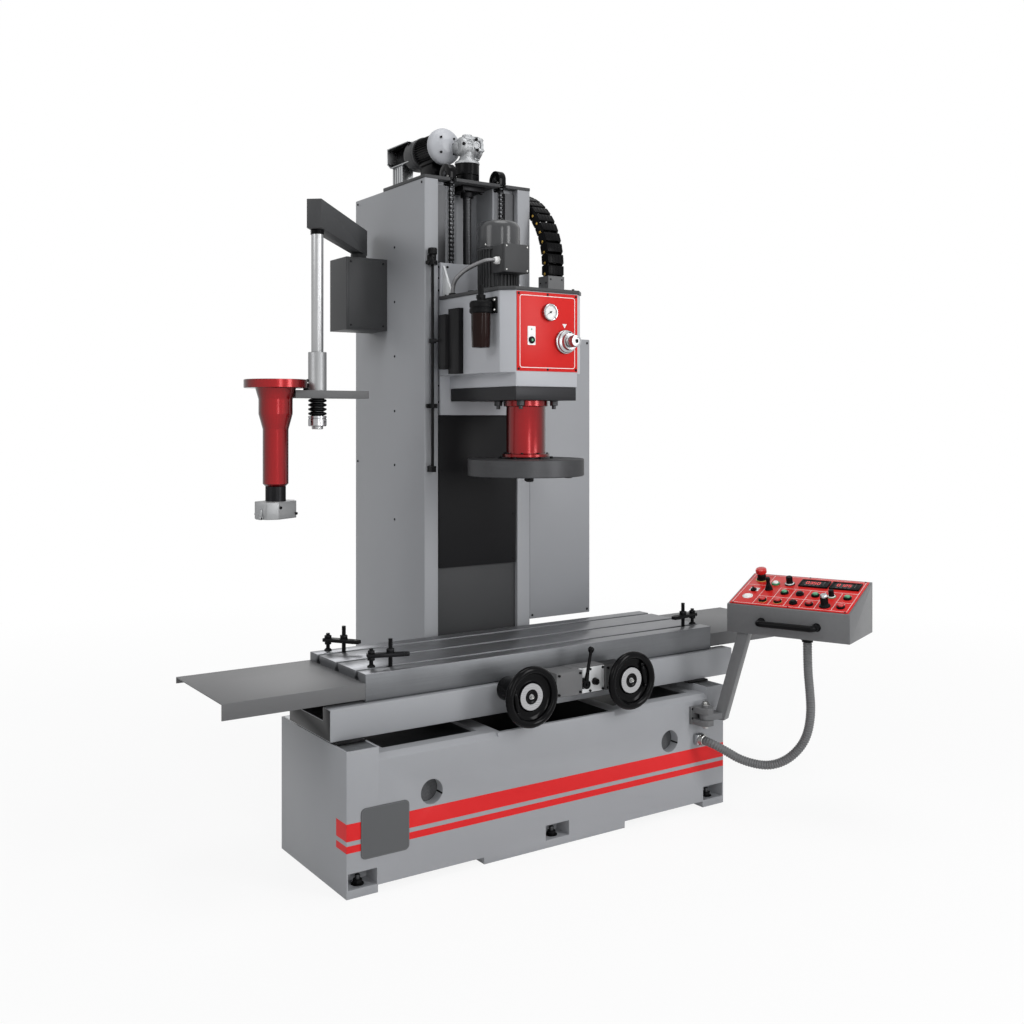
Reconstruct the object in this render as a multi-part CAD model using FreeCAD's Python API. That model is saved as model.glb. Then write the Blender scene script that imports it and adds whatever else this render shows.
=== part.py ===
import FreeCAD, Part
import math
import os
from FreeCAD import Vector

# Vertical boring machine with a cross-travelling table, a chain-balanced head and a tool arm.
# Millimetres. The origin is on the floor straight below the spindle axis.
# +X runs to the operator's right, +Y to the back of the machine, +Z up.

# Base casting
base_left = -830.0
base_length = 1500.0
base_front = -289.0
base_depth = 480.0
base_top = 427.0
deck_drop = 24.0
foot_height = 22.0
left_foot_width = 102.0
right_foot_width = 100.0
middle_foot_left = -358.0
middle_foot_width = 567.0
left_way_width = 105.0
right_way_width = 79.0
way_strip_thickness = 6.0
way_strip_edge = 6.0
lip_drop = 16.0
lip_depth = 18.0
pan_depth = 14.0
pan_margin = 42.0
pan_plate = 4.0
trough_left = -306.0
trough_width = 470.0
trough_wall = 14.0
trough_floor = 250.0
anchor_pocket_width = 94.0
anchor_pocket_height = 48.0
anchor_pocket_depth = 70.0
anchor_pocket_floor = 25.0
porthole_diameter = 76.0
porthole_depth = 40.0
porthole_height = 262.0
left_porthole_inset = 284.0
right_porthole_inset = 258.0

# Rear base under the column
rear_base_half_width = 330.0
rear_base_back = 901.0
rear_base_drop = 24.0

# Column
column_half_width = 232.0
column_front = 309.0
column_back = 870.0
column_height = 1863.0
jamb_width = 57.0
slot_depth = 150.0
column_flange_height = 34.0
column_flange_overhang = 40.0

# Top plate
plate_thickness = 12.0
plate_depth = 321.0
plate_side_overhang = 1.0
notch_width = 26.0
notch_depth = 75.0

# Column guides
rail_width = 40.0
rail_gap_from_jamb = 3.0

# Lift screw and its drive
screw_y = 392.0
screw_diameter = 32.0
screw_bottom = 640.0
bearing_block_size = 96.0
bearing_block_height = 20.0
bearing_nose_diameter = 50.0
bearing_nose_height = 18.0
coupling_diameter = 93.0
coupling_height = 76.0
drum_diameter = 74.0
drum_left = -40.0
drum_length = 74.0
drum_rise = 142.0
motor_offset = 62.0
motor_axis_rise = 150.0
bell_diameter = 140.0
bell_front = 446.0
bell_length = 24.0
lift_motor_diameter = 120.0
lift_motor_length = 125.0
lift_cowl_length = 90.0
fin_height = 7.0
lift_fin_count = 24

# Balance chains
chain_offset = 110.0
chain_front_y = 325.0
chain_width = 20.0
chain_thickness = 12.0
sprocket_diameter = 50.0
sprocket_rise = 20.0
guard_width = 30.0
guard_wall = 2.5
guard_clearance = 3.0

# Slot cover
cover_thickness = 4.0
cover_top = 1010.0

# Electrical cabinet
cabinet_width = 292.0
cabinet_depth = 300.0
cabinet_top = 1706.0
cabinet_bottom = 620.0

# Stop rod
rod_x = -212.0
rod_y = 286.0
rod_diameter = 11.0
rod_bottom = 1198.0
rod_top = 1984.0
knob_diameter = 34.0
knob_height = 24.0
collar_diameter = 36.0
collar_height = 16.0
collar_clamp_length = 26.0

# Saddle
saddle_left_overhang = 10.0
saddle_right_overhang = 131.0
saddle_front = -201.0
saddle_depth = 304.0
saddle_gap = 8.0
saddle_height = 96.0
slide_clearance = 0.3
saddle_channel_front = -147.0
saddle_channel_width = 193.0
saddle_channel_depth = 40.0
gib_length = 92.0
gib_height = 12.0

# Table
table_left_inset = 116.0
table_right_overhang = 43.0
table_inset = 21.0
table_depth = 408.0
table_gap = 5.0
table_height = 81.0
tee_slot_count = 3
tee_slot_pitch = 140.0
tee_slot_width = 18.0
tee_slot_depth = 32.0
tee_foot_width = 30.0
tee_foot_height = 13.0
guide_width = 189.0
guide_depth = 30.0
way_land_width = 24.0

# Sheet covers at the table's ends
sheet_length = 448.0
sheet_thickness = 3.0
sheet_drop = 27.0
sheet_skirt = 48.0
sheet_lip = 20.0

# Work clamps
stud_diameter = 14.0
strap_width = 28.0
strap_thickness = 12.0

# Feed drive on the saddle's front
gear_case_left = -78.0
gear_case_width = 105.0
gear_case_front = -289.0
gear_case_bottom = 480.0
gear_case_height = 79.0
lever_plate_left = 6.0
lever_plate_width = 136.0
lever_plate_front = -259.0
lever_plate_bottom = 470.0
lever_plate_height = 90.0
side_case_width = 90.0
side_case_front = -270.0
side_case_inset = 4.0
wheel_diameter = 196.0
wheel_spacing = 408.0
wheel_height = 514.0
wheel_centre = -11.0
rim_diameter = 26.0
wheel_shaft_diameter = 24.0
wheel_hub_diameter = 66.0
wheel_boss_diameter = 78.0
lever_x = 47.0
lever_height = 508.0
lever_length = 115.0
lever_lean = 11.0

# Head
head_half_width = 170.0
head_front = -128.0
head_chamfer_side = 41.5
head_chamfer_depth = 38.0
head_back_gap = 5.0
head_skirt_top = 1547.0
head_bottom = 1500.0
head_top = 1824.0
head_plate_thickness = 12.0
head_plate_overhang = 5.0
head_foot_thickness = 46.0
carriage_half_width = 168.0
carriage_top = 1961.0
carriage_bottom = 1404.0
rail_clearance = 0.3
panel_width = 254.0
panel_height = 268.0
panel_thickness = 3.0
panel_bottom = 1552.0
gauge_diameter = 58.0
gauge_depth = 16.0
gauge_x = 4.0
gauge_z = 1753.5
knob_x = 71.0
knob_z = 1655.0
knob_rim_diameter = 82.0
knob_grip_diameter = 40.0
knob_length = 72.0

# Spindle
spindle_diameter = 138.0
spindle_bottom = 1257.0
spindle_flange_diameter = 166.0
spindle_flange_height = 12.0
disc_diameter = 409.0
disc_thickness = 60.0
tool_count = 2
tool_radius = 150.0
tool_diameter = 30.0
tool_drop = 14.0

# Spindle motor
motor_x = -10.0
motor_y = 160.0
motor_diameter = 156.0
motor_base = 160.0
motor_body_height = 130.0
motor_cowl_height = 123.0
motor_fin_count = 28
terminal_width = 106.0
terminal_depth = 60.0
terminal_height = 101.0

# Energy chain
link_width = 76.0
link_height = 46.0
link_bend = 300.0
link_count = 22
link_x = 276.0
link_front_y = 219.0
bracket_top = 1931.0
bend_height = 1965.0
anchor_height = 1560.0

# Tool arm
pivot_x = -318.0
pivot_y = 671.0
arm_box_width = 172.0
arm_box_depth = 145.0
arm_box_bottom = 1726.0
arm_box_top = 2000.0
arm_width = 50.0
arm_height = 97.0
arm_bottom = 2022.0
arm_reach = 570.3
arm_tail = 40.0
arm_nose = 40.0
arm_turn = -130.06
bar_diameter = 40.0
sleeve_diameter = 61.0
sleeve_length = 128.0
holder_thickness = 26.0
holder_bottom = 1459.0
holder_width = 80.0
holder_reach = 147.6
holder_tail = 172.0
holder_turn = 0.0
spring_stack_length = 58.0
stop_nut_length = 35.0

# Spare spindle
spare_flange_diameter = 205.0
spare_flange_thickness = 28.0
spare_shoulder_diameter = 132.0
spare_body_diameter = 110.0
spare_nose_diameter = 83.0
spare_neck_diameter = 66.0
spare_flange_bottom = 1491.0
spare_body_bottom = 1406.0
spare_taper_bottom = 1357.0
spare_nose_bottom = 1171.0
spare_neck_bottom = 1122.0
boring_head_width = 146.0
boring_head_depth = 96.0
boring_head_bottom = 1066.0

# Pendant
swing_inset = 125.0
swing_reach = 40.0
ear_width = 60.0
ear_plate_margin = 10.0
ear_thickness = 20.0
lower_ear_bottom = 308.0
upper_ear_bottom = 350.0
swing_pin_diameter = 16.0
pendant_tube = 40.0
pendant_turn = -67.3
box_length = 432.0
box_depth = 264.0
box_front_height = 98.0
box_back_height = 175.0
box_bottom = 644.0
handle_diameter = 22.0
handle_span = 216.0
handle_stand = 42.0

# Flexible conduit
conduit_diameter = 32.0

# Clearances
fit_gap = 0.3
shaft_fit = 0.05
shaft_clearance = 8.0

# Anchors
foot_edge = 5.0
anchor_inset = 35.0
anchor_hole_diameter = 22.0
rear_foot_width = 100.0

# Column details
ledge_depth = 36.0
screw_slot_half_width = 84.0
column_flange_back = 20.0
rail_bottom = 640.0
rail_top_gap = 16.0
rail_thickness = 14.0
chain_back_end = 1192.0
chain_front_end = 1580.0
foot_bearing_drop = 20.0
foot_bearing_rise = 20.0

# Lift drive details
flange_ring_diameter = 96.0
flange_ring_height = 11.0
neck_wide = 76.0
neck_narrow = 54.0
neck_height = 18.0
end_flange_diameter = 90.0
end_flange_length = 14.0
nozzle_diameter = 60.0
nozzle_x = -48.0
drum_cap_diameter = 40.0
drum_cap_height = 46.0
fin_thickness = 3.0
cowl_step = 6.0
cowl_chamfer = 12.0
fan_box_left = -119.0
fan_box_width = 114.0
fan_box_front = 640.0
fan_box_length = 175.0
fan_box_rise = 119.0
fan_box_height = 83.0
fan_box_wall = 4.0
fan_box_recess = 44.0
fan_post_left = -112.0
fan_post_width = 50.0
fan_post_front = 700.0
fan_post_length = 80.0

# Sprocket details
sprocket_width = 12.0
sprocket_shaft_diameter = 20.0
shaft_end = 3.0

# Cabinet, rod and pivot details
cabinet_edge = 4.0
upper_collar = 1946.0
lower_collar = 1429.0
collar_clamp_diameter = 14.0
stop_block_width = 20.0
stop_block_height = 22.0
arm_box_edge = 3.0
pivot_diameter = 30.0
pivot_depth = 60.0
pivot_collar_diameter = 60.0

# Pendant bracket and gland details
ear_plate = 8.0
ear_nose = 27.0
ear_corner = 17.0
swing_pin_head = 10.0
gland_inset = 129.0
gland_z = 253.0
gland_boss = 36.0
gland_depth = 24.0
anchor_thickness = 30.0

# Saddle and feed details
shoe_inset = 25.0
gib_nose = 16.0
boss_front = -304.0
boss_web_step = 20.0
web_step = 10.0
bearing_depth = 60.0
lever_block = 34.0
lever_block_depth = 14.0
lever_pin_diameter = 12.0
lever_pin_depth = 20.0
lever_hub_diameter = 30.0
lever_hub_length = 18.0
lever_stem_diameter = 10.0
lever_ball_diameter = 22.0
wheel_gap = 5.0
hub_front = 14.0
hub_depth = 48.0
dish_depth = 18.0
web_thickness = 7.0
land_inset = 6.0

# Clamp details
stud_height = 87.0
heel_height = 60.0
heel_foot_diameter = 26.0
heel_foot_height = 8.0
strap_pitch = 60.0
strap_end = 14.0
strap_height = 30.0
nut_diameter = 24.0
nut_height = 12.0
tee_nut = 28.0
back_clamp_inset = 92.0
front_clamp_inset = 118.0
right_clamp_inset = 80.0
clamp_turns = (-55.0, -20.0, -168.0)

# Head details
tongue_half_width = 78.0
nut_radius = 30.0
tongue_bottom = 1500.0
tongue_top = 1900.0
groove_gap = 6.0
apron_half_width = 169.0
apron_front = 313.0
apron_bottom = 844.0
foot_inset = 4.0
foot_corner = 6.0
gauge_rim = 4.0
knob_edge = 3.0
knob_skirt = 22.0
knob_cone = 14.0
knob_waist_diameter = 60.0
knob_gap = 0.3
oiler_bracket = 45.0
oiler_bracket_width = 71.0
oiler_y = -44.0
oiler_top = 1803.0
oiler_cap_height = 57.0
oiler_cap_diameter = 78.0
oiler_bowl_diameter = 68.0
oiler_bowl_height = 116.0
oiler_taper = 4.0
oiler_inlet_diameter = 20.0
oiler_inlet_height = 40.0
vent_step = 20.0
vent_depth = 32.0
vent_front = 142.0
vent_middle = 213.0
vent_back = 262.0
vent_bottom = 1550.0
vent_top = 1782.0
vent_offset = 18.0
finger_half_width = 4.0
finger_lap = 12.0
finger_height = 1672.0
finger_ring_diameter = 26.0
finger_ring_height = 16.0
finger_gap = 1.0
motor_flange = 14.0
motor_dome = 30.0
terminal_shift = -12.0
terminal_rise = 54.0
spindle_collar_diameter = 156.0
spindle_collar_height = 20.0
disc_hub_diameter = 100.0
disc_hub_height = 5.0
tool_turn = 60.0
bracket_lap = 19.0
bracket_foot = 60.0
bracket_plate = 10.0
link_groove = 6.0
link_groove_width = 6.0

# Arm details
bushing_diameter = 46.0
bushing_height = 16.0
spring_ring_count = 4
bar_tip = 10.0
hook_diameter = 170.0
hook_start = 53.0
hook_end = 15.0
shoulder_bottom = 1455.0
spare_chamfer = 8.0
head_corner = 26.0
tool_bit = 10.0
boring_head_turn = 30.0

# Pendant details
box_offset_x = 42.0
box_offset_y = -63.0
swing_gap = 0.5
swing_block_width = 44.0
arm_foot_side = 65.0
arm_foot_forward = 10.0
arm_head_side = 95.0
arm_head_forward = 99.0
tube_bottom = 323.5
box_back_shelf = 6.0
panel_margin = 7.0
handle_centre = 0.517
handle_rise = 46.0
display_width = 104.0
display_depth = 54.0
display_height = 6.0
display_row = 0.77
display_places = (0.575, 0.83)
stop_head_diameter = 40.0
stop_head_height = 44.0
lamp_diameter = 30.0
button_diameter = 28.0
button_height = 12.0
selector_diameter = 36.0
selector_height = 30.0
small_selector_diameter = 22.0
joystick_height = 46.0
dial_diameter = 38.0
dial_height = 6.0
speed_knob_diameter = 34.0
ring_knob_height = 26.0

motor_gland_diameter = 30.0
motor_gland_length = 14.0
motor_gland_y = 60.0
motor_gland_z = 1947.0
motor_conduit_diameter = 16.0

# Routes of the two conduits, chosen by hand: the pendant's is given from the base's front right
# corner and the floor, the motor's from the terminal box's left side
conduit_bends = ((-129.0, -24.2, 253.0), (-129.0, -51.0, 253.0), (-117.0, -79.0, 245.0), (-87.0, -105.0, 224.0),
                 (-45.0, -137.0, 193.0), (7.0, -202.0, 180.0), (47.0, -251.0, 202.0), (74.0, -292.0, 249.0),
                 (87.0, -319.0, 305.0), (85.0, -336.0, 384.0), (71.0, -343.0, 458.0), (63.0, -339.0, 546.0),
                 (63.0, -339.0, 643.8))
motor_bends = ((-14.2, 60.0, 1947.0), (-32.0, 60.0, 1947.0), (-46.0, 72.0, 1945.0), (-53.0, 100.0, 1940.0),
               (-75.0, 157.0, 1922.0), (-90.0, 202.0, 1892.0), (-80.0, 241.0, 1864.0), (-80.0, 241.0, 1836.2))


def block(x0, x1, y0, y1, z0, z1):
    return Part.makeBox(x1 - x0, y1 - y0, z1 - z0, Vector(x0, y0, z0))


def rod(diameter, length, base, direction=(0, 0, 1)):
    return Part.makeCylinder(diameter / 2.0, length, Vector(*base), Vector(*direction))


def prism(points, sweep):
    """A closed outline pushed along a vector."""
    outline = [Vector(*p) for p in points]
    face = Part.Face(Part.makePolygon(outline + [outline[0]]))
    return face.extrude(Vector(*sweep))


def turned(profile, base):
    """A solid turned about the vertical through base, from (radius, height) pairs."""
    points = [Vector(r, 0, z) for r, z in profile]
    face = Part.Face(Part.makePolygon(points + [points[0]]))
    solid = face.revolve(Vector(0, 0, 0), Vector(0, 0, 1), 360)
    solid.translate(Vector(*base))
    return solid


def joined(solids):
    result = solids[0]
    for solid in solids[1:]:
        result = result.fuse(solid)
    return result.removeSplitter()


def eased(shape, radius, picks):
    """Rounds the edges whose middle satisfies picks."""
    chosen = [e for e in shape.Edges if picks(e.BoundBox.Center, e)]
    return shape.makeFillet(radius, chosen) if chosen else shape


def save(name, shape):
    solids = shape.Solids
    result = solids[0] if len(solids) == 1 else Part.makeCompound(solids)
    result.exportStep("parts/%s.step" % name)


def upright(edge):
    return edge.Curve.TypeId == "Part::GeomLine" and abs(edge.tangentAt(edge.FirstParameter).z) > 0.99


base_right = base_left + base_length
base_back = base_front + base_depth
table_left = base_left + table_left_inset
table_length = base_length - table_left_inset + table_right_overhang
swing_x = base_right - swing_inset
swing_y = base_front - swing_reach
gland_x = base_right - gland_inset
arm_foot_x = swing_x + arm_foot_side
arm_foot_y = swing_y - arm_foot_forward
arm_head_x = swing_x + arm_head_side
arm_head_y = swing_y - arm_head_forward
terminal_left = motor_x + terminal_shift - terminal_width / 2.0
deck_height = base_top - deck_drop
rear_base_top = base_top - rear_base_drop
column_top = rear_base_top + column_height
plate_top = column_top + plate_thickness
sprocket_height = plate_top + sprocket_rise
motor_axis_height = plate_top + motor_axis_rise
saddle_left = base_left - saddle_left_overhang
saddle_length = base_length + saddle_left_overhang + saddle_right_overhang
saddle_bottom = base_top + saddle_gap
saddle_top = saddle_bottom + saddle_height
saddle_back = saddle_front + saddle_depth
table_bottom = saddle_top + table_gap
table_top = table_bottom + table_height
table_front = saddle_front + table_inset
sheet_top = table_top - sheet_drop
table_back = table_front + table_depth
table_right = table_left + table_length
slot_half_width = column_half_width - jamb_width
slot_back = column_front + slot_depth
ledge_front = column_front + ledge_depth
rail_front = ledge_front - rail_thickness
chain_back_y = chain_front_y + sprocket_diameter
sprocket_y = chain_front_y + sprocket_diameter / 2.0
link_back_y = link_front_y + 2 * link_bend
lever_hub_front = lever_plate_front - lever_block_depth - fit_gap - lever_hub_length
head_back = column_front - head_back_gap
rail_outer = slot_half_width - rail_gap_from_jamb


def way_strips():
    """The two ground strips that the saddle slides on, and their pockets."""
    z0 = base_top - way_strip_thickness
    spans = ((base_left, left_way_width), (base_right - right_way_width, right_way_width))
    strips, pockets = [], []
    for start, width in spans:
        box = (start + way_strip_edge, start + width - way_strip_edge,
               base_front + way_strip_edge, base_back - way_strip_edge)
        pockets.append(block(*box, z0, base_top))
        strips.append(block(box[0] + fit_gap, box[1] - fit_gap, box[2] + fit_gap, box[3] - fit_gap,
                            z0, base_top))
    return strips, pockets


def ledges():
    """Left and right stretches of the deck, as (start, end) in x."""
    return ((base_left + left_way_width, trough_left),
            (trough_left + trough_width, base_right - right_way_width))


def anchor_spots():
    """Centres in x of the anchor pockets, left, middle and right."""
    side = foot_edge + anchor_pocket_width / 2.0
    return (base_left + side, middle_foot_left + middle_foot_width / 2.0, base_right - side)


def base_casting():
    body = block(base_left, base_right, base_front, base_back, foot_height, base_top)
    deck = block(base_left + left_way_width, base_right - right_way_width,
                 base_front, base_back, deck_height, base_top)
    feet = [block(base_left, base_left + left_foot_width, base_front, base_back, 0, foot_height),
            block(middle_foot_left, middle_foot_left + middle_foot_width, base_front, base_back, 0,
                  foot_height), block(base_right - right_foot_width, base_right, base_front, base_back, 0,
                                      foot_height)]
    body = joined([body.cut(deck)] + feet)
    cuts = []
    for start, end in ledges():
        cuts.append(prism([(start, base_front, deck_height - lip_drop), (start, base_front, deck_height),
                           (start, base_front + lip_depth, deck_height)], (end - start, 0, 0)))
        cuts.append(block(start + pan_margin, end - pan_margin, base_front + lip_depth + pan_margin,
                          base_back - pan_margin, deck_height - pan_depth, deck_height))
    cuts.append(block(trough_left + trough_wall, trough_left + trough_width - trough_wall,
                      base_front + trough_wall, base_back - pan_margin, trough_floor, deck_height))
    for x in (base_left + left_porthole_inset, base_right - right_porthole_inset):
        cuts.append(rod(porthole_diameter, porthole_depth, (x, base_front, porthole_height), (0, 1, 0)))
    for x in anchor_spots():
        half = anchor_pocket_width / 2.0
        for y in (base_front, base_back - anchor_pocket_depth):
            cuts.append(block(x - half, x + half, y, y + anchor_pocket_depth, anchor_pocket_floor,
                              anchor_pocket_floor + anchor_pocket_height))
    left, middle, right = anchor_spots()
    for x in (left, right):
        for y in (base_front + anchor_inset, base_back - anchor_inset):
            cuts.append(rod(anchor_hole_diameter, anchor_pocket_floor, (x, y, 0)))
    for cut in cuts + way_strips()[1]:
        body = body.cut(cut)
    return body


def deck_pans():
    """Dark oil pans that lie in the deck's recesses."""
    pans = []
    z0 = deck_height - pan_depth
    for start, end in ledges():
        pans.append(block(start + pan_margin + fit_gap, end - pan_margin - fit_gap,
                          base_front + lip_depth + pan_margin + fit_gap, base_back - pan_margin - fit_gap,
                          z0, z0 + pan_plate))
    return pans


def rear_base():
    body = block(-rear_base_half_width, rear_base_half_width, base_back, rear_base_back, foot_height,
                 rear_base_top)
    feet = [block(s * rear_base_half_width - (rear_foot_width if s > 0 else 0),
                  s * rear_base_half_width + (0 if s > 0 else rear_foot_width),
                  base_back, rear_base_back, 0, foot_height) for s in (-1, 1)]
    return joined([body] + feet)


def column():
    body = block(-column_half_width, column_half_width, column_front, column_back, rear_base_top, column_top)
    flange = block(-column_half_width - column_flange_overhang, column_half_width + column_flange_overhang,
                   column_front, column_back + column_flange_back, rear_base_top,
                   rear_base_top + column_flange_height)
    body = joined([body, flange])
    floor = rear_base_top + column_flange_height
    body = body.cut(block(-slot_half_width, slot_half_width, column_front, ledge_front, floor, column_top))
    body = body.cut(block(-screw_slot_half_width, screw_slot_half_width, ledge_front, slot_back, floor,
                          column_top))
    for s in (-1, 1):
        x = s * chain_offset
        half = guard_width / 2.0 - guard_wall + shaft_clearance
        body = body.cut(block(x - half, x + half, chain_back_y - shaft_clearance - chain_thickness,
                              chain_back_y + shaft_clearance + chain_thickness, chain_back_end, column_top))
        body = body.cut(block(x - half, x + half, ledge_front, chain_back_y + shaft_clearance,
                              sprocket_height - sprocket_diameter / 2.0 - shaft_clearance - chain_thickness,
                              column_top))
    return body


def top_plate():
    body = block(-column_half_width - plate_side_overhang, column_half_width + plate_side_overhang,
                 column_front, column_front + plate_depth, column_top, plate_top)
    for s in (-1, 1):
        half = notch_width / 2.0
        body = body.cut(block(s * chain_offset - half, s * chain_offset + half, column_front,
                              column_front + notch_depth, column_top, plate_top))
    return body.cut(rod(screw_diameter + 2 * shaft_clearance, plate_thickness, (0, screw_y, column_top)))


def guide_rails():
    rails = []
    for s in (-1, 1):
        x0 = min(s * rail_outer, s * (rail_outer - rail_width))
        rails.append(block(x0, x0 + rail_width, rail_front, ledge_front, rail_bottom,
                           column_top - rail_top_gap))
    return rails


def ball_screw():
    return rod(screw_diameter, plate_top - screw_bottom, (0, screw_y, screw_bottom))


def screw_bearings():
    """The bearing under the top plate and the foot bearing, each with its bore."""
    half = bearing_block_size / 2.0
    upper = block(-half, half, screw_y - half, screw_y + half, column_top - bearing_block_height, column_top)
    nose = rod(bearing_nose_diameter, bearing_nose_height,
               (0, screw_y, column_top - bearing_block_height - bearing_nose_height))
    lower = block(-screw_slot_half_width, screw_slot_half_width, screw_y - bearing_nose_diameter / 2.0,
                  slot_back, screw_bottom - foot_bearing_drop, screw_bottom + foot_bearing_rise)
    bore = rod(screw_diameter + 2 * fit_gap, column_top - screw_bottom + foot_bearing_drop,
               (0, screw_y, screw_bottom))
    return [joined([upper, nose]).cut(bore), lower.cut(bore)]


def lift_gearbox():
    """Right-angle gearbox on its coupling housing, with the round motor flange behind it."""
    housing = rod(coupling_diameter, coupling_height, (0, screw_y, plate_top))
    ring_bottom = plate_top + coupling_height
    ring = rod(flange_ring_diameter, flange_ring_height, (0, screw_y, ring_bottom))
    axis = plate_top + drum_rise
    foot = ring_bottom + flange_ring_height
    neck = turned([(0, 0), (neck_wide / 2.0, 0), (neck_narrow / 2.0, neck_height),
                   (neck_narrow / 2.0, axis - foot), (0, axis - foot)], (0, screw_y, foot))
    drum = rod(drum_diameter, drum_length, (drum_left, screw_y, axis), (1, 0, 0))
    cover = rod(end_flange_diameter, end_flange_length, (drum_left + drum_length, screw_y, axis), (1, 0, 0))
    cap = rod(drum_cap_diameter, drum_cap_height, (0, screw_y, axis))
    nozzle = rod(nozzle_diameter, bell_front - screw_y, (nozzle_x, screw_y, axis), (0, 1, 0))
    bell = rod(bell_diameter, bell_length, (-motor_offset, bell_front, motor_axis_height), (0, 1, 0))
    return joined([housing, ring, neck, drum, cover, cap, nozzle, bell])


def lift_motor():
    """Finned motor behind the bell, with its fan cowl and the open box and post behind it."""
    start = bell_front + bell_length
    axis = Vector(-motor_offset, 0, motor_axis_height)
    core = rod(lift_motor_diameter - 2 * fin_height, lift_motor_length, (axis.x, start, axis.z), (0, 1, 0))
    fins = []
    for i in range(lift_fin_count):
        fin = block(axis.x - fin_thickness / 2.0, axis.x + fin_thickness / 2.0, start,
                    start + lift_motor_length, axis.z, axis.z + lift_motor_diameter / 2.0)
        fin.rotate(axis, Vector(0, 1, 0), 360.0 * i / lift_fin_count)
        fins.append(fin)
    cowl = rod(lift_motor_diameter + cowl_step, lift_cowl_length,
               (axis.x, start + lift_motor_length, axis.z), (0, 1, 0))
    cowl = cowl.makeChamfer(cowl_chamfer,
                            [e for e in cowl.Edges if e.BoundBox.YMin > start + lift_motor_length + 1
                             and e.BoundBox.ZLength > lift_motor_diameter / 2.0])
    x0, x1 = fan_box_left, fan_box_left + fan_box_width
    y0, y1 = fan_box_front, fan_box_front + fan_box_length
    z0 = plate_top + fan_box_rise
    z1 = z0 + fan_box_height
    box = block(x0, x1, y0, y1, z0, z1)
    box = box.cut(block(x0, x0 + fan_box_recess, y0 + fan_box_wall, y1 - fan_box_wall, z0 + fan_box_wall,
                        z1 - fan_box_wall))
    post = block(fan_post_left, fan_post_left + fan_post_width, fan_post_front, fan_post_front + fan_post_length,
                 column_top, z0)
    return joined([core] + fins + [cowl, box, post])


def half_ring(outer, inner, width, centre):
    """Upper half of a ring whose axis runs along x."""
    ring = rod(2 * outer, width, centre, (1, 0, 0)).cut(rod(2 * inner, width, centre, (1, 0, 0)))
    return ring.common(block(centre[0], centre[0] + width, centre[1] - outer, centre[1] + outer,
                             centre[2], centre[2] + outer))


def lift_chains():
    """Each balance chain runs up to its sprocket and down into the column."""
    chains = []
    half = chain_thickness / 2.0
    for s in (-1, 1):
        x = s * chain_offset - chain_width / 2.0
        front = block(x, x + chain_width, chain_front_y - half, chain_front_y + half,
                      chain_front_end, sprocket_height)
        back = block(x, x + chain_width, chain_back_y - half, chain_back_y + half,
                     chain_back_end + shaft_clearance, sprocket_height)
        top = half_ring(sprocket_diameter / 2.0 + half, sprocket_diameter / 2.0 - half, chain_width,
                        (x, sprocket_y, sprocket_height))
        chains.append(joined([front, back, top]))
    return chains


def sprockets():
    wheels = []
    root = sprocket_diameter - chain_thickness - 2 * fit_gap
    for s in (-1, 1):
        x = s * chain_offset
        disc = rod(root, sprocket_width, (x - sprocket_width / 2.0, sprocket_y, sprocket_height), (1, 0, 0))
        shaft = rod(sprocket_shaft_diameter, guard_width + 2 * shaft_end,
                    (x - guard_width / 2.0 - shaft_end, sprocket_y, sprocket_height), (1, 0, 0))
        wheels.append(joined([disc, shaft]))
    return wheels


def chain_guards():
    guards = []
    outer = sprocket_diameter / 2.0 + chain_thickness / 2.0 + guard_clearance + guard_wall
    for s in (-1, 1):
        x = s * chain_offset - guard_width / 2.0
        shell = joined([half_ring(outer, outer - guard_wall, guard_width, (x, sprocket_y, sprocket_height)),
                        block(x, x + guard_width, sprocket_y - outer, sprocket_y + outer, plate_top,
                              sprocket_height)])
        cheeks = rod(2 * outer, guard_width, (x, sprocket_y, sprocket_height), (1, 0, 0))
        cheeks = cheeks.common(block(x, x + guard_width, sprocket_y - outer, sprocket_y + outer,
                                     sprocket_height, sprocket_height + outer))
        shell = joined([shell, cheeks])
        hollow = rod(2 * (outer - guard_wall), guard_width - 2 * guard_wall,
                     (x + guard_wall, sprocket_y, sprocket_height), (1, 0, 0))
        hollow = joined([hollow, block(x + guard_wall, x + guard_width - guard_wall,
                                       sprocket_y - outer + guard_wall, sprocket_y + outer - guard_wall,
                                       plate_top - guard_wall, sprocket_height)])
        bore = rod(sprocket_shaft_diameter + 2 * fit_gap, guard_width, (x, sprocket_y, sprocket_height),
                   (1, 0, 0))
        guards.append(shell.cut(hollow).cut(bore))
    return guards


def slot_cover():
    """The fixed lower cover across the column's slot."""
    y = rail_front - fit_gap
    return block(-slot_half_width + fit_gap, slot_half_width - fit_gap, y - cover_thickness, y,
                 rear_base_top + column_flange_height + fit_gap, cover_top)


def cabinet():
    """Electrical cabinet on the column's right side."""
    body = block(column_half_width, column_half_width + cabinet_width, column_front,
                 column_front + cabinet_depth, cabinet_bottom, cabinet_top)
    return eased(body, cabinet_edge, lambda c, e: upright(e) and c.x > column_half_width + 1)


def stop_rod():
    """Depth stop rod in front of the left jamb, with its knob, collars and wall blocks."""
    bar = rod(rod_diameter, rod_top - rod_bottom, (rod_x, rod_y, rod_bottom))
    solids = [bar, rod(knob_diameter, knob_height, (rod_x, rod_y, rod_top))]
    for z in (upper_collar, lower_collar):
        solids.append(rod(collar_diameter, collar_height, (rod_x, rod_y, z)))
        solids.append(rod(collar_clamp_diameter, collar_clamp_length, (rod_x, rod_y, z + collar_height / 2.0),
                          (-1, 0, 0)))
    for z in (rod_bottom, rod_top - stop_block_height):
        solids.append(block(rod_x - stop_block_width / 2.0, rod_x + stop_block_width / 2.0,
                            rod_y - stop_block_width / 2.0, column_front, z, z + stop_block_height))
    return joined(solids)


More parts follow.
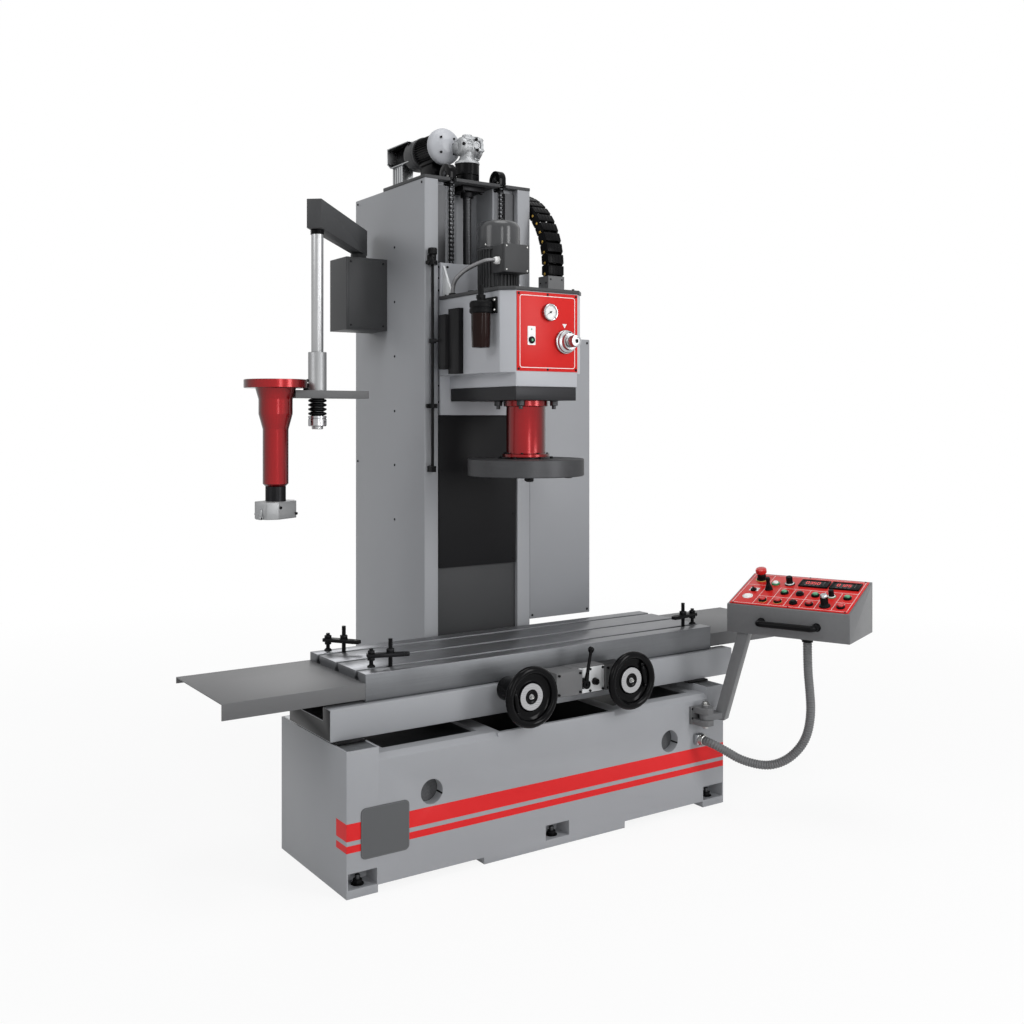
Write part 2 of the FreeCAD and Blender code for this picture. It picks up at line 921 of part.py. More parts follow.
def arm_box():
    """Housing on the column's left side that carries the tool arm's pivot."""
    x1 = -column_half_width
    body = block(x1 - arm_box_width, x1, pivot_y - arm_box_depth / 2.0, pivot_y + arm_box_depth / 2.0,
                 arm_box_bottom, arm_box_top)
    body = eased(body, arm_box_edge, lambda c, e: upright(e) and c.x < x1 - 1)
    return body.cut(rod(pivot_diameter + 2 * shaft_fit, pivot_depth,
                        (pivot_x, pivot_y, arm_box_top - pivot_depth)))


def pendant_bracket():
    """Two blocky ears on the base's front that hold the pendant arm's pin."""
    half = ear_width / 2.0
    solids = [block(swing_x - half - ear_plate_margin, swing_x + half + ear_plate_margin,
                    base_front - ear_plate, base_front, lower_ear_bottom, upper_ear_bottom + ear_thickness)]
    for z in (lower_ear_bottom, upper_ear_bottom):
        nose = swing_y - ear_nose
        outline = [(swing_x - half, base_front - ear_plate, z), (swing_x - half, nose + ear_corner, z),
                   (swing_x - half + ear_corner, nose, z), (swing_x + half - ear_corner, nose, z),
                   (swing_x + half, nose + ear_corner, z), (swing_x + half, base_front - ear_plate, z)]
        solids.append(prism(outline, (0, 0, ear_thickness)))
    top = upper_ear_bottom + ear_thickness
    solids.append(rod(swing_pin_diameter, top - lower_ear_bottom, (swing_x, swing_y, lower_ear_bottom)))
    solids.append(rod(swing_pin_diameter * 1.6, swing_pin_head, (swing_x, swing_y, top)))
    return joined(solids)


def conduit_gland():
    """Square boss on the base's front where the flexible conduit comes out."""
    x, z = gland_x, gland_z
    boss = block(x - gland_boss / 2.0, x + gland_boss / 2.0, base_front - gland_depth, base_front,
                 z - gland_boss / 2.0, z + gland_boss / 2.0)
    return boss


def chain_anchor():
    """Bracket on the column's right side that holds the energy chain's fixed end."""
    return block(column_half_width, link_x + link_width / 2.0, link_back_y - link_height / 2.0,
                 link_back_y + link_height / 2.0, anchor_height - anchor_thickness, anchor_height)


def saddle():
    body = block(saddle_left, saddle_left + saddle_length, saddle_front, saddle_back, saddle_bottom, saddle_top)
    channel = block(saddle_left, saddle_left + saddle_length, saddle_channel_front,
                    saddle_channel_front + saddle_channel_width, saddle_top - saddle_channel_depth, saddle_top)
    body = body.cut(channel)
    shoes = []
    for start, width in ((base_left, left_way_width), (base_right - right_way_width, right_way_width)):
        shoes.append(block(start + way_strip_edge, start + width - way_strip_edge, saddle_front + shoe_inset,
                           saddle_back - shoe_inset, base_top + slide_clearance, saddle_bottom))
    return joined([body] + shoes)


def gib_strips():
    """Gib ends that show under the saddle's front corners."""
    z1 = saddle_bottom
    left = base_left + way_strip_edge
    right = base_right - way_strip_edge
    return [block(left, left + gib_length, saddle_front - gib_nose, saddle_front + shoe_inset,
                  z1 - gib_height / 2.0, z1), block(right - gib_length, right, saddle_front - gib_nose,
                                                    saddle_front + shoe_inset, z1 - gib_height / 2.0, z1)]


def feed_box():
    """Gear housing on the saddle's front that carries both handwheel shafts and the lever."""
    case_right = gear_case_left + gear_case_width
    plate_right = lever_plate_left + lever_plate_width
    plate_top_z = lever_plate_bottom + lever_plate_height
    solids = [block(gear_case_left, case_right, gear_case_front, saddle_front, gear_case_bottom,
                    gear_case_bottom + gear_case_height), block(lever_plate_left, plate_right,
                                                                lever_plate_front, saddle_front,
                                                                lever_plate_bottom, plate_top_z),
              block(plate_right, plate_right + side_case_width, side_case_front, saddle_front,
                    lever_plate_bottom + side_case_inset, plate_top_z - side_case_inset)]
    left, right = wheel_spots()
    for x in (left, right):
        solids.append(rod(wheel_boss_diameter, saddle_front - boss_front, (x, boss_front, wheel_height),
                          (0, 1, 0)))
    solids.append(block(left, gear_case_left, saddle_front - boss_web_step, saddle_front,
                        wheel_height - wheel_boss_diameter / 2.0 + web_step,
                        wheel_height + wheel_boss_diameter / 2.0 - web_step))
    solids.append(block(lever_x - lever_block / 2.0, lever_x + lever_block / 2.0,
                        lever_plate_front - lever_block_depth, lever_plate_front,
                        lever_height - lever_block / 2.0, lever_height + lever_block / 2.0))
    body = joined(solids)
    for x in (left, right):
        body = body.cut(rod(wheel_shaft_diameter + 2 * shaft_fit, bearing_depth, (x, boss_front, wheel_height),
                            (0, 1, 0)))
    return body.cut(rod(lever_pin_diameter + 2 * shaft_fit, lever_pin_depth,
                        (lever_x, lever_plate_front - lever_block_depth, lever_height), (0, 1, 0)))


def wheel_spots():
    return (wheel_centre - wheel_spacing / 2.0, wheel_centre + wheel_spacing / 2.0)


def handwheel(x):
    """Dished wheel on its shaft, with a flat web set back behind a round rim."""
    rim = (wheel_diameter - rim_diameter) / 2.0
    hub = wheel_hub_diameter / 2.0
    outline = [(0, hub_front), (hub, hub_front), (hub, dish_depth), (rim, dish_depth),
               (rim, dish_depth + web_thickness), (hub, dish_depth + web_thickness), (hub, hub_depth),
               (0, hub_depth)]
    disc = turned(outline, (0, 0, 0))
    ring = Part.makeTorus(rim, rim_diameter / 2.0, Vector(0, 0, rim_diameter / 2.0), Vector(0, 0, 1))
    shaft = rod(wheel_shaft_diameter, hub_depth - hub_front + wheel_gap + bearing_depth - fit_gap,
                (0, 0, hub_front))
    wheel = joined([disc, ring, shaft])
    wheel.rotate(Vector(0, 0, 0), Vector(1, 0, 0), -90)
    wheel.translate(Vector(x, boss_front - wheel_gap - hub_depth, wheel_height))
    return wheel


def feed_lever():
    hub = rod(lever_hub_diameter, lever_hub_length, (lever_x, lever_hub_front, lever_height), (0, 1, 0))
    pin = rod(lever_pin_diameter, lever_pin_depth, (lever_x, lever_hub_front + lever_hub_length, lever_height),
              (0, 1, 0))
    stem = rod(lever_stem_diameter, lever_length, (lever_x, lever_hub_front + lever_hub_length / 2.0,
                                                   lever_height))
    ball = Part.makeSphere(lever_ball_diameter / 2.0, Vector(lever_x, lever_hub_front + lever_hub_length / 2.0,
                                                             lever_height + lever_length))
    body = joined([stem, ball])
    body.rotate(Vector(lever_x, 0, lever_height), Vector(0, 1, 0), lever_lean)
    return joined([hub, pin, body])


def table():
    """T-slotted table with way lands and a guide below."""
    body = block(table_left, table_right, table_front, table_back, table_bottom, table_top)
    lands = [block(table_left, table_right, y, y + way_land_width, saddle_top + slide_clearance, table_bottom)
             for y in (table_front + land_inset, saddle_back - land_inset - way_land_width)]
    guide_y = saddle_channel_front + (saddle_channel_width - guide_width) / 2.0
    guide = block(table_left, table_right, guide_y, guide_y + guide_width, saddle_top - guide_depth,
                  table_bottom)
    body = joined([body, guide] + lands)
    middle = table_front + table_depth / 2.0
    for i in range(tee_slot_count):
        y = middle + (i - (tee_slot_count - 1) / 2.0) * tee_slot_pitch
        body = body.cut(block(table_left, table_right, y - tee_slot_width / 2.0, y + tee_slot_width / 2.0,
                              table_top - tee_slot_depth, table_top))
        body = body.cut(block(table_left, table_right, y - tee_foot_width / 2.0, y + tee_foot_width / 2.0,
                              table_top - tee_slot_depth, table_top - tee_slot_depth + tee_foot_height))
    return body


def sheet_cover(side):
    """Folded sheet that hangs off one end of the table."""
    x0 = table_left - sheet_length if side < 0 else table_right
    x1 = x0 + sheet_length
    y0, y1 = table_front, table_back
    top = block(x0, x1, y0, y1, sheet_top - sheet_thickness, sheet_top)
    skirt = block(x0, x1, y0, y0 + sheet_thickness, sheet_top - sheet_skirt, sheet_top)
    rear = block(x0, x1, y1 - sheet_thickness, y1, sheet_top - sheet_lip, sheet_top)
    inner = x1 if side < 0 else x0
    flange = block(inner - (sheet_thickness if side < 0 else 0), inner + (0 if side < 0 else sheet_thickness),
                   y0, y1, sheet_top - sheet_skirt, sheet_top)
    return joined([top, skirt, rear, flange])


def clamp(x, y, turn):
    """Strap clamp: a stud in a T-slot, a strap with its nut, and a jack screw at the heel."""
    slot_floor = table_top - tee_slot_depth
    stud = rod(stud_diameter, stud_height + tee_slot_depth, (x, y, slot_floor))
    tee = block(x - tee_nut / 2.0, x + tee_nut / 2.0, y - tee_nut / 2.0, y + tee_nut / 2.0, slot_floor,
                slot_floor + tee_foot_height - 1)
    heel = rod(stud_diameter, heel_height, (x - strap_pitch, y, table_top))
    foot = rod(heel_foot_diameter, heel_foot_height, (x - strap_pitch, y, table_top))
    strap = block(x - strap_pitch - strap_end, x + strap_pitch, y - strap_width / 2.0, y + strap_width / 2.0,
                  table_top + strap_height, table_top + strap_height + strap_thickness)
    nuts = [rod(nut_diameter, nut_height, (x, y, table_top + strap_height + strap_thickness)),
            rod(nut_diameter, nut_height, (x - strap_pitch, y, table_top + strap_height + strap_thickness))]
    upper = joined([strap, heel, foot] + nuts)
    upper.rotate(Vector(x, y, 0), Vector(0, 0, 1), turn)
    return joined([stud, tee, upper])


def table_clamps():
    """Two clamps at the table's left end and one at its right, each in a T-slot."""
    middle = table_front + table_depth / 2.0
    spots = ((table_left + back_clamp_inset, middle + tee_slot_pitch),
             (table_left + front_clamp_inset, middle - tee_slot_pitch),
             (table_right - right_clamp_inset, middle - tee_slot_pitch))
    return [clamp(x, y, turn) for (x, y), turn in zip(spots, clamp_turns)]


def head_outline(side, back, z, grow=0.0):
    """Plan of the head: a box with its two front corners cut off."""
    front = head_front - grow
    half = head_half_width + grow
    flat = half - head_chamfer_side
    return [(-half, back, z), (-half, head_front + head_chamfer_depth, z), (-flat, front, z),
            (flat, front, z), (half, head_front + head_chamfer_depth, z), (half, back, z)]


def carriage():
    """Slide behind the head, with chain grooves and the ball nut's tongue."""
    front = head_back
    back = rail_front - rail_clearance
    body = block(-carriage_half_width, carriage_half_width, front, back, carriage_bottom, carriage_top)
    tongue = block(-tongue_half_width, tongue_half_width, back, screw_y + nut_radius, tongue_bottom, tongue_top)
    body = joined([body, tongue])
    body = body.cut(rod(screw_diameter + 2 * fit_gap, carriage_top - carriage_bottom,
                        (0, screw_y, carriage_bottom)))
    groove_front = chain_front_y - chain_thickness / 2.0 - groove_gap
    for s in (-1, 1):
        half = chain_width / 2.0 + groove_gap
        body = body.cut(block(s * chain_offset - half, s * chain_offset + half, groove_front, back,
                              carriage_bottom, carriage_top))
    return body


def apron():
    """Sheet cover that hangs from the carriage and closes the slot below it."""
    return block(-apron_half_width, apron_half_width, apron_front, apron_front + cover_thickness,
                 apron_bottom, carriage_bottom)


def head_body():
    body = prism(head_outline(-1, head_back, head_skirt_top), (0, 0, head_top - head_skirt_top))
    flat = head_half_width - head_chamfer_side
    skirt = block(-flat, flat, head_front, head_back, head_bottom, head_skirt_top)
    return joined([body, skirt])


def head_top_plate():
    return prism(head_outline(-1, head_back, head_top, head_plate_overhang), (0, 0, head_plate_thickness))


def head_foot_plate():
    flat = head_half_width - head_chamfer_side
    plate = block(-flat, flat, head_front + foot_inset, head_back - foot_inset,
                  head_bottom - head_foot_thickness, head_bottom)
    return eased(plate, foot_corner, lambda c, e: upright(e))


def control_panel():
    return block(-panel_width / 2.0, panel_width / 2.0, head_front - panel_thickness, head_front, panel_bottom,
                 panel_bottom + panel_height)


def air_gauge():
    face = head_front - panel_thickness
    dial = rod(gauge_diameter, gauge_depth, (gauge_x, face - gauge_depth, gauge_z), (0, 1, 0))
    well = rod(gauge_diameter - 2 * gauge_rim, gauge_rim, (gauge_x, face - gauge_depth, gauge_z), (0, 1, 0))
    return dial.cut(well)


def depth_knob():
    """Stepped turning knob with a graduated skirt."""
    profile = [(0, 0), (knob_rim_diameter / 2.0 - knob_edge, 0), (knob_rim_diameter / 2.0, knob_edge),
               (knob_rim_diameter / 2.0, knob_skirt), (knob_waist_diameter / 2.0, knob_skirt + knob_cone),
               (knob_grip_diameter / 2.0, knob_skirt + knob_cone),
               (knob_grip_diameter / 2.0, knob_length - knob_edge),
               (knob_grip_diameter / 2.0 - knob_edge, knob_length), (0, knob_length)]
    knob = turned(profile, (0, 0, 0))
    knob.rotate(Vector(0, 0, 0), Vector(1, 0, 0), 90)
    knob.translate(Vector(knob_x, head_front - panel_thickness - knob_gap, knob_z))
    return knob


def lubricator():
    """Air-line oiler: bracket on the head's left side, cap, bowl and inlet."""
    x1 = -head_half_width
    bracket = block(x1 - oiler_bracket, x1, oiler_y - oiler_bracket_width / 2.0,
                    oiler_y + oiler_bracket_width / 2.0, oiler_top - oiler_cap_height, oiler_top)
    axis_x = x1 - oiler_bracket
    cap = rod(oiler_cap_diameter, oiler_cap_height, (axis_x, oiler_y, oiler_top - oiler_cap_height))
    bowl = turned([(0, 0), (oiler_bowl_diameter / 2.0 - oiler_taper, 0),
                   (oiler_bowl_diameter / 2.0, oiler_bowl_height), (0, oiler_bowl_height)],
                  (axis_x, oiler_y, oiler_top - oiler_cap_height - oiler_bowl_height))
    inlet = rod(oiler_inlet_diameter, oiler_inlet_height, (axis_x, oiler_y, oiler_top))
    return joined([bracket, cap, bowl, inlet])


def vent_boxes():
    """Stepped side cover with the finger that rides between the stop collars."""
    x1 = -head_half_width
    front_box = block(x1 - vent_step, x1, vent_front, vent_middle, vent_bottom, vent_top)
    back_box = block(x1 - vent_depth, x1, vent_middle, vent_back, vent_bottom + vent_offset,
                     vent_top - vent_offset)
    link = block(rod_x - finger_half_width, x1 - vent_depth / 2.0, vent_back - finger_lap,
                 rod_y - rod_diameter / 2.0, finger_height - finger_half_width,
                 finger_height + finger_half_width)
    ring_bottom = finger_height - finger_ring_height / 2.0
    ring = rod(finger_ring_diameter, finger_ring_height, (rod_x, rod_y, ring_bottom))
    hole = rod(rod_diameter + 2 * finger_gap, finger_ring_height, (rod_x, rod_y, ring_bottom))
    return joined([front_box, back_box, link, ring]).cut(hole)


def spindle_motor():
    """Upright finned motor with a domed fan cowl and a terminal box."""
    z0 = head_top + head_plate_thickness
    base = block(motor_x - motor_base / 2.0, motor_x + motor_base / 2.0, motor_y - motor_base / 2.0,
                 motor_y + motor_base / 2.0, z0, z0 + motor_flange)
    z1 = z0 + motor_flange
    core = rod(motor_diameter - 2 * fin_height - 2, motor_body_height, (motor_x, motor_y, z1))
    fins = []
    for i in range(motor_fin_count):
        fin = block(motor_x - fin_thickness / 2.0, motor_x + fin_thickness / 2.0, motor_y,
                    motor_y + motor_diameter / 2.0 - 2, z1, z1 + motor_body_height)
        fin.rotate(Vector(motor_x, motor_y, 0), Vector(0, 0, 1), 360.0 * i / motor_fin_count)
        fins.append(fin)
    cowl = rod(motor_diameter, motor_cowl_height, (motor_x, motor_y, z1 + motor_body_height))
    cowl = cowl.makeFillet(motor_dome, [e for e in cowl.Edges if e.BoundBox.ZMin > z1 + motor_body_height + 1
                                        and e.BoundBox.XLength > motor_diameter / 2.0])
    front = motor_y - motor_diameter / 2.0
    terminal = block(terminal_left, terminal_left + terminal_width, front - terminal_depth,
                     front + fin_height * 2.5, z1 + terminal_rise, z1 + terminal_rise + terminal_height)
    return joined([base, core] + fins + [cowl, terminal])


def spindle_housing():
    top = head_bottom - head_foot_thickness
    body = rod(spindle_diameter, top - spindle_bottom, (0, 0, spindle_bottom))
    foot = rod(spindle_flange_diameter, spindle_flange_height, (0, 0, spindle_bottom))
    collar = rod(spindle_collar_diameter, spindle_collar_height, (0, 0, top - spindle_collar_height))
    return joined([body, foot, collar])


def milling_disc():
    """Facing disc under the spindle with its tool cartridges."""
    top = spindle_bottom - fit_gap
    hub = rod(disc_hub_diameter, disc_hub_height, (0, 0, top - disc_hub_height))
    z0 = top - disc_hub_height - disc_thickness
    disc = rod(disc_diameter, disc_thickness, (0, 0, z0))
    tools = []
    for i in range(tool_count):
        turn = math.radians(tool_turn + 360.0 * i / tool_count)
        spot = (tool_radius * math.cos(turn), tool_radius * math.sin(turn), z0 - tool_drop)
        tools.append(rod(tool_diameter, tool_drop, spot))
    return joined([disc, hub] + tools)


def chain_bracket():
    """Bracket on the head's top plate that carries the energy chain's moving end."""
    z0 = head_top + head_plate_thickness
    y0, y1 = link_front_y - link_height / 2.0, link_front_y + link_height / 2.0 + bracket_lap
    x1 = link_x + link_width / 2.0
    foot = block(head_half_width - bracket_foot, x1, y0, y1, z0, z0 + bracket_plate)
    box = block(link_x - link_width / 2.0, x1, y0, y1, z0, bracket_top)
    return joined([foot, box])


def energy_chain():
    """Flat link chain: up from the head, over in an arc and down the column's side."""
    x0 = link_x - link_width / 2.0
    centre_y = link_front_y + link_bend
    half = link_height / 2.0
    front = block(x0, x0 + link_width, link_front_y - half, link_front_y + half, bracket_top, bend_height)
    back = block(x0, x0 + link_width, link_back_y - half, link_back_y + half, anchor_height, bend_height)
    arc = half_ring(link_bend + half, link_bend - half, link_width, (x0, centre_y, bend_height))
    chain = joined([front, back, arc])
    for i in range(1, link_count):
        turn = 180.0 * i / link_count
        slot = block(x0, x0 + link_width, link_bend + half - link_groove, link_bend + half + 1,
                     -link_groove_width / 2.0, link_groove_width / 2.0)
        slot.rotate(Vector(0, 0, 0), Vector(1, 0, 0), turn)
        slot.translate(Vector(0, centre_y, bend_height))
        chain = chain.cut(slot)
    return chain


def arm_direction():
    turn = math.radians(arm_turn)
    return math.cos(turn), math.sin(turn)


def bar_spot():
    c, s = arm_direction()
    return pivot_x + arm_reach * c, pivot_y + arm_reach * s


def tool_arm():
    """Square-section arm on its pivot pin, made along x and then turned."""
    beam = block(-arm_tail, arm_reach + arm_nose, -arm_width / 2.0, arm_width / 2.0, arm_bottom,
                 arm_bottom + arm_height)
    collar = rod(pivot_collar_diameter, arm_bottom - arm_box_top - fit_gap, (0, 0, arm_box_top + fit_gap))
    pin = rod(pivot_diameter, pivot_depth, (0, 0, arm_box_top - pivot_depth + fit_gap))
    body = joined([beam, collar, pin])
    body.rotate(Vector(0, 0, 0), Vector(0, 0, 1), arm_turn)
    body.translate(Vector(pivot_x, pivot_y, 0))
    return body


def arm_bar():
    """Chrome bar under the arm, with its bushing and the spring stack and nut at its foot."""
    x, y = bar_spot()
    bar = rod(bar_diameter, arm_bottom - bar_bottom(), (x, y, bar_bottom()))
    bushing = rod(bushing_diameter, bushing_height, (x, y, arm_bottom - bushing_height))
    solids = [bar, bushing]
    z = holder_bottom - fit_gap
    ring = spring_stack_length / (2.0 * spring_ring_count)
    for i in range(spring_ring_count):
        solids.append(rod(sleeve_diameter, ring, (x, y, z - ring * (2 * i + 1))))
    solids.append(rod(sleeve_diameter, stop_nut_length, (x, y, z - spring_stack_length - stop_nut_length)))
    return joined(solids)


def bar_bottom():
    return holder_bottom - fit_gap - spring_stack_length - stop_nut_length - bar_tip


def cone_diameter(z):
    """Outer diameter of the spare spindle's shoulder at a height."""
    share = (spare_flange_bottom - z) / (spare_flange_bottom - shoulder_bottom)
    return spare_shoulder_diameter - share * (spare_shoulder_diameter - spare_body_diameter)


def holder_plate():
    """Swinging plate with an open hook for a spindle and a sleeve round the bar."""
    z0, z1 = holder_bottom, holder_bottom + holder_thickness
    hook = rod(hook_diameter, holder_thickness, (-holder_reach, 0, z0))
    hook = hook.common(block(-holder_reach - hook_end, 0, 0, hook_diameter, z0, z1))
    plate = joined([block(-holder_reach + hook_start, holder_tail, -holder_width / 2.0, holder_width / 2.0,
                          z0, z1), hook, rod(sleeve_diameter, sleeve_length, (0, 0, z1))])
    seat = cone_diameter(z1) + 2 * fit_gap
    plate = plate.cut(rod(seat, holder_thickness, (-holder_reach, 0, z0)))
    plate = plate.cut(rod(bar_diameter + 2 * shaft_fit, sleeve_length + holder_thickness, (0, 0, z0)))
    x, y = bar_spot()
    plate.rotate(Vector(0, 0, 0), Vector(0, 0, 1), holder_turn)
    plate.translate(Vector(x, y, 0))
    return plate


def seat_spot():
    x, y = bar_spot()
    turn = math.radians(holder_turn)
    return x - holder_reach * math.cos(turn), y - holder_reach * math.sin(turn)


def spare_spindle():
    x, y = seat_spot()
    profile = [(0, spare_nose_bottom), (spare_nose_diameter / 2.0 - spare_chamfer, spare_nose_bottom),
               (spare_nose_diameter / 2.0, spare_nose_bottom + spare_chamfer),
               (spare_nose_diameter / 2.0, spare_taper_bottom),
               (spare_body_diameter / 2.0, spare_body_bottom), (spare_body_diameter / 2.0, shoulder_bottom),
               (spare_shoulder_diameter / 2.0, spare_flange_bottom),
               (spare_flange_diameter / 2.0, spare_flange_bottom),
               (spare_flange_diameter / 2.0, spare_flange_bottom + spare_flange_thickness),
               (0, spare_flange_bottom + spare_flange_thickness)]
    return turned(profile, (x, y, 0))


def boring_head():
    """Neck and square boring head that turn under the spare spindle."""
    x, y = seat_spot()
    neck = rod(spare_neck_diameter, spare_nose_bottom - fit_gap - spare_neck_bottom, (x, y, spare_neck_bottom))
    w, d = boring_head_width / 2.0, boring_head_depth / 2.0
    cut = head_corner
    outline = [(-w, -d + cut), (-w + cut, -d), (w - cut, -d), (w, -d + cut), (w, d - cut), (w - cut, d),
               (-w + cut, d), (-w, d - cut)]
    head = prism([(px, py, 0) for px, py in outline], (0, 0, spare_neck_bottom - boring_head_bottom))
    bit = prism([(-w, -tool_bit / 2.0, 0), (-w, tool_bit / 2.0, 0), (-w - tool_bit, tool_bit / 2.0, 0),
                 (-w - tool_bit, -tool_bit / 2.0, 0)], (0, 0, tool_bit))
    head = joined([head, bit])
    head.rotate(Vector(0, 0, 0), Vector(0, 0, 1), boring_head_turn)
    head.translate(Vector(x, y, boring_head_bottom))
    return joined([neck, head])


def placed_pendant(shape):
    """Moves a shape from the pendant box's own frame to its place."""
    shape.rotate(Vector(0, 0, 0), Vector(0, 0, 1), pendant_turn)
    shape.translate(Vector(swing_x + box_offset_x, swing_y + box_offset_y, 0))
    return shape


def pendant_arm():
    """Block on the bracket's pin and a leaning square tube."""
    z0 = lower_ear_bottom + ear_thickness + swing_gap
    z1 = upper_ear_bottom - swing_gap
    half = swing_block_width / 2.0
    length = math.hypot(arm_foot_x - swing_x, arm_foot_y - swing_y)
    turn = math.degrees(math.atan2(arm_foot_y - swing_y, arm_foot_x - swing_x))
    bar = joined([block(0, length, -half, half, z0, z1), rod(swing_block_width, z1 - z0, (0, 0, z0))])
    bar.rotate(Vector(0, 0, 0), Vector(0, 0, 1), turn)
    bar.translate(Vector(swing_x, swing_y, 0))
    bar = bar.cut(rod(swing_pin_diameter + 2 * shaft_fit, z1 - z0, (swing_x, swing_y, z0)))
    t = pendant_tube / 2.0
    square = [(-t, -t, 0), (t, -t, 0), (t, t, 0), (-t, t, 0)]
    face = Part.Face(Part.makePolygon([Vector(*p) for p in square + [square[0]]]))
    face.rotate(Vector(0, 0, 0), Vector(0, 0, 1), pendant_turn)
    face.translate(Vector(arm_foot_x, arm_foot_y, tube_bottom))
    tube = face.extrude(Vector(arm_head_x - arm_foot_x, arm_head_y - arm_foot_y, box_bottom - tube_bottom))
    return joined([bar, tube])


def pendant_box():
    """Sloping control box, in its own frame first: length along x, depth along y."""
    outline = [(0, 0, box_bottom), (0, box_depth, box_bottom), (0, box_depth, box_bottom + box_back_height),
               (0, box_depth - box_back_shelf, box_bottom + box_back_height),
               (0, 0, box_bottom + box_front_height)]
    return placed_pendant(prism(outline, (box_length, 0, 0)))


def slope_turn():
    rise = box_back_height - box_front_height
    return math.degrees(math.atan2(rise, box_depth - box_back_shelf))


def on_slope(shape):
    """Moves a shape standing on z = 0 to the box's sloping top."""
    shape.rotate(Vector(0, 0, 0), Vector(1, 0, 0), slope_turn())
    shape.translate(Vector(0, 0, box_bottom + box_front_height))
    return placed_pendant(shape)


def slope_length():
    return math.hypot(box_back_height - box_front_height, box_depth - box_back_shelf)


def pendant_panel():
    return on_slope(block(panel_margin, box_length - panel_margin, panel_margin,
                          slope_length() - panel_margin, 0, panel_thickness))


def control_places():
    """Each round control as share of the panel's length, share of its depth, diameter and height."""
    button = (button_diameter, button_height)
    rows = [(0.117, 0.8, stop_head_diameter, stop_head_height), (0.261, 0.69, lamp_diameter, button_height),
            (0.375, 0.72, selector_diameter, selector_height),
            (0.125, 0.45, small_selector_diameter, button_height),
            (0.242, 0.51, button_diameter, joystick_height), (0.118, 0.255, dial_diameter, dial_height),
            (0.775, 0.445, lamp_diameter, ring_knob_height),
            (0.775, 0.16, speed_knob_diameter, stop_head_height)]
    rows += [(x, 0.43) + button for x in (0.392, 0.52, 0.647, 0.905)]
    rows += [(x, 0.162) + button for x in (0.266, 0.392, 0.52, 0.648, 0.9)]
    return rows


def pendant_controls():
    """Emergency stop, lamps, joystick, selectors, buttons and displays on the sloping panel."""
    z0 = panel_thickness
    solids = []
    for x, y, diameter, height in control_places():
        solids.append(on_slope(rod(diameter, height, (x * box_length, y * slope_length(), z0))))
    for x in display_places:
        half = display_width / 2.0
        y = display_row * slope_length()
        solids.append(on_slope(block(x * box_length - half, x * box_length + half, y - display_depth / 2.0,
                                     y + display_depth / 2.0, z0, z0 + display_height)))
    return solids


def pendant_handle():
    """Bar with two stand-offs on the box's front."""
    x0 = handle_centre * box_length - handle_span / 2.0
    z = box_bottom + handle_rise
    bar = rod(handle_diameter, handle_span, (x0, -handle_stand, z), (1, 0, 0))
    posts = [rod(handle_diameter * 0.8, handle_stand, (x, -handle_stand, z), (0, 1, 0))
             for x in (x0 + handle_diameter, x0 + handle_span - handle_diameter)]
    return placed_pendant(joined([bar] + posts))


def tube_along(points, diameter, limit=0.45):
    """Round tube along straight runs joined by tangent arcs as large as the runs allow."""
    route = [Vector(*p) for p in points]
    edges, radii = [], []
    start = route[0]
    for i in range(1, len(route) - 1):
        before = (route[i] - route[i - 1])
        after = (route[i + 1] - route[i])
        turn = before.getAngle(after)
        reach = limit * min(before.Length, after.Length)
        radii.append(round(reach / math.tan(turn / 2.0), 1))
        a = route[i] - before.normalize() * reach
        b = route[i] + after.normalize() * reach
        chord = (a + b) * 0.5
        inward = (chord - route[i]).normalize()
        radius = reach / math.tan(turn / 2.0)
        middle = route[i] + inward * (math.hypot(reach, radius) - radius)
        edges.append(Part.LineSegment(start, a).toShape())
        edges.append(Part.Arc(a, middle, b).toShape())
        start = b
    edges.append(Part.LineSegment(start, route[-1]).toShape())
    path = Part.Wire(edges)
    first = route[1] - route[0]
    ring = Part.Wire([Part.Circle(route[0], first, diameter / 2.0).toShape()])
    tube = path.makePipeShell([ring], True, True)
    share = tube.Volume / (math.pi * diameter ** 2 / 4.0 * path.Length)
    print("tube length %.0f radii %s volume share %.4f" % (path.Length, radii, share))
    return tube


def pendant_conduit():
    route = [(base_right + x, base_front + y, z) for x, y, z in conduit_bends]
    return tube_along(route, conduit_diameter)


def motor_conduit():
    route = [(terminal_left + x, y, z) for x, y, z in motor_bends]
    return tube_along(route, motor_conduit_diameter)


def motor_gland():
    return rod(motor_gland_diameter, motor_gland_length, (terminal_left, motor_gland_y, motor_gland_z),
               (-1, 0, 0))


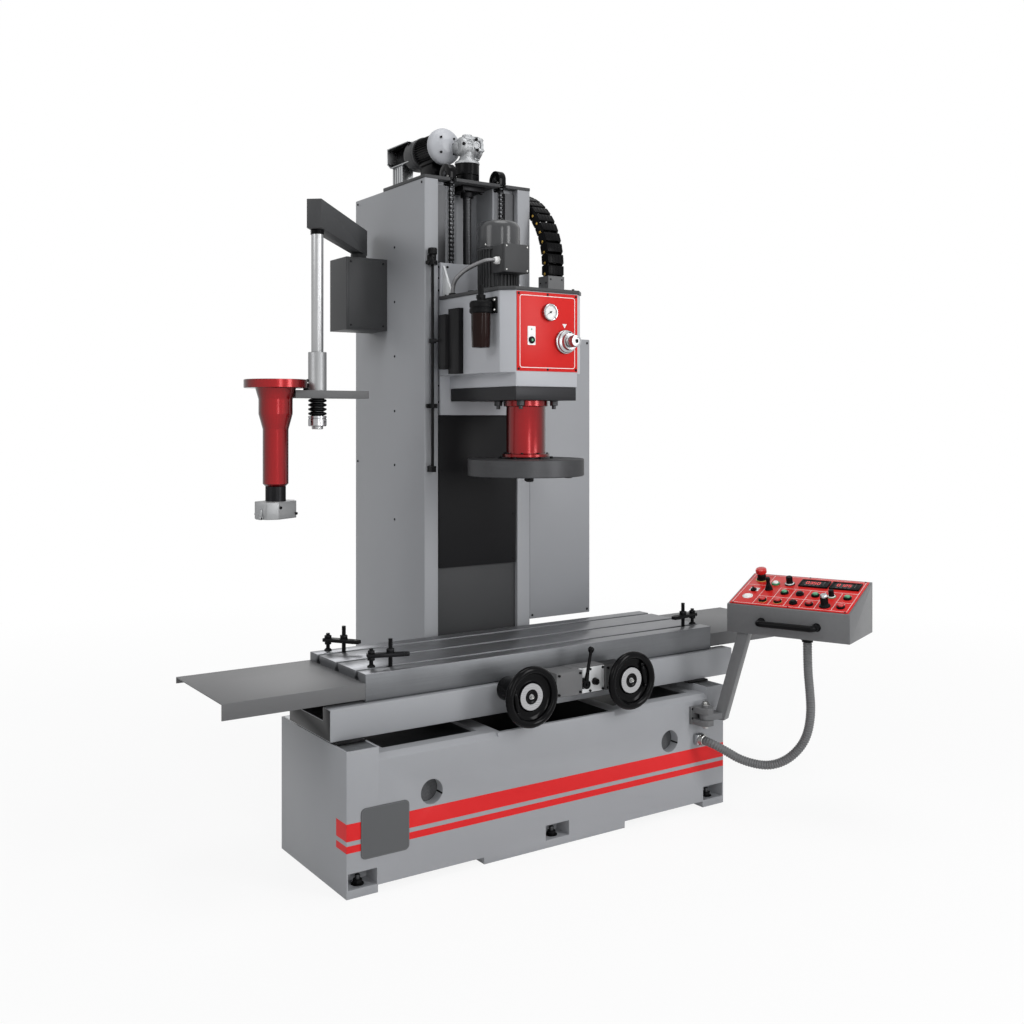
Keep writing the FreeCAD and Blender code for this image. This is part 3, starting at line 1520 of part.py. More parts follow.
nodes = { "base_casting": base_casting, "cross_ways": lambda: Part.makeCompound(way_strips()[0]),
         "deck_pans": lambda: Part.makeCompound(deck_pans()), "rear_base": rear_base, "column": column,
         "top_plate": top_plate, "guide_rails": lambda: Part.makeCompound(guide_rails()),
         "ball_screw": ball_screw, "screw_bearings": lambda: Part.makeCompound(screw_bearings()),
         "lift_gearbox": lift_gearbox, "lift_motor": lift_motor,
         "chain_guards": lambda: Part.makeCompound(chain_guards()),
         "sprockets": lambda: Part.makeCompound(sprockets()),
         "lift_chains": lambda: Part.makeCompound(lift_chains()), "slot_cover": slot_cover,
         "cabinet": cabinet, "stop_rod": stop_rod, "arm_box": arm_box, "pendant_bracket": pendant_bracket,
         "conduit_gland": conduit_gland, "chain_anchor": chain_anchor, "saddle": saddle,
         "gib_strips": lambda: Part.makeCompound(gib_strips()), "feed_box": feed_box,
         "left_handwheel": lambda: handwheel(wheel_spots()[0]),
         "right_handwheel": lambda: handwheel(wheel_spots()[1]), "feed_lever": feed_lever, "table": table,
         "left_cover": lambda: sheet_cover(-1), "right_cover": lambda: sheet_cover(1),
         "table_clamps": lambda: Part.makeCompound(table_clamps()), "carriage": carriage, "apron": apron,
         "head_body": head_body, "head_top_plate": head_top_plate, "head_foot_plate": head_foot_plate,
         "control_panel": control_panel, "air_gauge": air_gauge, "depth_knob": depth_knob,
         "lubricator": lubricator, "vent_boxes": vent_boxes, "spindle_motor": spindle_motor,
         "motor_gland": motor_gland, "motor_conduit": motor_conduit, "spindle_housing": spindle_housing,
         "milling_disc": milling_disc, "chain_bracket": chain_bracket, "energy_chain": energy_chain,
         "tool_arm": tool_arm, "arm_bar": arm_bar, "holder_plate": holder_plate,
         "spare_spindle": spare_spindle, "boring_head": boring_head, "pendant_arm": pendant_arm,
         "pendant_box": pendant_box, "pendant_panel": pendant_panel,
         "pendant_controls": lambda: Part.makeCompound(pendant_controls()),
         "pendant_handle": pendant_handle, "pendant_conduit": pendant_conduit, }

os.makedirs("parts", exist_ok=True)
for name, make in nodes.items():
    save(name, make())
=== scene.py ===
import math
import bmesh
import bpy
from mathutils import Matrix, Vector


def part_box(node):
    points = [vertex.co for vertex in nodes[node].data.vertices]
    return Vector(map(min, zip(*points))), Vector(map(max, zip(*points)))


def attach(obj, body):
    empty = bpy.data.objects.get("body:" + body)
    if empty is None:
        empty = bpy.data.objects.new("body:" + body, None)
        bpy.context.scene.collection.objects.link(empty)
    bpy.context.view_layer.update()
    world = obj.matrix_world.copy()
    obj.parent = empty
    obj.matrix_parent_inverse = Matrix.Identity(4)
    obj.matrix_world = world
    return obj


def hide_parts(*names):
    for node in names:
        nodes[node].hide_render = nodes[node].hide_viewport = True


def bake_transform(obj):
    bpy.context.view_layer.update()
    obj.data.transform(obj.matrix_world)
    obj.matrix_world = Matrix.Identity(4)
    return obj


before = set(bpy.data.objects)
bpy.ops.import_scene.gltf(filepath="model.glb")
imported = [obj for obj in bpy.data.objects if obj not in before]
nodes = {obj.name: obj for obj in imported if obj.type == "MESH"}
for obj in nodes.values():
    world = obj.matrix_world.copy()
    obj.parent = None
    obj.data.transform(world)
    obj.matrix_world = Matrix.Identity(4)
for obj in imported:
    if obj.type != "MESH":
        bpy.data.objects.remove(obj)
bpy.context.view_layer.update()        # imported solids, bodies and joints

print("frame loaded:", len(nodes), "nodes")

# Mesh helpers: sizes and places go in as millimetres of the row frame and come out as metres

unit = 0.001


def mm(*values):
    return Vector([v * unit for v in values])


def corners(node):
    # Lowest and highest corner of a CAD node in millimetres
    low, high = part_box(node)
    return [v / unit for v in low], [v / unit for v in high]


def addPiece(name, mesh, material, body, angle=35.0, replaced=()):
    # Names the mesh, gives it its finish and hangs it on its body
    obj = bpy.data.objects.new(name, mesh)
    bpy.context.scene.collection.objects.link(obj)
    if not isinstance(material, (list, tuple)):
        material = [material]
    if not mesh.materials:
        for one in material:
            mesh.materials.append(finishes[one])
    mesh.shade_smooth()
    mesh.set_sharp_from_angle(angle=math.radians(angle))
    if body:
        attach(obj, body)
    if replaced:
        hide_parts(*replaced)
    return obj


def finished(bm, name, material, body, angle=35.0, replaced=()):
    bmesh.ops.recalc_face_normals(bm, faces=bm.faces)
    mesh = bpy.data.meshes.new(name)
    bm.to_mesh(mesh)
    bm.free()
    return addPiece(name, mesh, material, body, angle, replaced)


def turnTo(direction):
    return Vector((0, 0, 1)).rotation_difference(Vector(direction).normalized()).to_matrix().to_4x4()


def turnAbout(verts, point, axis, degrees):
    # Turns vertices about a line through a point given in millimetres
    centre = mm(*point)
    turn = Matrix.Translation(centre) @ Matrix.Rotation(math.radians(degrees), 4, Vector(axis)) @ \
        Matrix.Translation(-centre)
    for v in verts:
        v.co = turn @ v.co
    return verts


def addBox(bm, low, high, bevel=0.0, segments=2, slot=0):
    # A box between two corners, with rounded edges
    size = mm(*[b - a for a, b in zip(low, high)])
    centre = mm(*[(a + b) / 2 for a, b in zip(low, high)])
    made = bmesh.ops.create_cube(bm, size=1.0)["verts"]
    bmesh.ops.scale(bm, vec=size, verts=made)
    bmesh.ops.translate(bm, vec=centre, verts=made)
    return rounded(bm, made, bevel, segments, slot)


def rounded(bm, made, bevel, segments, slot):
    # Rounds every edge of a fresh closed form and gives its faces their material slot
    faces = {f for v in made for f in v.link_faces}
    if bevel:
        edges = {e for v in made for e in v.link_edges}
        out = bmesh.ops.bevel(bm, geom=list(edges), offset=bevel * unit, segments=segments, affect="EDGES",
                              profile=0.5, clamp_overlap=True)
        faces = {f for f in faces if f.is_valid} | set(out["faces"])
        made = list({v for f in faces for v in f.verts})
    for f in faces:
        f.material_index = slot
    return made


def addLathe(bm, profile, base, direction=(0, 0, 1), steps=48, slot=0, close=True):
    # Revolves (radius, height) pairs about a line through base
    spin = turnTo(direction)
    spin.translation = mm(*base)
    rings = []
    for radius, height in profile:
        if radius < 1e-4:
            rings.append([bm.verts.new(spin @ mm(0, 0, height))])
            continue
        rings.append([bm.verts.new(spin @ mm(radius * math.cos(2 * math.pi * k / steps),
                                             radius * math.sin(2 * math.pi * k / steps), height))
                      for k in range(steps)])
    pairs = list(zip(rings, rings[1:]))
    if close and profile[0][0] > 1e-4 and profile[-1][0] > 1e-4:
        pairs.append((rings[-1], rings[0]))
    for a, b in pairs:
        for k in range(steps):
            n = (k + 1) % steps
            if len(a) == 1 and len(b) == 1:
                continue
            if len(a) == 1:
                face = bm.faces.new((a[0], b[n], b[k]))
            elif len(b) == 1:
                face = bm.faces.new((a[k], a[n], b[0]))
            else:
                face = bm.faces.new((a[k], a[n], b[n], b[k]))
            face.material_index = slot
    return [v for ring in rings for v in ring]


def addRod(bm, start, end, radius, steps=24, bevel=0.0, slot=0):
    # A round bar between two points, with eased ends
    line = Vector(end) - Vector(start)
    length = line.length
    e = min(bevel, radius * 0.6, length * 0.4)
    profile = [(0, 0), (radius, 0), (radius, length), (0, length)]
    if e:
        profile = [(0, 0), (radius - e, 0), (radius - 0.3 * e, 0.3 * e), (radius, e), (radius, length - e),
                   (radius - 0.3 * e, length - 0.3 * e), (radius - e, length), (0, length)]
    return addLathe(bm, profile, start, line, steps, slot)


def addPrism(bm, outline, sweep, bevel=0.0, segments=2, slot=0):
    # A closed outline pushed along a vector, with rounded edges
    base = [bm.verts.new(mm(*p)) for p in outline]
    face = bm.faces.new(base)
    out = bmesh.ops.extrude_face_region(bm, geom=[face])
    top = [v for v in out["geom"] if isinstance(v, bmesh.types.BMVert)]
    bmesh.ops.translate(bm, vec=mm(*sweep), verts=top)
    return rounded(bm, base + top, bevel, segments, slot)


def addTorus(bm, centre, direction, ring, tube, steps=64, sides=16, slot=0):
    profile = [(ring + tube * math.cos(2 * math.pi * k / sides), tube * math.sin(2 * math.pi * k / sides))
               for k in range(sides)]
    return addLathe(bm, profile, centre, direction, steps, slot)


def roundedOutline(width, height, radius, turns=6):
    # Corner-rounded rectangle about the origin, as (u, v) pairs
    points = []
    for cx, cy, start in ((1, 1, 0), (-1, 1, 90), (-1, -1, 180), (1, -1, 270)):
        for k in range(turns + 1):
            a = math.radians(start + 90.0 * k / turns)
            points.append((cx * (width / 2 - radius) + radius * math.cos(a),
                           cy * (height / 2 - radius) + radius * math.sin(a)))
    return points


def softened(name, cadNode, width, material, body, segments=2, angle=32.0, pick=None):
    # A copy of a CAD node with its triangles merged and its sharp edges rounded
    bm = bmesh.new()
    bm.from_mesh(nodes[cadNode].data)
    bmesh.ops.remove_doubles(bm, verts=bm.verts, dist=2e-6)
    bmesh.ops.dissolve_limit(bm, angle_limit=math.radians(1.0), verts=bm.verts, edges=bm.edges)
    sharp = [e for e in bm.edges if e.is_manifold and e.calc_face_angle(0) > math.radians(angle)]
    bmesh.ops.bevel(bm, geom=sharp, offset=width * unit, segments=segments, affect="EDGES", profile=0.5,
                    clamp_overlap=True)
    if pick:
        for f in bm.faces:
            f.material_index = pick(f.calc_center_median() / unit, f.normal)
    mesh = bpy.data.meshes.new(name)
    bm.to_mesh(mesh)
    bm.free()
    return addPiece(name, mesh, material, body, replaced=(cadNode,))


def dress(node, material):
    # A CAD node whose shape is right only takes a better finish
    data = nodes[node].data
    data.materials.clear()
    data.materials.append(finishes[material])


# Shader groups: each is built once and used by many finishes

def newGroup(name, inputs, outputs):
    tree = bpy.data.node_groups.new(name, "ShaderNodeTree")
    for label, kind, value in inputs:
        socket = tree.interface.new_socket(name=label, in_out="INPUT", socket_type=kind)
        socket.default_value = value
    for label, kind in outputs:
        tree.interface.new_socket(name=label, in_out="OUTPUT", socket_type=kind)
    return tree, tree.nodes.new("NodeGroupInput"), tree.nodes.new("NodeGroupOutput")


def link(tree, a, b):
    tree.links.new(a, b)


def noiseNode(tree, vector, scale, detail=3.0, roughness=0.55):
    node = tree.nodes.new("ShaderNodeTexNoise")
    node.inputs["Detail"].default_value = detail
    node.inputs["Roughness"].default_value = roughness
    link(tree, vector, node.inputs["Vector"])
    if isinstance(scale, (int, float)):
        node.inputs["Scale"].default_value = scale
    else:
        link(tree, scale, node.inputs["Scale"])
    return node.outputs["Fac"]


def mathNode(tree, operation, a, b=None, clamp=False):
    node = tree.nodes.new("ShaderNodeMath")
    node.operation = operation
    node.use_clamp = clamp
    for socket, value in zip(node.inputs, (a, b)):
        if value is None:
            continue
        if isinstance(value, (int, float)):
            socket.default_value = value
        else:
            link(tree, value, socket)
    return node.outputs[0]


def mixColor(tree, factor, a, b, blend="MIX"):
    node = tree.nodes.new("ShaderNodeMix")
    node.data_type = "RGBA"
    node.blend_type = blend
    for socket, value in ((node.inputs[0], factor), (node.inputs[6], a), (node.inputs[7], b)):
        if isinstance(value, (int, float, tuple)):
            socket.default_value = value
        else:
            link(tree, value, socket)
    return node.outputs[2]


def ramp(tree, value, low, high, outLow=0.0, outHigh=1.0):
    node = tree.nodes.new("ShaderNodeMapRange")
    link(tree, value, node.inputs["Value"])
    for label, number in (("From Min", low), ("From Max", high), ("To Min", outLow), ("To Max", outHigh)):
        if isinstance(number, (int, float)):
            node.inputs[label].default_value = number
        else:
            link(tree, number, node.inputs[label])
    return node.outputs["Result"]


def buildPaintSkin():
    # Sprayed paint: slow change of shade, fine orange peel and a little dust in the roughness
    tree, start, end = newGroup("paintSkin", [
        ("Base", "NodeSocketColor", (0.5, 0.5, 0.5, 1)), ("Mottle", "NodeSocketFloat", 0.08),
        ("Patch Scale", "NodeSocketFloat", 3.0), ("Peel Scale", "NodeSocketFloat", 260.0),
        ("Roughness", "NodeSocketFloat", 0.4), ("Spread", "NodeSocketFloat", 0.08)],
        [("Color", "NodeSocketColor"), ("Roughness", "NodeSocketFloat"), ("Height", "NodeSocketFloat")])
    place = tree.nodes.new("ShaderNodeTexCoord").outputs["Object"]
    patch = noiseNode(tree, place, start.outputs["Patch Scale"], 5.0, 0.6)
    peel = noiseNode(tree, place, start.outputs["Peel Scale"], 2.0, 0.5)
    speck = noiseNode(tree, place, 900.0, 1.0, 0.5)
    centred = mathNode(tree, "SUBTRACT", patch, 0.5)
    shade = mathNode(tree, "MULTIPLY_ADD", centred, start.outputs["Mottle"])
    shade.node.inputs[2].default_value = 1.0
    fine = mathNode(tree, "MULTIPLY_ADD", mathNode(tree, "SUBTRACT", speck, 0.5), 0.05)
    link(tree, shade, fine.node.inputs[2])
    tone = tree.nodes.new("ShaderNodeVectorMath")
    tone.operation = "SCALE"
    link(tree, start.outputs["Base"], tone.inputs[0])
    link(tree, fine, tone.inputs["Scale"])
    link(tree, tone.outputs[0], end.inputs["Color"])
    rough = mathNode(tree, "MULTIPLY_ADD", centred, start.outputs["Spread"])
    link(tree, start.outputs["Roughness"], rough.node.inputs[2])
    link(tree, rough, end.inputs["Roughness"])
    link(tree, peel, end.inputs["Height"])
    return tree


def buildMachinedGrain():
    # Ground or turned metal: streaks drawn out along one direction
    tree, start, end = newGroup("machinedGrain", [
        ("Base", "NodeSocketColor", (0.6, 0.6, 0.6, 1)), ("Stretch", "NodeSocketVector", (8.0, 400.0, 400.0)),
        ("Contrast", "NodeSocketFloat", 0.18), ("Stain", "NodeSocketFloat", 0.12),
        ("Roughness", "NodeSocketFloat", 0.35), ("Spread", "NodeSocketFloat", 0.2)],
        [("Color", "NodeSocketColor"), ("Roughness", "NodeSocketFloat"), ("Height", "NodeSocketFloat")])
    place = tree.nodes.new("ShaderNodeTexCoord").outputs["Object"]
    drawn = tree.nodes.new("ShaderNodeVectorMath")
    drawn.operation = "MULTIPLY"
    link(tree, place, drawn.inputs[0])
    link(tree, start.outputs["Stretch"], drawn.inputs[1])
    streak = noiseNode(tree, drawn.outputs[0], 1.0, 3.0, 0.6)
    stain = noiseNode(tree, place, 9.0, 4.0, 0.6)
    a = mathNode(tree, "MULTIPLY", mathNode(tree, "SUBTRACT", streak, 0.5), start.outputs["Contrast"])
    b = mathNode(tree, "MULTIPLY", mathNode(tree, "SUBTRACT", stain, 0.5), start.outputs["Stain"])
    shade = mathNode(tree, "ADD", mathNode(tree, "ADD", a, b), 1.0)
    tone = tree.nodes.new("ShaderNodeVectorMath")
    tone.operation = "SCALE"
    link(tree, start.outputs["Base"], tone.inputs[0])
    link(tree, shade, tone.inputs["Scale"])
    link(tree, tone.outputs[0], end.inputs["Color"])
    rough = mathNode(tree, "MULTIPLY_ADD", mathNode(tree, "SUBTRACT", streak, 0.5), start.outputs["Spread"])
    link(tree, start.outputs["Roughness"], rough.node.inputs[2])
    link(tree, rough, end.inputs["Roughness"])
    link(tree, streak, end.inputs["Height"])
    return tree


def buildCastSkin():
    # Sand-cast metal: coarse and fine grain that also darkens the hollows
    tree, start, end = newGroup("castSkin", [
        ("Base", "NodeSocketColor", (0.5, 0.5, 0.5, 1)), ("Grain Scale", "NodeSocketFloat", 140.0),
        ("Depth", "NodeSocketFloat", 0.35), ("Roughness", "NodeSocketFloat", 0.5),
        ("Spread", "NodeSocketFloat", 0.15)],
        [("Color", "NodeSocketColor"), ("Roughness", "NodeSocketFloat"), ("Height", "NodeSocketFloat")])
    place = tree.nodes.new("ShaderNodeTexCoord").outputs["Object"]
    coarse = noiseNode(tree, place, start.outputs["Grain Scale"], 4.0, 0.7)
    broad = noiseNode(tree, place, 14.0, 3.0, 0.5)
    mask = mathNode(tree, "MULTIPLY", ramp(tree, coarse, 0.35, 0.6, 1.0, 0.0), start.outputs["Depth"])
    tone = tree.nodes.new("ShaderNodeVectorMath")
    tone.operation = "SCALE"
    link(tree, start.outputs["Base"], tone.inputs[0])
    keep = mathNode(tree, "SUBTRACT", ramp(tree, broad, 0.3, 0.7, 0.92, 1.06), mask)
    link(tree, keep, tone.inputs["Scale"])
    link(tree, tone.outputs[0], end.inputs["Color"])
    rough = mathNode(tree, "MULTIPLY_ADD", mathNode(tree, "SUBTRACT", coarse, 0.5), start.outputs["Spread"])
    link(tree, start.outputs["Roughness"], rough.node.inputs[2])
    link(tree, rough, end.inputs["Roughness"])
    link(tree, coarse, end.inputs["Height"])
    return tree


def buildBand():
    # Mask of a level band between two heights
    tree, start, end = newGroup("levelBand", [
        ("Low", "NodeSocketFloat", 0.1), ("High", "NodeSocketFloat", 0.2)], [("Mask", "NodeSocketFloat")])
    place = tree.nodes.new("ShaderNodeTexCoord").outputs["Object"]
    split = tree.nodes.new("ShaderNodeSeparateXYZ")
    link(tree, place, split.inputs[0])
    above = mathNode(tree, "GREATER_THAN", split.outputs["Z"], start.outputs["Low"])
    below = mathNode(tree, "LESS_THAN", split.outputs["Z"], start.outputs["High"])
    link(tree, mathNode(tree, "MULTIPLY", above, below), end.inputs["Mask"])
    return tree


shaderGroups = {"paint": buildPaintSkin(), "machined": buildMachinedGrain(), "cast": buildCastSkin(),
                "band": buildBand()}


def makeFinish(name, kind, base, roughness, metallic=0.0, bump=0.1, bumpStep=0.0004, coat=0.0,
               coatRoughness=0.1,
               specular=0.5, values=None, glow=0.0, edge=1.0, grazeShade=None):
    # One Principled shader fed by one of the groups; the grazing share, where given, is painted shade: only that
    # share of the colour is left at a grazing view, which darkens the edges of round parts
    material = bpy.data.materials.new(name)
    material.use_nodes = True
    tree = material.node_tree
    shader = tree.nodes["Principled BSDF"]
    group = tree.nodes.new("ShaderNodeGroup")
    group.node_tree = shaderGroups[kind]
    group.inputs["Base"].default_value = (*base, 1.0)
    group.inputs["Roughness"].default_value = roughness
    for label, value in (values or {}).items():
        group.inputs[label].default_value = value
    color = group.outputs["Color"]
    # Painted shade: the colour darkens towards a grazing view
    if grazeShade is not None:
        facing = tree.nodes.new("ShaderNodeLayerWeight")
        facing.inputs["Blend"].default_value = 0.72
        color = mixColor(tree, facing.outputs["Facing"], color, tuple(v * grazeShade for v in base) + (1.0,))
    link(tree, color, shader.inputs["Base Color"])
    link(tree, group.outputs["Roughness"], shader.inputs["Roughness"])
    bumpNode = tree.nodes.new("ShaderNodeBump")
    bumpNode.inputs["Strength"].default_value = bump
    bumpNode.inputs["Distance"].default_value = bumpStep
    link(tree, group.outputs["Height"], bumpNode.inputs["Height"])
    link(tree, bumpNode.outputs["Normal"], shader.inputs["Normal"])
    shader.inputs["Metallic"].default_value = metallic
    shader.inputs["Coat Weight"].default_value = coat
    shader.inputs["Coat Roughness"].default_value = coatRoughness
    shader.inputs["Specular IOR Level"].default_value = specular
    shader.inputs["Specular Tint"].default_value = (edge, edge, edge, 1.0)
    if glow:
        link(tree, group.outputs["Color"], shader.inputs["Emission Color"])
        shader.inputs["Emission Strength"].default_value = glow
    material.diffuse_color = (*base, 1.0)
    finishes[name] = material
    return material


finishes = {}
makeFinish("greyPaint", "paint", (0.290, 0.297, 0.313), 0.44, bump=0.10, specular=0.3,
           values={"Mottle": 0.10, "Patch Scale": 2.6})
# A lighter copy of the grey paint for the head, its carriage and the motor bell: partly painted light, brighter
# where these parts look more lit
makeFinish("headPaint", "paint", (0.420, 0.430, 0.456), 0.40, bump=0.10, specular=0.35,
           values={"Mottle": 0.08, "Patch Scale": 2.6})
makeFinish("darkPaint", "paint", (0.055, 0.056, 0.058), 0.46, bump=0.14, specular=0.15,
           values={"Mottle": 0.16, "Patch Scale": 5.0})
makeFinish("coverPaint", "paint", (0.125, 0.126, 0.129), 0.50, bump=0.10, specular=0.2,
           values={"Mottle": 0.14, "Patch Scale": 3.5})
# Black paint for the oil pans, also used as painted shade in the recess under the saddle and on the saddle's
# undersides
makeFinish("panBlackAndShade", "paint", (0.012, 0.012, 0.013), 0.34, bump=0.08, specular=0.12,
           values={"Mottle": 0.5, "Patch Scale": 7.0, "Spread": 0.35})
makeFinish("hammerPaint", "paint", (0.125, 0.127, 0.131), 0.38, bump=0.55, bumpStep=0.0006, specular=0.3,
           values={"Mottle": 0.20, "Patch Scale": 60.0, "Peel Scale": 420.0})
makeFinish("blackPaint", "paint", (0.006, 0.006, 0.0065), 0.28, bump=0.08, specular=0.08,
           values={"Mottle": 0.3, "Patch Scale": 8.0})
makeFinish("whitePaint", "paint", (0.72, 0.73, 0.74), 0.36, bump=0.05, values={"Mottle": 0.05})
makeFinish("redPanel", "paint", (0.58, 0.016, 0.014), 0.34, bump=0.03, specular=0.15,
           values={"Mottle": 0.05})
makeFinish("redGloss", "paint", (0.50, 0.010, 0.010), 0.18, bump=0.02, specular=0.3, coat=0.25,
           values={"Mottle": 0.04})
makeFinish("figureRed", "paint", (0.80, 0.02, 0.02), 0.3, bump=0.01, glow=0.7,
           values={"Mottle": 0.05, "Patch Scale": 20.0})
makeFinish("yellowGloss", "paint", (0.62, 0.42, 0.10), 0.3, bump=0.02,
           values={"Mottle": 0.08, "Patch Scale": 20.0})
makeFinish("greenGloss", "paint", (0.02, 0.26, 0.11), 0.2, bump=0.02, coat=0.5, values={"Mottle": 0.04})
makeFinish("whiteGloss", "paint", (0.80, 0.80, 0.79), 0.2, bump=0.02, coat=0.4, values={"Mottle": 0.03})
makeFinish("blackGloss", "paint", (0.003, 0.003, 0.0035), 0.13, bump=0.04, specular=0.08,
           values={"Mottle": 0.2, "Spread": 0.12})
makeFinish("blackMatte", "paint", (0.006, 0.006, 0.0065), 0.42, bump=0.2, specular=0.06,
           values={"Mottle": 0.2, "Patch Scale": 12.0})
makeFinish("badgeGrey", "paint", (0.088, 0.091, 0.095), 0.34, bump=0.03, specular=0.3,
           values={"Mottle": 0.05})
makeFinish("groundSteel", "machined", (0.46, 0.47, 0.48), 0.30, 1.0, bump=0.05, edge=0.35,
           values={"Stretch": (6.0, 500.0, 500.0)})
# Guide-rail steel kept near black to stand for the dark surroundings it reflects: painted reflection
makeFinish("uprightSteel", "machined", (0.065, 0.066, 0.069), 0.40, 0.6, bump=0.05, edge=0.2,
           values={"Stretch": (500.0, 500.0, 6.0)})
makeFinish("turnedSteel", "machined", (0.40, 0.40, 0.41), 0.26, 1.0, bump=0.05, edge=0.25,
           values={"Stretch": (12.0, 12.0, 900.0)})
makeFinish("zincSteel", "machined", (0.42, 0.42, 0.41), 0.32, 1.0, bump=0.04, edge=0.3,
           values={"Stretch": (60.0, 60.0, 60.0)})
makeFinish("darkSteel", "machined", (0.055, 0.056, 0.059), 0.38, 0.75, bump=0.08, specular=0.2, edge=0.2,
           values={"Stretch": (30.0, 400.0, 400.0), "Contrast": 0.3})
makeFinish("blackOxide", "machined", (0.014, 0.014, 0.015), 0.34, 0.6, bump=0.06, specular=0.2, edge=0.2,
           values={"Stretch": (90.0, 90.0, 90.0), "Contrast": 0.4})
makeFinish("tableIron", "machined", (0.150, 0.155, 0.163), 0.42, 0.55, bump=0.10, specular=0.3, edge=0.4,
           values={"Stretch": (5.0, 260.0, 260.0), "Contrast": 0.30, "Stain": 0.35})
makeFinish("cowlPaint", "paint", (0.055, 0.056, 0.059), 0.17, bump=0.03, specular=0.3,
           values={"Mottle": 0.1, "Patch Scale": 6.0})
makeFinish("blackSheen", "paint", (0.004, 0.004, 0.0045), 0.30, bump=0.10, specular=0.06,
           values={"Mottle": 0.25, "Patch Scale": 20.0})
makeFinish("tableTop", "machined", (0.30, 0.305, 0.32), 0.34, 0.85, bump=0.06, edge=0.5,
           values={"Stretch": (4.0, 420.0, 420.0), "Contrast": 0.22, "Stain": 0.40})
makeFinish("footSteel", "machined", (0.030, 0.030, 0.032), 0.36, 0.45, bump=0.05, specular=0.2, edge=0.3,
           values={"Stretch": (5.0, 200.0, 200.0), "Contrast": 0.25})
makeFinish("apronBlack", "paint", (0.010, 0.010, 0.011), 0.46, bump=0.06, specular=0.1,
           values={"Mottle": 0.3, "Patch Scale": 4.0})
makeFinish("sleeveSteel", "machined", (0.30, 0.305, 0.31), 0.42, 0.6, bump=0.05, edge=0.3,
           values={"Stretch": (20.0, 20.0, 600.0), "Contrast": 0.15})
makeFinish("discIron", "machined", (0.062, 0.063, 0.066), 0.42, 0.6, bump=0.10, specular=0.2, edge=0.4,
           values={"Stretch": (14.0, 14.0, 500.0), "Contrast": 0.30, "Stain": 0.30})
makeFinish("castAluminium", "cast", (0.40, 0.41, 0.42), 0.50, 0.60, bump=0.35, edge=0.3, bumpStep=0.0006,
           values={"Grain Scale": 220.0, "Depth": 0.18})
# Dark iron for the porthole floors, darker than the paint round them: partly bare iron, partly painted shade in
# the recess
makeFinish("holeIron", "cast", (0.10, 0.102, 0.107), 0.6, bump=0.3, bumpStep=0.0008, specular=0.1,
           values={"Grain Scale": 160.0, "Depth": 0.25})
makeFinish("chromeBar", "machined", (0.38, 0.385, 0.39), 0.32, 0.75, bump=0.02, edge=0.2,
           values={"Stretch": (300.0, 300.0, 4.0), "Contrast": 0.06, "Spread": 0.06})
makeFinish("satinAluminium", "machined", (0.48, 0.49, 0.50), 0.28, 1.0, bump=0.05, edge=0.35,
           values={"Stretch": (14.0, 600.0, 14.0)})
# The red spindles take painted shade at their edges, darker at a grazing view
makeFinish("redAnodised", "machined", (0.34, 0.003, 0.006), 0.26, 0.45, bump=0.03, specular=0.10, coat=0.60,
           coatRoughness=0.18, edge=0.3, grazeShade=0.06,
           values={"Stretch": (10.0, 10.0, 700.0), "Contrast": 0.12, "Spread": 0.06})
makeFinish("amberBowl", "paint", (0.014, 0.006, 0.005), 0.16, bump=0.02, specular=0.08,
           values={"Mottle": 0.3, "Patch Scale": 20.0})
makeFinish("goldPin", "machined", (0.75, 0.48, 0.10), 0.32, 0.9, bump=0.03,
           values={"Stretch": (80.0, 80.0, 80.0)})
makeFinish("conduitGrey", "paint", (0.125, 0.127, 0.130), 0.46, bump=0.12, specular=0.3,
           values={"Mottle": 0.18, "Patch Scale": 14.0})
makeFinish("braidSilver", "machined", (0.22, 0.22, 0.225), 0.36, 0.8, bump=0.05, edge=0.2,
           values={"Stretch": (200.0, 200.0, 200.0), "Contrast": 0.3})
makeFinish("displayBlack", "paint", (0.010, 0.009, 0.010), 0.14, bump=0.01, specular=0.2,
           values={"Mottle": 0.1})


def stripedPaint():
    # The base's paint with its two level red stripes, along the front and just round the left corner
    stripes = {"wide": (0.167, 0.218), "narrow": (0.133, 0.154), "wrapBack": -0.219, "rightEnd": 0.672}
    material = makeFinish("stripedPaint", "paint", (0.290, 0.297, 0.313), 0.44, bump=0.10, specular=0.3,
                          values={"Mottle": 0.10, "Patch Scale": 2.6})
    tree = material.node_tree
    shader = tree.nodes["Principled BSDF"]
    masks = []
    for low, high in (stripes["wide"], stripes["narrow"]):
        band = tree.nodes.new("ShaderNodeGroup")
        band.node_tree = shaderGroups["band"]
        band.inputs["Low"].default_value = low
        band.inputs["High"].default_value = high
        masks.append(band.outputs["Mask"])
    place = tree.nodes.new("ShaderNodeTexCoord").outputs["Object"]
    split = tree.nodes.new("ShaderNodeSeparateXYZ")
    link(tree, place, split.inputs[0])
    near = mathNode(tree, "LESS_THAN", split.outputs["Y"], stripes["wrapBack"])
    notRight = mathNode(tree, "LESS_THAN", split.outputs["X"], stripes["rightEnd"])
    outside = mathNode(tree, "MULTIPLY", near, notRight)
    mask = mathNode(tree, "MULTIPLY", mathNode(tree, "ADD", masks[0], masks[1], True), outside)
    paint = shader.inputs["Base Color"].links[0].from_socket
    link(tree, mixColor(tree, mask, paint, (0.62, 0.007, 0.009, 1.0)), shader.inputs["Base Color"])


stripedPaint()
print("finishes:", len(finishes))


# Camera, lights and floor: the camera comes first, because the cords are measured against its view

view = {"place": (-2.2619, -3.2674, 1.3909), "turn": (90.0, 0.0, -33.99), "lens": 39.82, "shiftY": -0.0911,
        "target": (0.0, 0.1, 1.2)}


def setCamera():
    data = bpy.data.cameras.new("productView")
    data.lens = view["lens"]
    data.sensor_width = 36.0
    data.shift_y = view["shiftY"]
    data.clip_end = 60.0
    camera = bpy.data.objects.new("productView", data)
    bpy.context.scene.collection.objects.link(camera)
    camera.location = view["place"]
    camera.rotation_euler = [math.radians(v) for v in view["turn"]]
    bpy.context.scene.camera = camera


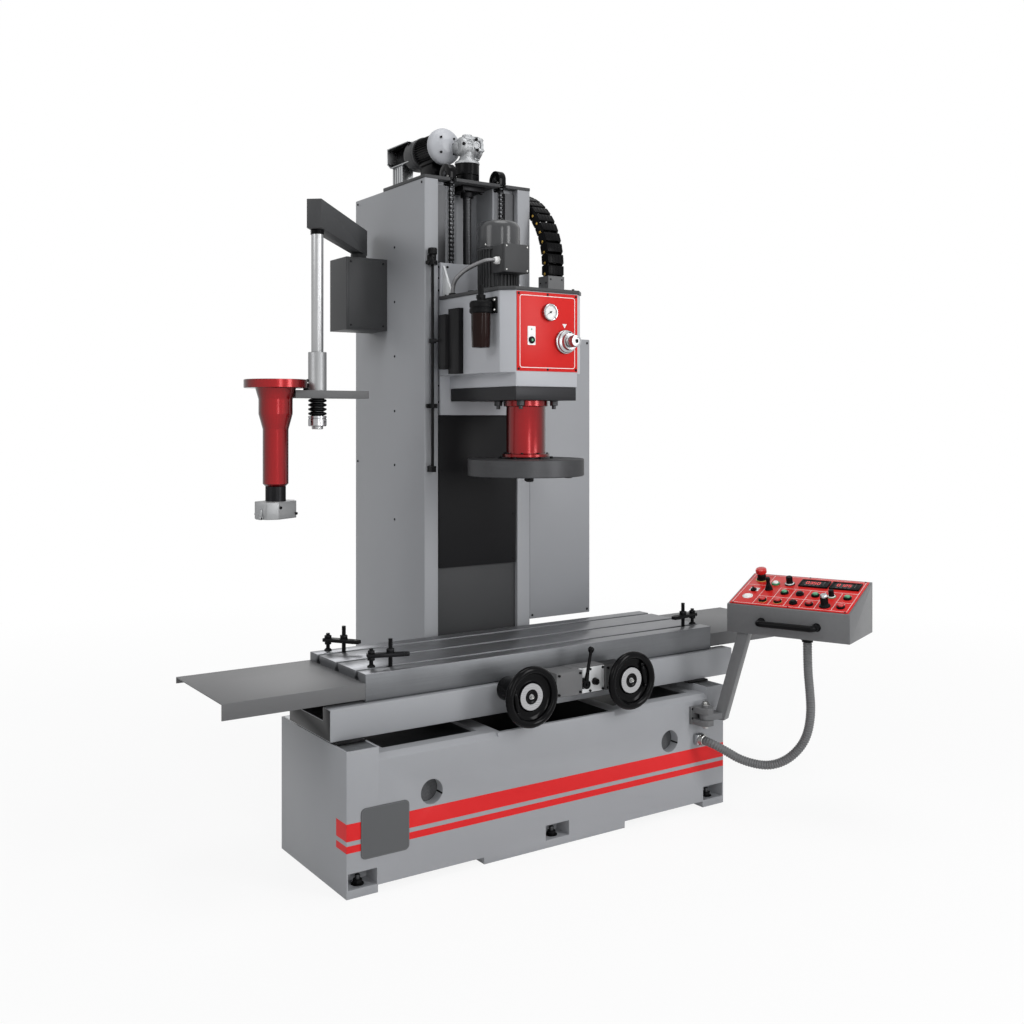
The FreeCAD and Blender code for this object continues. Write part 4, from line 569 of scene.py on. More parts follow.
def addLamp(name, place, size, power, target=view["target"], tall=None):
    # A round lamp, or an upright strip where its height is given
    data = bpy.data.lights.new(name, "AREA")
    data.shape = "RECTANGLE" if tall else "DISK"
    data.size = size
    if tall:
        data.size_y = tall
    data.energy = power
    lamp = bpy.data.objects.new(name, data)
    bpy.context.scene.collection.objects.link(lamp)
    lamp.location = place
    aim = Vector(target) - Vector(place)
    lamp.rotation_euler = aim.to_track_quat("-Z", "Y").to_euler()


lamps = {"key": dict(place=(2.0, -4.7, 2.6), size=1.3, power=120.0, tall=3.4),
         "front": dict(place=(-1.2, -4.6, 1.9), size=0.7, power=46.0, tall=3.2),
         "left": dict(place=(-4.6, -0.2, 3.6), size=2.4, power=50.0, target=(0.0, 0.3, 2.1)),
         "top": dict(place=(0.2, -0.4, 5.4), size=2.6, power=66.0),
         "back": dict(place=(1.6, 4.6, 3.4), size=2.4, power=50.0)}


def pathSum(tree):
    # One for camera, mirror and see-through rays, nought for the rays that light the object
    path = tree.nodes.new("ShaderNodeLightPath")
    both = mathNode(tree, "MAXIMUM", path.outputs["Is Camera Ray"], path.outputs["Is Glossy Ray"])
    return mathNode(tree, "MAXIMUM", both, path.outputs["Is Transmission Ray"])


def setWorld():
    world = bpy.data.worlds.new("paleWorld")
    world.use_nodes = True
    bpy.context.scene.world = world
    tree = world.node_tree
    background = tree.nodes["Background"]
    seen = pathSum(tree)
    link(tree, mixColor(tree, seen, (0.34, 0.345, 0.35, 1.0), (1.0, 1.0, 1.0, 1.0)),
         background.inputs["Color"])
    background.inputs["Strength"].default_value = 1.0


def setFloor():
    floorShape = {"reach": 30.0, "nearShare": 0.88, "near": 1.6, "far": 5.0}
    mesh = bpy.data.meshes.new("floor")
    r = floorShape["reach"]
    mesh.from_pydata([(-r, -r, 0), (r, -r, 0), (r, r, 0), (-r, r, 0)], [], [(0, 1, 2, 3)])
    material = bpy.data.materials.new("floorPale")
    material.use_nodes = True
    tree = material.node_tree
    shader = tree.nodes["Principled BSDF"]
    shader.inputs["Base Color"].default_value = (0.84, 0.84, 0.84, 1.0)
    shader.inputs["Roughness"].default_value = 0.7
    shader.inputs["Specular IOR Level"].default_value = 0.2
    pale = tree.nodes.new("ShaderNodeEmission")
    pale.inputs["Strength"].default_value = 1.0
    blend = tree.nodes.new("ShaderNodeMixShader")
    # The floor passes into the plain background with the distance from the object
    place = tree.nodes.new("ShaderNodeTexCoord").outputs["Object"]
    away = tree.nodes.new("ShaderNodeVectorMath")
    away.operation = "LENGTH"
    link(tree, place, away.inputs[0])
    fade = tree.nodes.new("ShaderNodeMapRange")
    for label, value in (("From Min", floorShape["near"]), ("From Max", floorShape["far"]),
                         ("To Min", floorShape["nearShare"]), ("To Max", 1.0)):
        fade.inputs[label].default_value = value
    link(tree, away.outputs["Value"], fade.inputs["Value"])
    share = mathNode(tree, "MULTIPLY", pathSum(tree), fade.outputs["Result"])
    link(tree, share, blend.inputs[0])
    link(tree, shader.outputs[0], blend.inputs[1])
    link(tree, pale.outputs[0], blend.inputs[2])
    link(tree, blend.outputs[0], tree.nodes["Material Output"].inputs["Surface"])
    finishes["floorPale"] = material
    floor = addPiece("floor", mesh, "floorPale", None)
    floor.location = (0.0, 0.0, -0.0005)


setCamera()
for lampName, lamp in lamps.items():
    addLamp(lampName, **lamp)
setWorld()
setFloor()
bpy.context.scene.view_settings.view_transform = "Standard"
print("camera, lamps and floor set")


# Geometry node trees: one corrugates a tube, one sets a template on spots

def newTree(name, inputs):
    tree = bpy.data.node_groups.new(name, "GeometryNodeTree")
    tree.interface.new_socket(name="Geometry", in_out="INPUT", socket_type="NodeSocketGeometry")
    for label, kind, value in inputs:
        socket = tree.interface.new_socket(name=label, in_out="INPUT", socket_type=kind)
        if value is not None:
            socket.default_value = value
    tree.interface.new_socket(name="Geometry", in_out="OUTPUT", socket_type="NodeSocketGeometry")
    return tree, tree.nodes.new("NodeGroupInput"), tree.nodes.new("NodeGroupOutput")


def closeTree(tree, start, end, geometry):
    # Every tree ends by making its instances real and giving them their finish
    real = tree.nodes.new("GeometryNodeRealizeInstances")
    paint = tree.nodes.new("GeometryNodeSetMaterial")
    link(tree, geometry, real.inputs["Geometry"])
    link(tree, real.outputs["Geometry"], paint.inputs["Geometry"])
    link(tree, start.outputs["Material"], paint.inputs["Material"])
    link(tree, paint.outputs["Geometry"], end.inputs["Geometry"])
    return tree


def buildTubeTree():
    tree, start, end = newTree("ribbedTube", [
        ("Radius", "NodeSocketFloat", 0.016), ("Rib Depth", "NodeSocketFloat", 0.002),
        ("Rib Pitch", "NodeSocketFloat", 0.008), ("Sides", "NodeSocketInt", 20),
        ("Material", "NodeSocketMaterial", None)])
    resample = tree.nodes.new("GeometryNodeResampleCurve")
    resample.mode = "LENGTH"
    link(tree, start.outputs["Geometry"], resample.inputs["Curve"])
    link(tree, mathNode(tree, "DIVIDE", start.outputs["Rib Pitch"], 6.0), resample.inputs["Length"])
    length = tree.nodes.new("GeometryNodeSplineParameter").outputs["Length"]
    turns = mathNode(tree, "DIVIDE", length, start.outputs["Rib Pitch"])
    wave = mathNode(tree, "COSINE", mathNode(tree, "MULTIPLY", turns, 2 * math.pi))
    dip = mathNode(tree, "MULTIPLY", mathNode(tree, "MULTIPLY_ADD", wave, 0.5), start.outputs["Rib Depth"])
    dip.node.inputs[0].links[0].from_node.inputs[2].default_value = 0.5
    radius = mathNode(tree, "SUBTRACT", start.outputs["Radius"], dip)
    circle = tree.nodes.new("GeometryNodeCurvePrimitiveCircle")
    circle.inputs["Radius"].default_value = 1.0
    link(tree, start.outputs["Sides"], circle.inputs["Resolution"])
    tube = tree.nodes.new("GeometryNodeCurveToMesh")
    tube.inputs["Fill Caps"].default_value = True
    link(tree, resample.outputs["Curve"], tube.inputs["Curve"])
    link(tree, circle.outputs["Curve"], tube.inputs["Profile Curve"])
    link(tree, radius, tube.inputs["Scale"])
    return closeTree(tree, start, end, tube.outputs["Mesh"])


def buildScatterTree():
    tree, start, end = newTree("setOnSpots", [
        ("Template", "NodeSocketObject", None), ("Size", "NodeSocketFloat", 1.0),
        ("Material", "NodeSocketMaterial", None)])
    template = tree.nodes.new("GeometryNodeObjectInfo")
    link(tree, start.outputs["Template"], template.inputs["Object"])
    turns = tree.nodes.new("GeometryNodeInputNamedAttribute")
    turns.data_type = "QUATERNION"
    turns.inputs["Name"].default_value = "turn"
    scale = tree.nodes.new("GeometryNodeInputNamedAttribute")
    scale.data_type = "FLOAT"
    scale.inputs["Name"].default_value = "scale"
    size = mathNode(tree, "MULTIPLY", scale.outputs["Attribute"], start.outputs["Size"])
    place = tree.nodes.new("GeometryNodeInstanceOnPoints")
    link(tree, start.outputs["Geometry"], place.inputs["Points"])
    link(tree, template.outputs["Geometry"], place.inputs["Instance"])
    link(tree, turns.outputs["Attribute"], place.inputs["Rotation"])
    link(tree, size, place.inputs["Scale"])
    return closeTree(tree, start, end, place.outputs["Instances"])


tubeTree = buildTubeTree()
scatterTree = buildScatterTree()


def socketId(tree, label):
    for item in tree.interface.items_tree:
        if item.item_type == "SOCKET" and item.in_out == "INPUT" and item.name == label:
            return item.identifier
    raise KeyError(label)


def grown(obj, tree, values):
    # Runs a tree on an object, keeps the plain mesh and drops the object and its modifier
    modifier = obj.modifiers.new(tree.name, "NODES")
    modifier.node_group = tree
    for label, value in values.items():
        modifier[socketId(tree, label)] = value
    depsgraph = bpy.context.evaluated_depsgraph_get()
    mesh = bpy.data.meshes.new_from_object(obj.evaluated_get(depsgraph), depsgraph=depsgraph)
    obj.modifiers.remove(modifier)
    bpy.data.objects.remove(obj)
    return mesh


def spotTurn(aim, side=(0, 0, 1), spin=0.0):
    # Local z along aim, local x as near to side as it can be
    z = Vector(aim).normalized()
    x = Vector(side) - z * Vector(side).dot(z)
    if x.length < 1e-4:
        x = Vector((1, 0, 0)) - z * z.x
    x.normalize()
    turn = Matrix((x, z.cross(x), z)).transposed().to_quaternion()
    return turn @ Matrix.Rotation(math.radians(spin), 3, "Z").to_quaternion()


def scatter(name, template, spots, material, body, size=1.0, angle=30.0, replaced=()):
    # spots are (place, aim) or (place, aim, side, spin, scale)
    cloud = bpy.data.meshes.new(name + "Spots")
    cloud.from_pydata([mm(*spot[0]) for spot in spots], [], [])
    turns, scales = [], []
    for spot in spots:
        side = spot[2] if len(spot) > 2 else (0, 0, 1)
        spin = spot[3] if len(spot) > 3 else 0.0
        q = spotTurn(spot[1], side, spin)
        turns += [q.w, q.x, q.y, q.z]
        scales.append(spot[4] if len(spot) > 4 else 1.0)
    cloud.attributes.new("turn", "QUATERNION", "POINT").data.foreach_set("value", turns)
    cloud.attributes.new("scale", "FLOAT", "POINT").data.foreach_set("value", scales)
    holder = bpy.data.objects.new(name + "Spots", cloud)
    bpy.context.scene.collection.objects.link(holder)
    mesh = grown(holder, scatterTree, {"Template": template, "Size": size, "Material": finishes[material]})
    mesh.name = name
    mesh.materials.clear()
    return addPiece(name, mesh, material, body, angle, replaced)


def templateObject(name, build):
    # A small part that the scatter tree repeats, kept out of the scene
    bm = bmesh.new()
    build(bm)
    bmesh.ops.recalc_face_normals(bm, faces=bm.faces)
    mesh = bpy.data.meshes.new(name)
    bm.to_mesh(mesh)
    bm.free()
    return bpy.data.objects.new(name, mesh)


def hexagon(radius, z, turn=0.0):
    return [(radius * math.cos(math.radians(60 * k + turn)), radius * math.sin(math.radians(60 * k + turn)),
             z)
            for k in range(6)]


def buildHexBolt(bm):
    # Hexagon head for a 1 mm wide template, 0.56 high, on a thin washer
    addLathe(bm, [(0, 0), (0.72, 0), (0.72, 0.10), (0, 0.10)], (0, 0, 0), steps=18)
    addPrism(bm, hexagon(0.56, 0.10), (0, 0, 0.46), bevel=0.05, segments=1)


def buildCapScrew(bm):
    # Socket head, 1 mm wide and 0.6 high, with its hexagon hole
    addLathe(bm, [(0.28, 0.30), (0.30, 0.56), (0.44, 0.60), (0.50, 0.54), (0.50, 0), (0, 0)], (0, 0, 0),
             steps=12, close=False)
    addLathe(bm, [(0, 0.30), (0.28, 0.30)], (0, 0, 0), steps=12, close=False)


def buildFlushScrew(bm):
    # Low domed head, 1 mm wide and 0.24 high, with a round dimple
    addLathe(bm, [(0, 0.14), (0.14, 0.15), (0.17, 0.24), (0.36, 0.20), (0.48, 0.08), (0.50, 0), (0, 0)],
             (0, 0, 0),
             steps=14, close=False)


hexBolt = templateObject("hexBolt", buildHexBolt)
capScrew = templateObject("capScrew", buildCapScrew)
flushScrew = templateObject("flushScrew", buildFlushScrew)


def smoothLine(name, points):
    # A NURBS curve through given control points in metres
    curve = bpy.data.curves.new(name, "CURVE")
    curve.dimensions = "3D"
    curve.resolution_u = 24
    spline = curve.splines.new("NURBS")
    spline.points.add(len(points) - 1)
    for point, place in zip(spline.points, points):
        point.co = (*place, 1.0)
    spline.order_u = 3
    spline.use_endpoint_u = True
    obj = bpy.data.objects.new(name, curve)
    bpy.context.scene.collection.objects.link(obj)
    return obj


def linePoints(obj):
    mesh = bpy.data.meshes.new_from_object(obj.evaluated_get(bpy.context.evaluated_depsgraph_get()))
    places = [v.co.copy() for v in mesh.vertices]
    bpy.data.meshes.remove(mesh)
    return places


def lineLength(places):
    return sum((b - a).length for a, b in zip(places, places[1:]))


# Cords: the pendant's corrugated conduit and the motor's short braided one

pendantCord = {"radius": 0.0158, "ribDepth": 0.0021, "ribPitch": 0.0088, "sides": 20,
               "route": ((0.541, -0.3132, 0.253), (0.541, -0.340, 0.253), (0.553, -0.368, 0.245),
                         (0.583, -0.394, 0.224), (0.625, -0.426, 0.193), (0.677, -0.491, 0.180),
                         (0.717, -0.540, 0.202), (0.744, -0.581, 0.249), (0.757, -0.608, 0.305),
                         (0.755, -0.625, 0.384), (0.741, -0.632, 0.458), (0.733, -0.628, 0.546),
                         (0.733, -0.628, 0.6438))}
motorCord = {"radius": 0.0078, "ribDepth": 0.0009, "ribPitch": 0.0034, "sides": 16,
             "route": ((-0.0892, 0.060, 1.947), (-0.107, 0.060, 1.947), (-0.121, 0.072, 1.945),
                       (-0.128, 0.100, 1.940), (-0.150, 0.157, 1.922), (-0.165, 0.202, 1.892),
                       (-0.155, 0.241, 1.864), (-0.155, 0.241, 1.8362))}


def addCord(name, cord, material, node, body, ends=None):
    line = smoothLine(name + "Line", cord["route"])
    path = linePoints(line)
    mesh = grown(line, tubeTree, {"Radius": cord["radius"], "Rib Depth": cord["ribDepth"],
                                  "Rib Pitch": cord["ribPitch"], "Sides": cord["sides"],
                                  "Material": finishes[material]})
    mesh.name = name
    mesh.materials.clear()
    obj = addPiece(name, mesh, material, None, 60.0)
    if ends:
        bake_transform(obj)
    else:
        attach(obj, body)
    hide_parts(node)
    print(name, "length %.3f m" % lineLength(path))
    return obj


addCord("pendantConduit", pendantCord, "conduitGrey", "pendant_conduit", None,
        ("frame", "pendant"))
addCord("motorConduit", motorCord, "braidSilver", "motor_conduit", "head")
print("cords laid")


# Base: casting with its stripes, badge plate, portholes, anchor bolts and oil pans

baseLook = {"edge": 3.0, "badge": {"centre": (-704.5, 180.5), "width": 159.0, "height": 149.0, "corner": 15.0,
                                   "thick": 2.5, "border": 4.0},
            "portholes": (-546.0, 412.0), "portholeZ": 262.0, "portholeRadius": 38.0, "portholeDepth": 40.0,
            "anchors": (-778.0, -74.5, 618.0), "anchorInset": 35.0, "pocketFloor": 25.0, "boltWidth": 27.0}


def addPlateOnFront(bm, centre, y, width, height, corner, thick, slot=0, turns=6):
    # A rounded plate on a face that looks to the front
    outline = [(centre[0] + u, y, centre[1] + v) for u, v in roundedOutline(width, height, corner, turns)]
    return addPrism(bm, outline, (0, -thick, 0), slot=slot)


def dressBase():
    low, high = corners("base_casting")
    front = low[1]
    # The pan floors and the recess below the deck take the black pan paint: partly the pans' own black, partly
    # painted shade under the saddle
    softened("baseShell", "base_casting", baseLook["edge"], ["stripedPaint", "panBlackAndShade"],
             "frame",
             pick=lambda c, n: 1 if 255 > c.z > 249 or (c.z < 402.9 and -294 < c.x < 152
                                                        and c.y > -275.5 and c.z > 249) else 0)
    bm = bmesh.new()
    badge = baseLook["badge"]
    addPlateOnFront(bm, badge["centre"], front, badge["width"], badge["height"], badge["corner"],
                    badge["thick"])
    finished(bm, "badgePlate", "badgeGrey", "frame")
    bm = bmesh.new()
    inner = badge["border"]
    outer = [(badge["centre"][0] + u, front - badge["thick"] - 0.3, badge["centre"][1] + v)
             for u, v in roundedOutline(badge["width"] - inner, badge["height"] - inner, badge["corner"] - 2)]
    less = [(badge["centre"][0] + u, front - badge["thick"] - 0.3, badge["centre"][1] + v)
            for u, v in roundedOutline(badge["width"] - inner - 3, badge["height"] - inner - 3,
                                       badge["corner"] - 3.5)]
    rings = [[bm.verts.new(mm(*p)) for p in loop] for loop in (outer, less)]
    for k in range(len(outer)):
        n = (k + 1) % len(outer)
        bm.faces.new((rings[0][k], rings[0][n], rings[1][n], rings[1][k]))
    shell = bmesh.ops.extrude_face_region(bm, geom=list(bm.faces))
    moved = [v for v in shell["geom"] if isinstance(v, bmesh.types.BMVert)]
    bmesh.ops.translate(bm, vec=mm(0, 0.4, 0), verts=moved)
    finished(bm, "badgeBorder", "coverPaint", "frame")
    # The porthole floors are dark: partly painted shade in the recesses
    bm = bmesh.new()
    r, depth = baseLook["portholeRadius"], baseLook["portholeDepth"]
    for x in baseLook["portholes"]:
        floor = [(0, -0.6), (r - 7, -0.6), (r - 1.5, -2.5), (r + 0.4, -7), (r + 0.4, 1), (0, 1)]
        addLathe(bm, [(a, -b) for a, b in floor], (x, front + depth, baseLook["portholeZ"]), (0, -1, 0), 64)
    finished(bm, "portholeFloors", "holeIron", "frame")
    spots = []
    for k, x in enumerate(baseLook["anchors"]):
        for y in (front + baseLook["anchorInset"], high[1] - baseLook["anchorInset"]):
            spots.append(((x, y, baseLook["pocketFloor"]), (0, 0, 1), (1, 0, 0), 17.0 * k))
    scatter("anchorBolts", hexBolt, spots, "blackOxide", "frame",
            baseLook["boltWidth"])
    bm = bmesh.new()
    for place, *_ in spots:
        addRod(bm, place, (place[0], place[1], place[2] + 28.0), 8.0, 16, 1.0)
    finished(bm, "anchorStuds", "darkSteel", "frame")
    dress("cross_ways", "groundSteel")
    dress("deck_pans", "panBlackAndShade")
    softened("rearBaseShell", "rear_base", baseLook["edge"], "greyPaint", "frame")


dressBase()
print("base dressed")

# Column: shell, top plate, guides, slot cover, screws on its left side

columnLook = {"edge": 2.5, "screwSize": 10.0, "sideScrews": (2040.0, 1833.0, 1627.0, 1420.0, 1216.0, 1010.0),
              "sideScrewY": 538.0, "lidScrews": ((850.0, 2250.0), (850.0, 1221.0), (330.0, 2252.0)),
              "railBoltPitch": 92.0, "railBoltSize": 11.0, "threadPitch": 10.0, "threadDepth": 0.7}


def addThread(bm, x, y, low, high, radius, pitch, depth, steps=20, slot=0):
    # A ball-screw thread: rounded grooves that climb one pitch in each turn
    rows = max(2, int((high - low) / pitch * 6))
    rings = []
    for i in range(rows + 1):
        z = low + (high - low) * i / rows
        ring = []
        for k in range(steps):
            a = 2 * math.pi * k / steps
            phase = ((z - low) / pitch - k / steps) % 1.0
            dip = depth * max(0.0, math.cos(2 * math.pi * phase)) ** 0.7
            ring.append(bm.verts.new(mm(x + (radius - dip) * math.cos(a), y + (radius - dip) * math.sin(a),
                                        z)))
        rings.append(ring)
    for a, b in zip(rings, rings[1:]):
        for k in range(steps):
            n = (k + 1) % steps
            bm.faces.new((a[k], a[n], b[n], b[k])).material_index = slot
    bm.faces.new(rings[-1]).material_index = slot
    bm.faces.new(list(reversed(rings[0]))).material_index = slot


def dressColumn():
    left = -232.0
    softened("columnShell", "column", columnLook["edge"], "greyPaint", "frame")
    softened("topPlateShell", "top_plate", 1.0, "darkPaint", "frame")
    softened("slotCoverShell", "slot_cover", 0.8, "darkPaint", "frame")
    size = columnLook["screwSize"]
    spots = [((left, columnLook["sideScrewY"], z), (-1, 0, 0)) for z in columnLook["sideScrews"]]
    spots += [((left, y, z), (-1, 0, 0)) for y, z in columnLook["lidScrews"]]
    scatter("columnScrews", flushScrew, spots, "blackOxide", "frame", size)
    plateTop = corners("top_plate")[1][2]
    spots = [((x, y, plateTop), (0, 0, 1)) for x in (-205.0, 205.0) for y in (400.0, 606.0)]
    scatter("plateScrews", capScrew, spots, "blackOxide", "frame", 13.0)
    base = corners("column")[0][2] + 34.0
    spots = [((s * 252.0, y, base), (0, 0, 1), (1, 0, 0), 11.0 * k) for s in (-1, 1)
             for k, y in enumerate((345.0, 510.0, 680.0, 850.0))]
    scatter("flangeBolts", hexBolt, spots, "blackOxide", "frame", 20.0)


def dressGuides():
    low, high = corners("guide_rails")
    bm = bmesh.new()
    railFront, ledge = low[1], high[1]
    for s in (-1, 1):
        x0, x1 = sorted((s * 132.0, s * 172.0))
        neck = 4.0
        outline = [(x0, ledge, low[2]), (x1, ledge, low[2]), (x1, ledge - 5, low[2]),
                   (x1 - neck, ledge - 7, low[2]),
                   (x1, ledge - 9, low[2]), (x1, railFront, low[2]), (x0, railFront, low[2]),
                   (x0, ledge - 9, low[2]), (x0 + neck, ledge - 7, low[2]), (x0, ledge - 5, low[2])]
        addPrism(bm, outline, (0, 0, high[2] - low[2]), bevel=0.6, segments=1)
    # The rails' near-black steel is a painted dark reflection
    finished(bm, "guideRails", "uprightSteel", "frame", replaced=("guide_rails",))
    spots = []
    count = int((high[2] - low[2] - 40) / columnLook["railBoltPitch"])
    for s in (-1, 1):
        for k in range(count + 1):
            spots.append(((s * 152.0, railFront + 0.02, low[2] + 20 + k * columnLook["railBoltPitch"]),
                          (0, -1, 0)))
    plug = templateObject("railPlug", lambda b: addLathe(b, [(0, -0.10), (0.42, -0.10), (0.50, 0.02),
                                                             (0.50, -0.2),
                                                            (0, -0.2)], (0, 0, 0), steps=14))
    scatter("railPlugs", plug, spots, "blackOxide", "frame",
            columnLook["railBoltSize"])
    bm = bmesh.new()
    low, high = corners("ball_screw")
    addThread(bm, 0.0, 392.0, low[2], high[2] - 40.0, 15.9, columnLook["threadPitch"],
              columnLook["threadDepth"])
    addRod(bm, (0, 392, high[2] - 41.0), (0, 392, high[2]), 13.0, 24, 0.5)
    finished(bm, "ballScrew", "darkSteel", "frame", 50.0, ("ball_screw",))
    softened("screwBearings", "screw_bearings", 1.2, "blackOxide", "frame")
    z = corners("screw_bearings")[1][2] - 20.0
    spots = [((sx * 38.0, 392.0 + sy * 38.0, z), (0, 0, -1)) for sx in (-1, 1) for sy in (-1, 1)]
    scatter("bearingScrews", capScrew, spots, "blackOxide", "frame", 12.0)


dressColumn()
dressGuides()
print("column and guides dressed")

# Lift drive: coupling, ribbed gearbox, domed bell, finned motor with its cowl and terminal box

liftLook = {"screw": (0.0, 392.0), "plateTop": 2278.0, "couplingHeight": 76.0, "couplingRadius": 46.0,
            "drumZ": 2420.0, "drumLeft": -40.0, "flangeX": 35.0, "flangeRadius": 41.0, "viewTurn": -124.0,
            "axisX": -62.0, "axisZ": 2428.0, "bellFront": 446.0, "bellBack": 470.0, "bellRadius": 69.5,
            "finCount": 40, "coreRadius": 52.0, "finRadius": 59.6, "motorBack": 595.0, "cowlRadius": 62.8,
            "cowlBack": 684.6, "boxLow": (-119.0, 640.0, 2397.0), "boxHigh": (-5.0, 815.0, 2480.0)}


def dressGearbox():
    x, y = liftLook["screw"]
    z = liftLook["plateTop"]
    r = liftLook["couplingRadius"]
    h = liftLook["couplingHeight"]
    bm = bmesh.new()
    addLathe(bm, [(0, 0), (r, 0), (r, 5), (r - 5, 6), (r - 5, 33), (r, 34), (r, h), (0, h)], (x, y, z),
             steps=64)
    for k in range(4):
        rib = addBox(bm, (x + r - 7, y - 4, z + 4), (x + r - 0.2, y + 4, z + 36), 0.8)
        turnAbout(rib, (x, y, 0), (0, 0, 1), liftLook["viewTurn"] + 90 * k)
    finished(bm, "liftCoupling", "blackSheen", "frame")
    # The silver case: flange ring, cone, ribbed drum across the screw, end flange with its lugs, cap and plug
    bm = bmesh.new()
    top = z + h
    addLathe(bm, [(0, 0), (47.6, 0), (47.6, 4), (46, 5), (46, 8), (43, 11), (38, 11), (35, 15), (28, 28),
                  (27, 32),
                  (27, 50), (0, 50)], (x, y, top), steps=72)
    left, axis = liftLook["drumLeft"], liftLook["drumZ"]
    addLathe(bm, [(0, 0), (22, 0), (29, 2), (34.5, 8), (36.6, 13), (36.6, 19), (33.5, 20), (33.5, 42),
                  (36.6, 43),
                  (36.6, 48), (33.5, 49), (33.5, 62), (36, 63), (36, 74), (44.8, 75), (44.8, 80), (43, 81),
                  (43, 87),
                  (40, 88), (0, 88)], (left, y, axis), (1, 0, 0), 72)
    for k in range(16):
        rib = addBox(bm, (left + 19, y - 2.2, axis + 32), (left + 50, y + 2.2, axis + 36.2), 0.8)
        turnAbout(rib, (0, y, axis), (1, 0, 0), 22.5 * k + 8)
    addLathe(bm, [(0, 0), (19.6, 0), (19.6, 14), (18, 16), (0, 16)], (x, y, axis + 30), steps=48)
    addBox(bm, (x - 24, y - 26, axis + 24), (x + 22, y + 26, axis + 38), 4.0, 3)
    addLathe(bm, [(15, -14), (15, 2), (13, 4), (9, 4), (8, 2), (0, 2)], (x + 20, y - 35, axis + 4),
             (0, -1, 0), 36,
             close=False)
    lugs = []
    for k in range(6):
        a = math.radians(60 * k + 20)
        place = (y + liftLook["flangeRadius"] * math.cos(a), axis + liftLook["flangeRadius"] * math.sin(a))
        addRod(bm, (liftLook["flangeX"] - 11, *place), (liftLook["flangeX"] + 12.6, *place), 7.2, 18, 2.0)
        lugs.append(((liftLook["flangeX"] - 11, *place), (-1, 0, 0)))
        lugs.append(((liftLook["flangeX"] + 12.4, *place), (1, 0, 0), (0, 0, 1), 0.0, 0.7))
    addRod(bm, (x - 22, y, axis), (x - 22, liftLook["bellFront"], axis), 25.0, 40, 1.0)
    finished(bm, "liftGearCase", "castAluminium", "frame")
    lugs.append(((left + 6, y - 32, axis + 4), (-0.5, -0.8, 0.1)))
    scatter("gearCaseScrews", hexBolt, lugs, "blackOxide", "frame", 9.5)
    bm = bmesh.new()
    ax, az = liftLook["axisX"], liftLook["axisZ"]
    b0, b1, br = liftLook["bellFront"], liftLook["bellBack"], liftLook["bellRadius"]
    addLathe(bm, [(0, -21), (22, -21), (28, -19), (36, -13), (58, -3), (65, 2), (br - 0.6, 8), (br, 11),
                  (br, b1 - b0 - 2), (br - 2, b1 - b0), (0, b1 - b0)], (ax, b0, az), (0, 1, 0), 80)
    finished(bm, "motorBell", "headPaint", "frame", replaced=("lift_gearbox",))
    spots = []
    for k in range(4):
        a = math.radians(90 * k + 45)
        spots.append(((ax + 40 * math.cos(a), b0 - 11.5, az + 40 * math.sin(a)), (0, -1, 0)))
    scatter("bellScrews", capScrew, spots, "blackOxide", "frame", 9.0)
    # A black block stands for the slot in the bell's cone: painted shade of the opening
    bm = bmesh.new()
    addBox(bm, (ax + 17, b0 - 24, az - 17), (ax + 25, b0 - 14, az + 9), 3.0)
    finished(bm, "bellSlot", "blackSheen", "frame")


def addFins(bm, centre, axis, count, inner, outer, start, end, thick, slot=0, skip=None):
    # Cooling fins round a barrel, tapered towards their tips
    turn = turnTo(axis)
    turn.translation = mm(*centre)
    for k in range(count):
        angle = 360.0 * k / count
        if skip and skip(angle):
            continue
        spin = turn @ Matrix.Rotation(math.radians(angle), 4, "Z")
        t, tip = thick / 2, thick * 0.32
        ring = [(inner, -t), (outer - 0.6, -tip), (outer, 0), (outer - 0.6, tip), (inner, t)]
        low = [bm.verts.new(spin @ mm(r, w, start)) for r, w in ring]
        high = [bm.verts.new(spin @ mm(r, w, end)) for r, w in ring]
        bm.faces.new(low).material_index = slot
        bm.faces.new(list(reversed(high))).material_index = slot
        for i in range(len(ring)):
            n = (i + 1) % len(ring)
            bm.faces.new((low[i], low[n], high[n], high[i])).material_index = slot


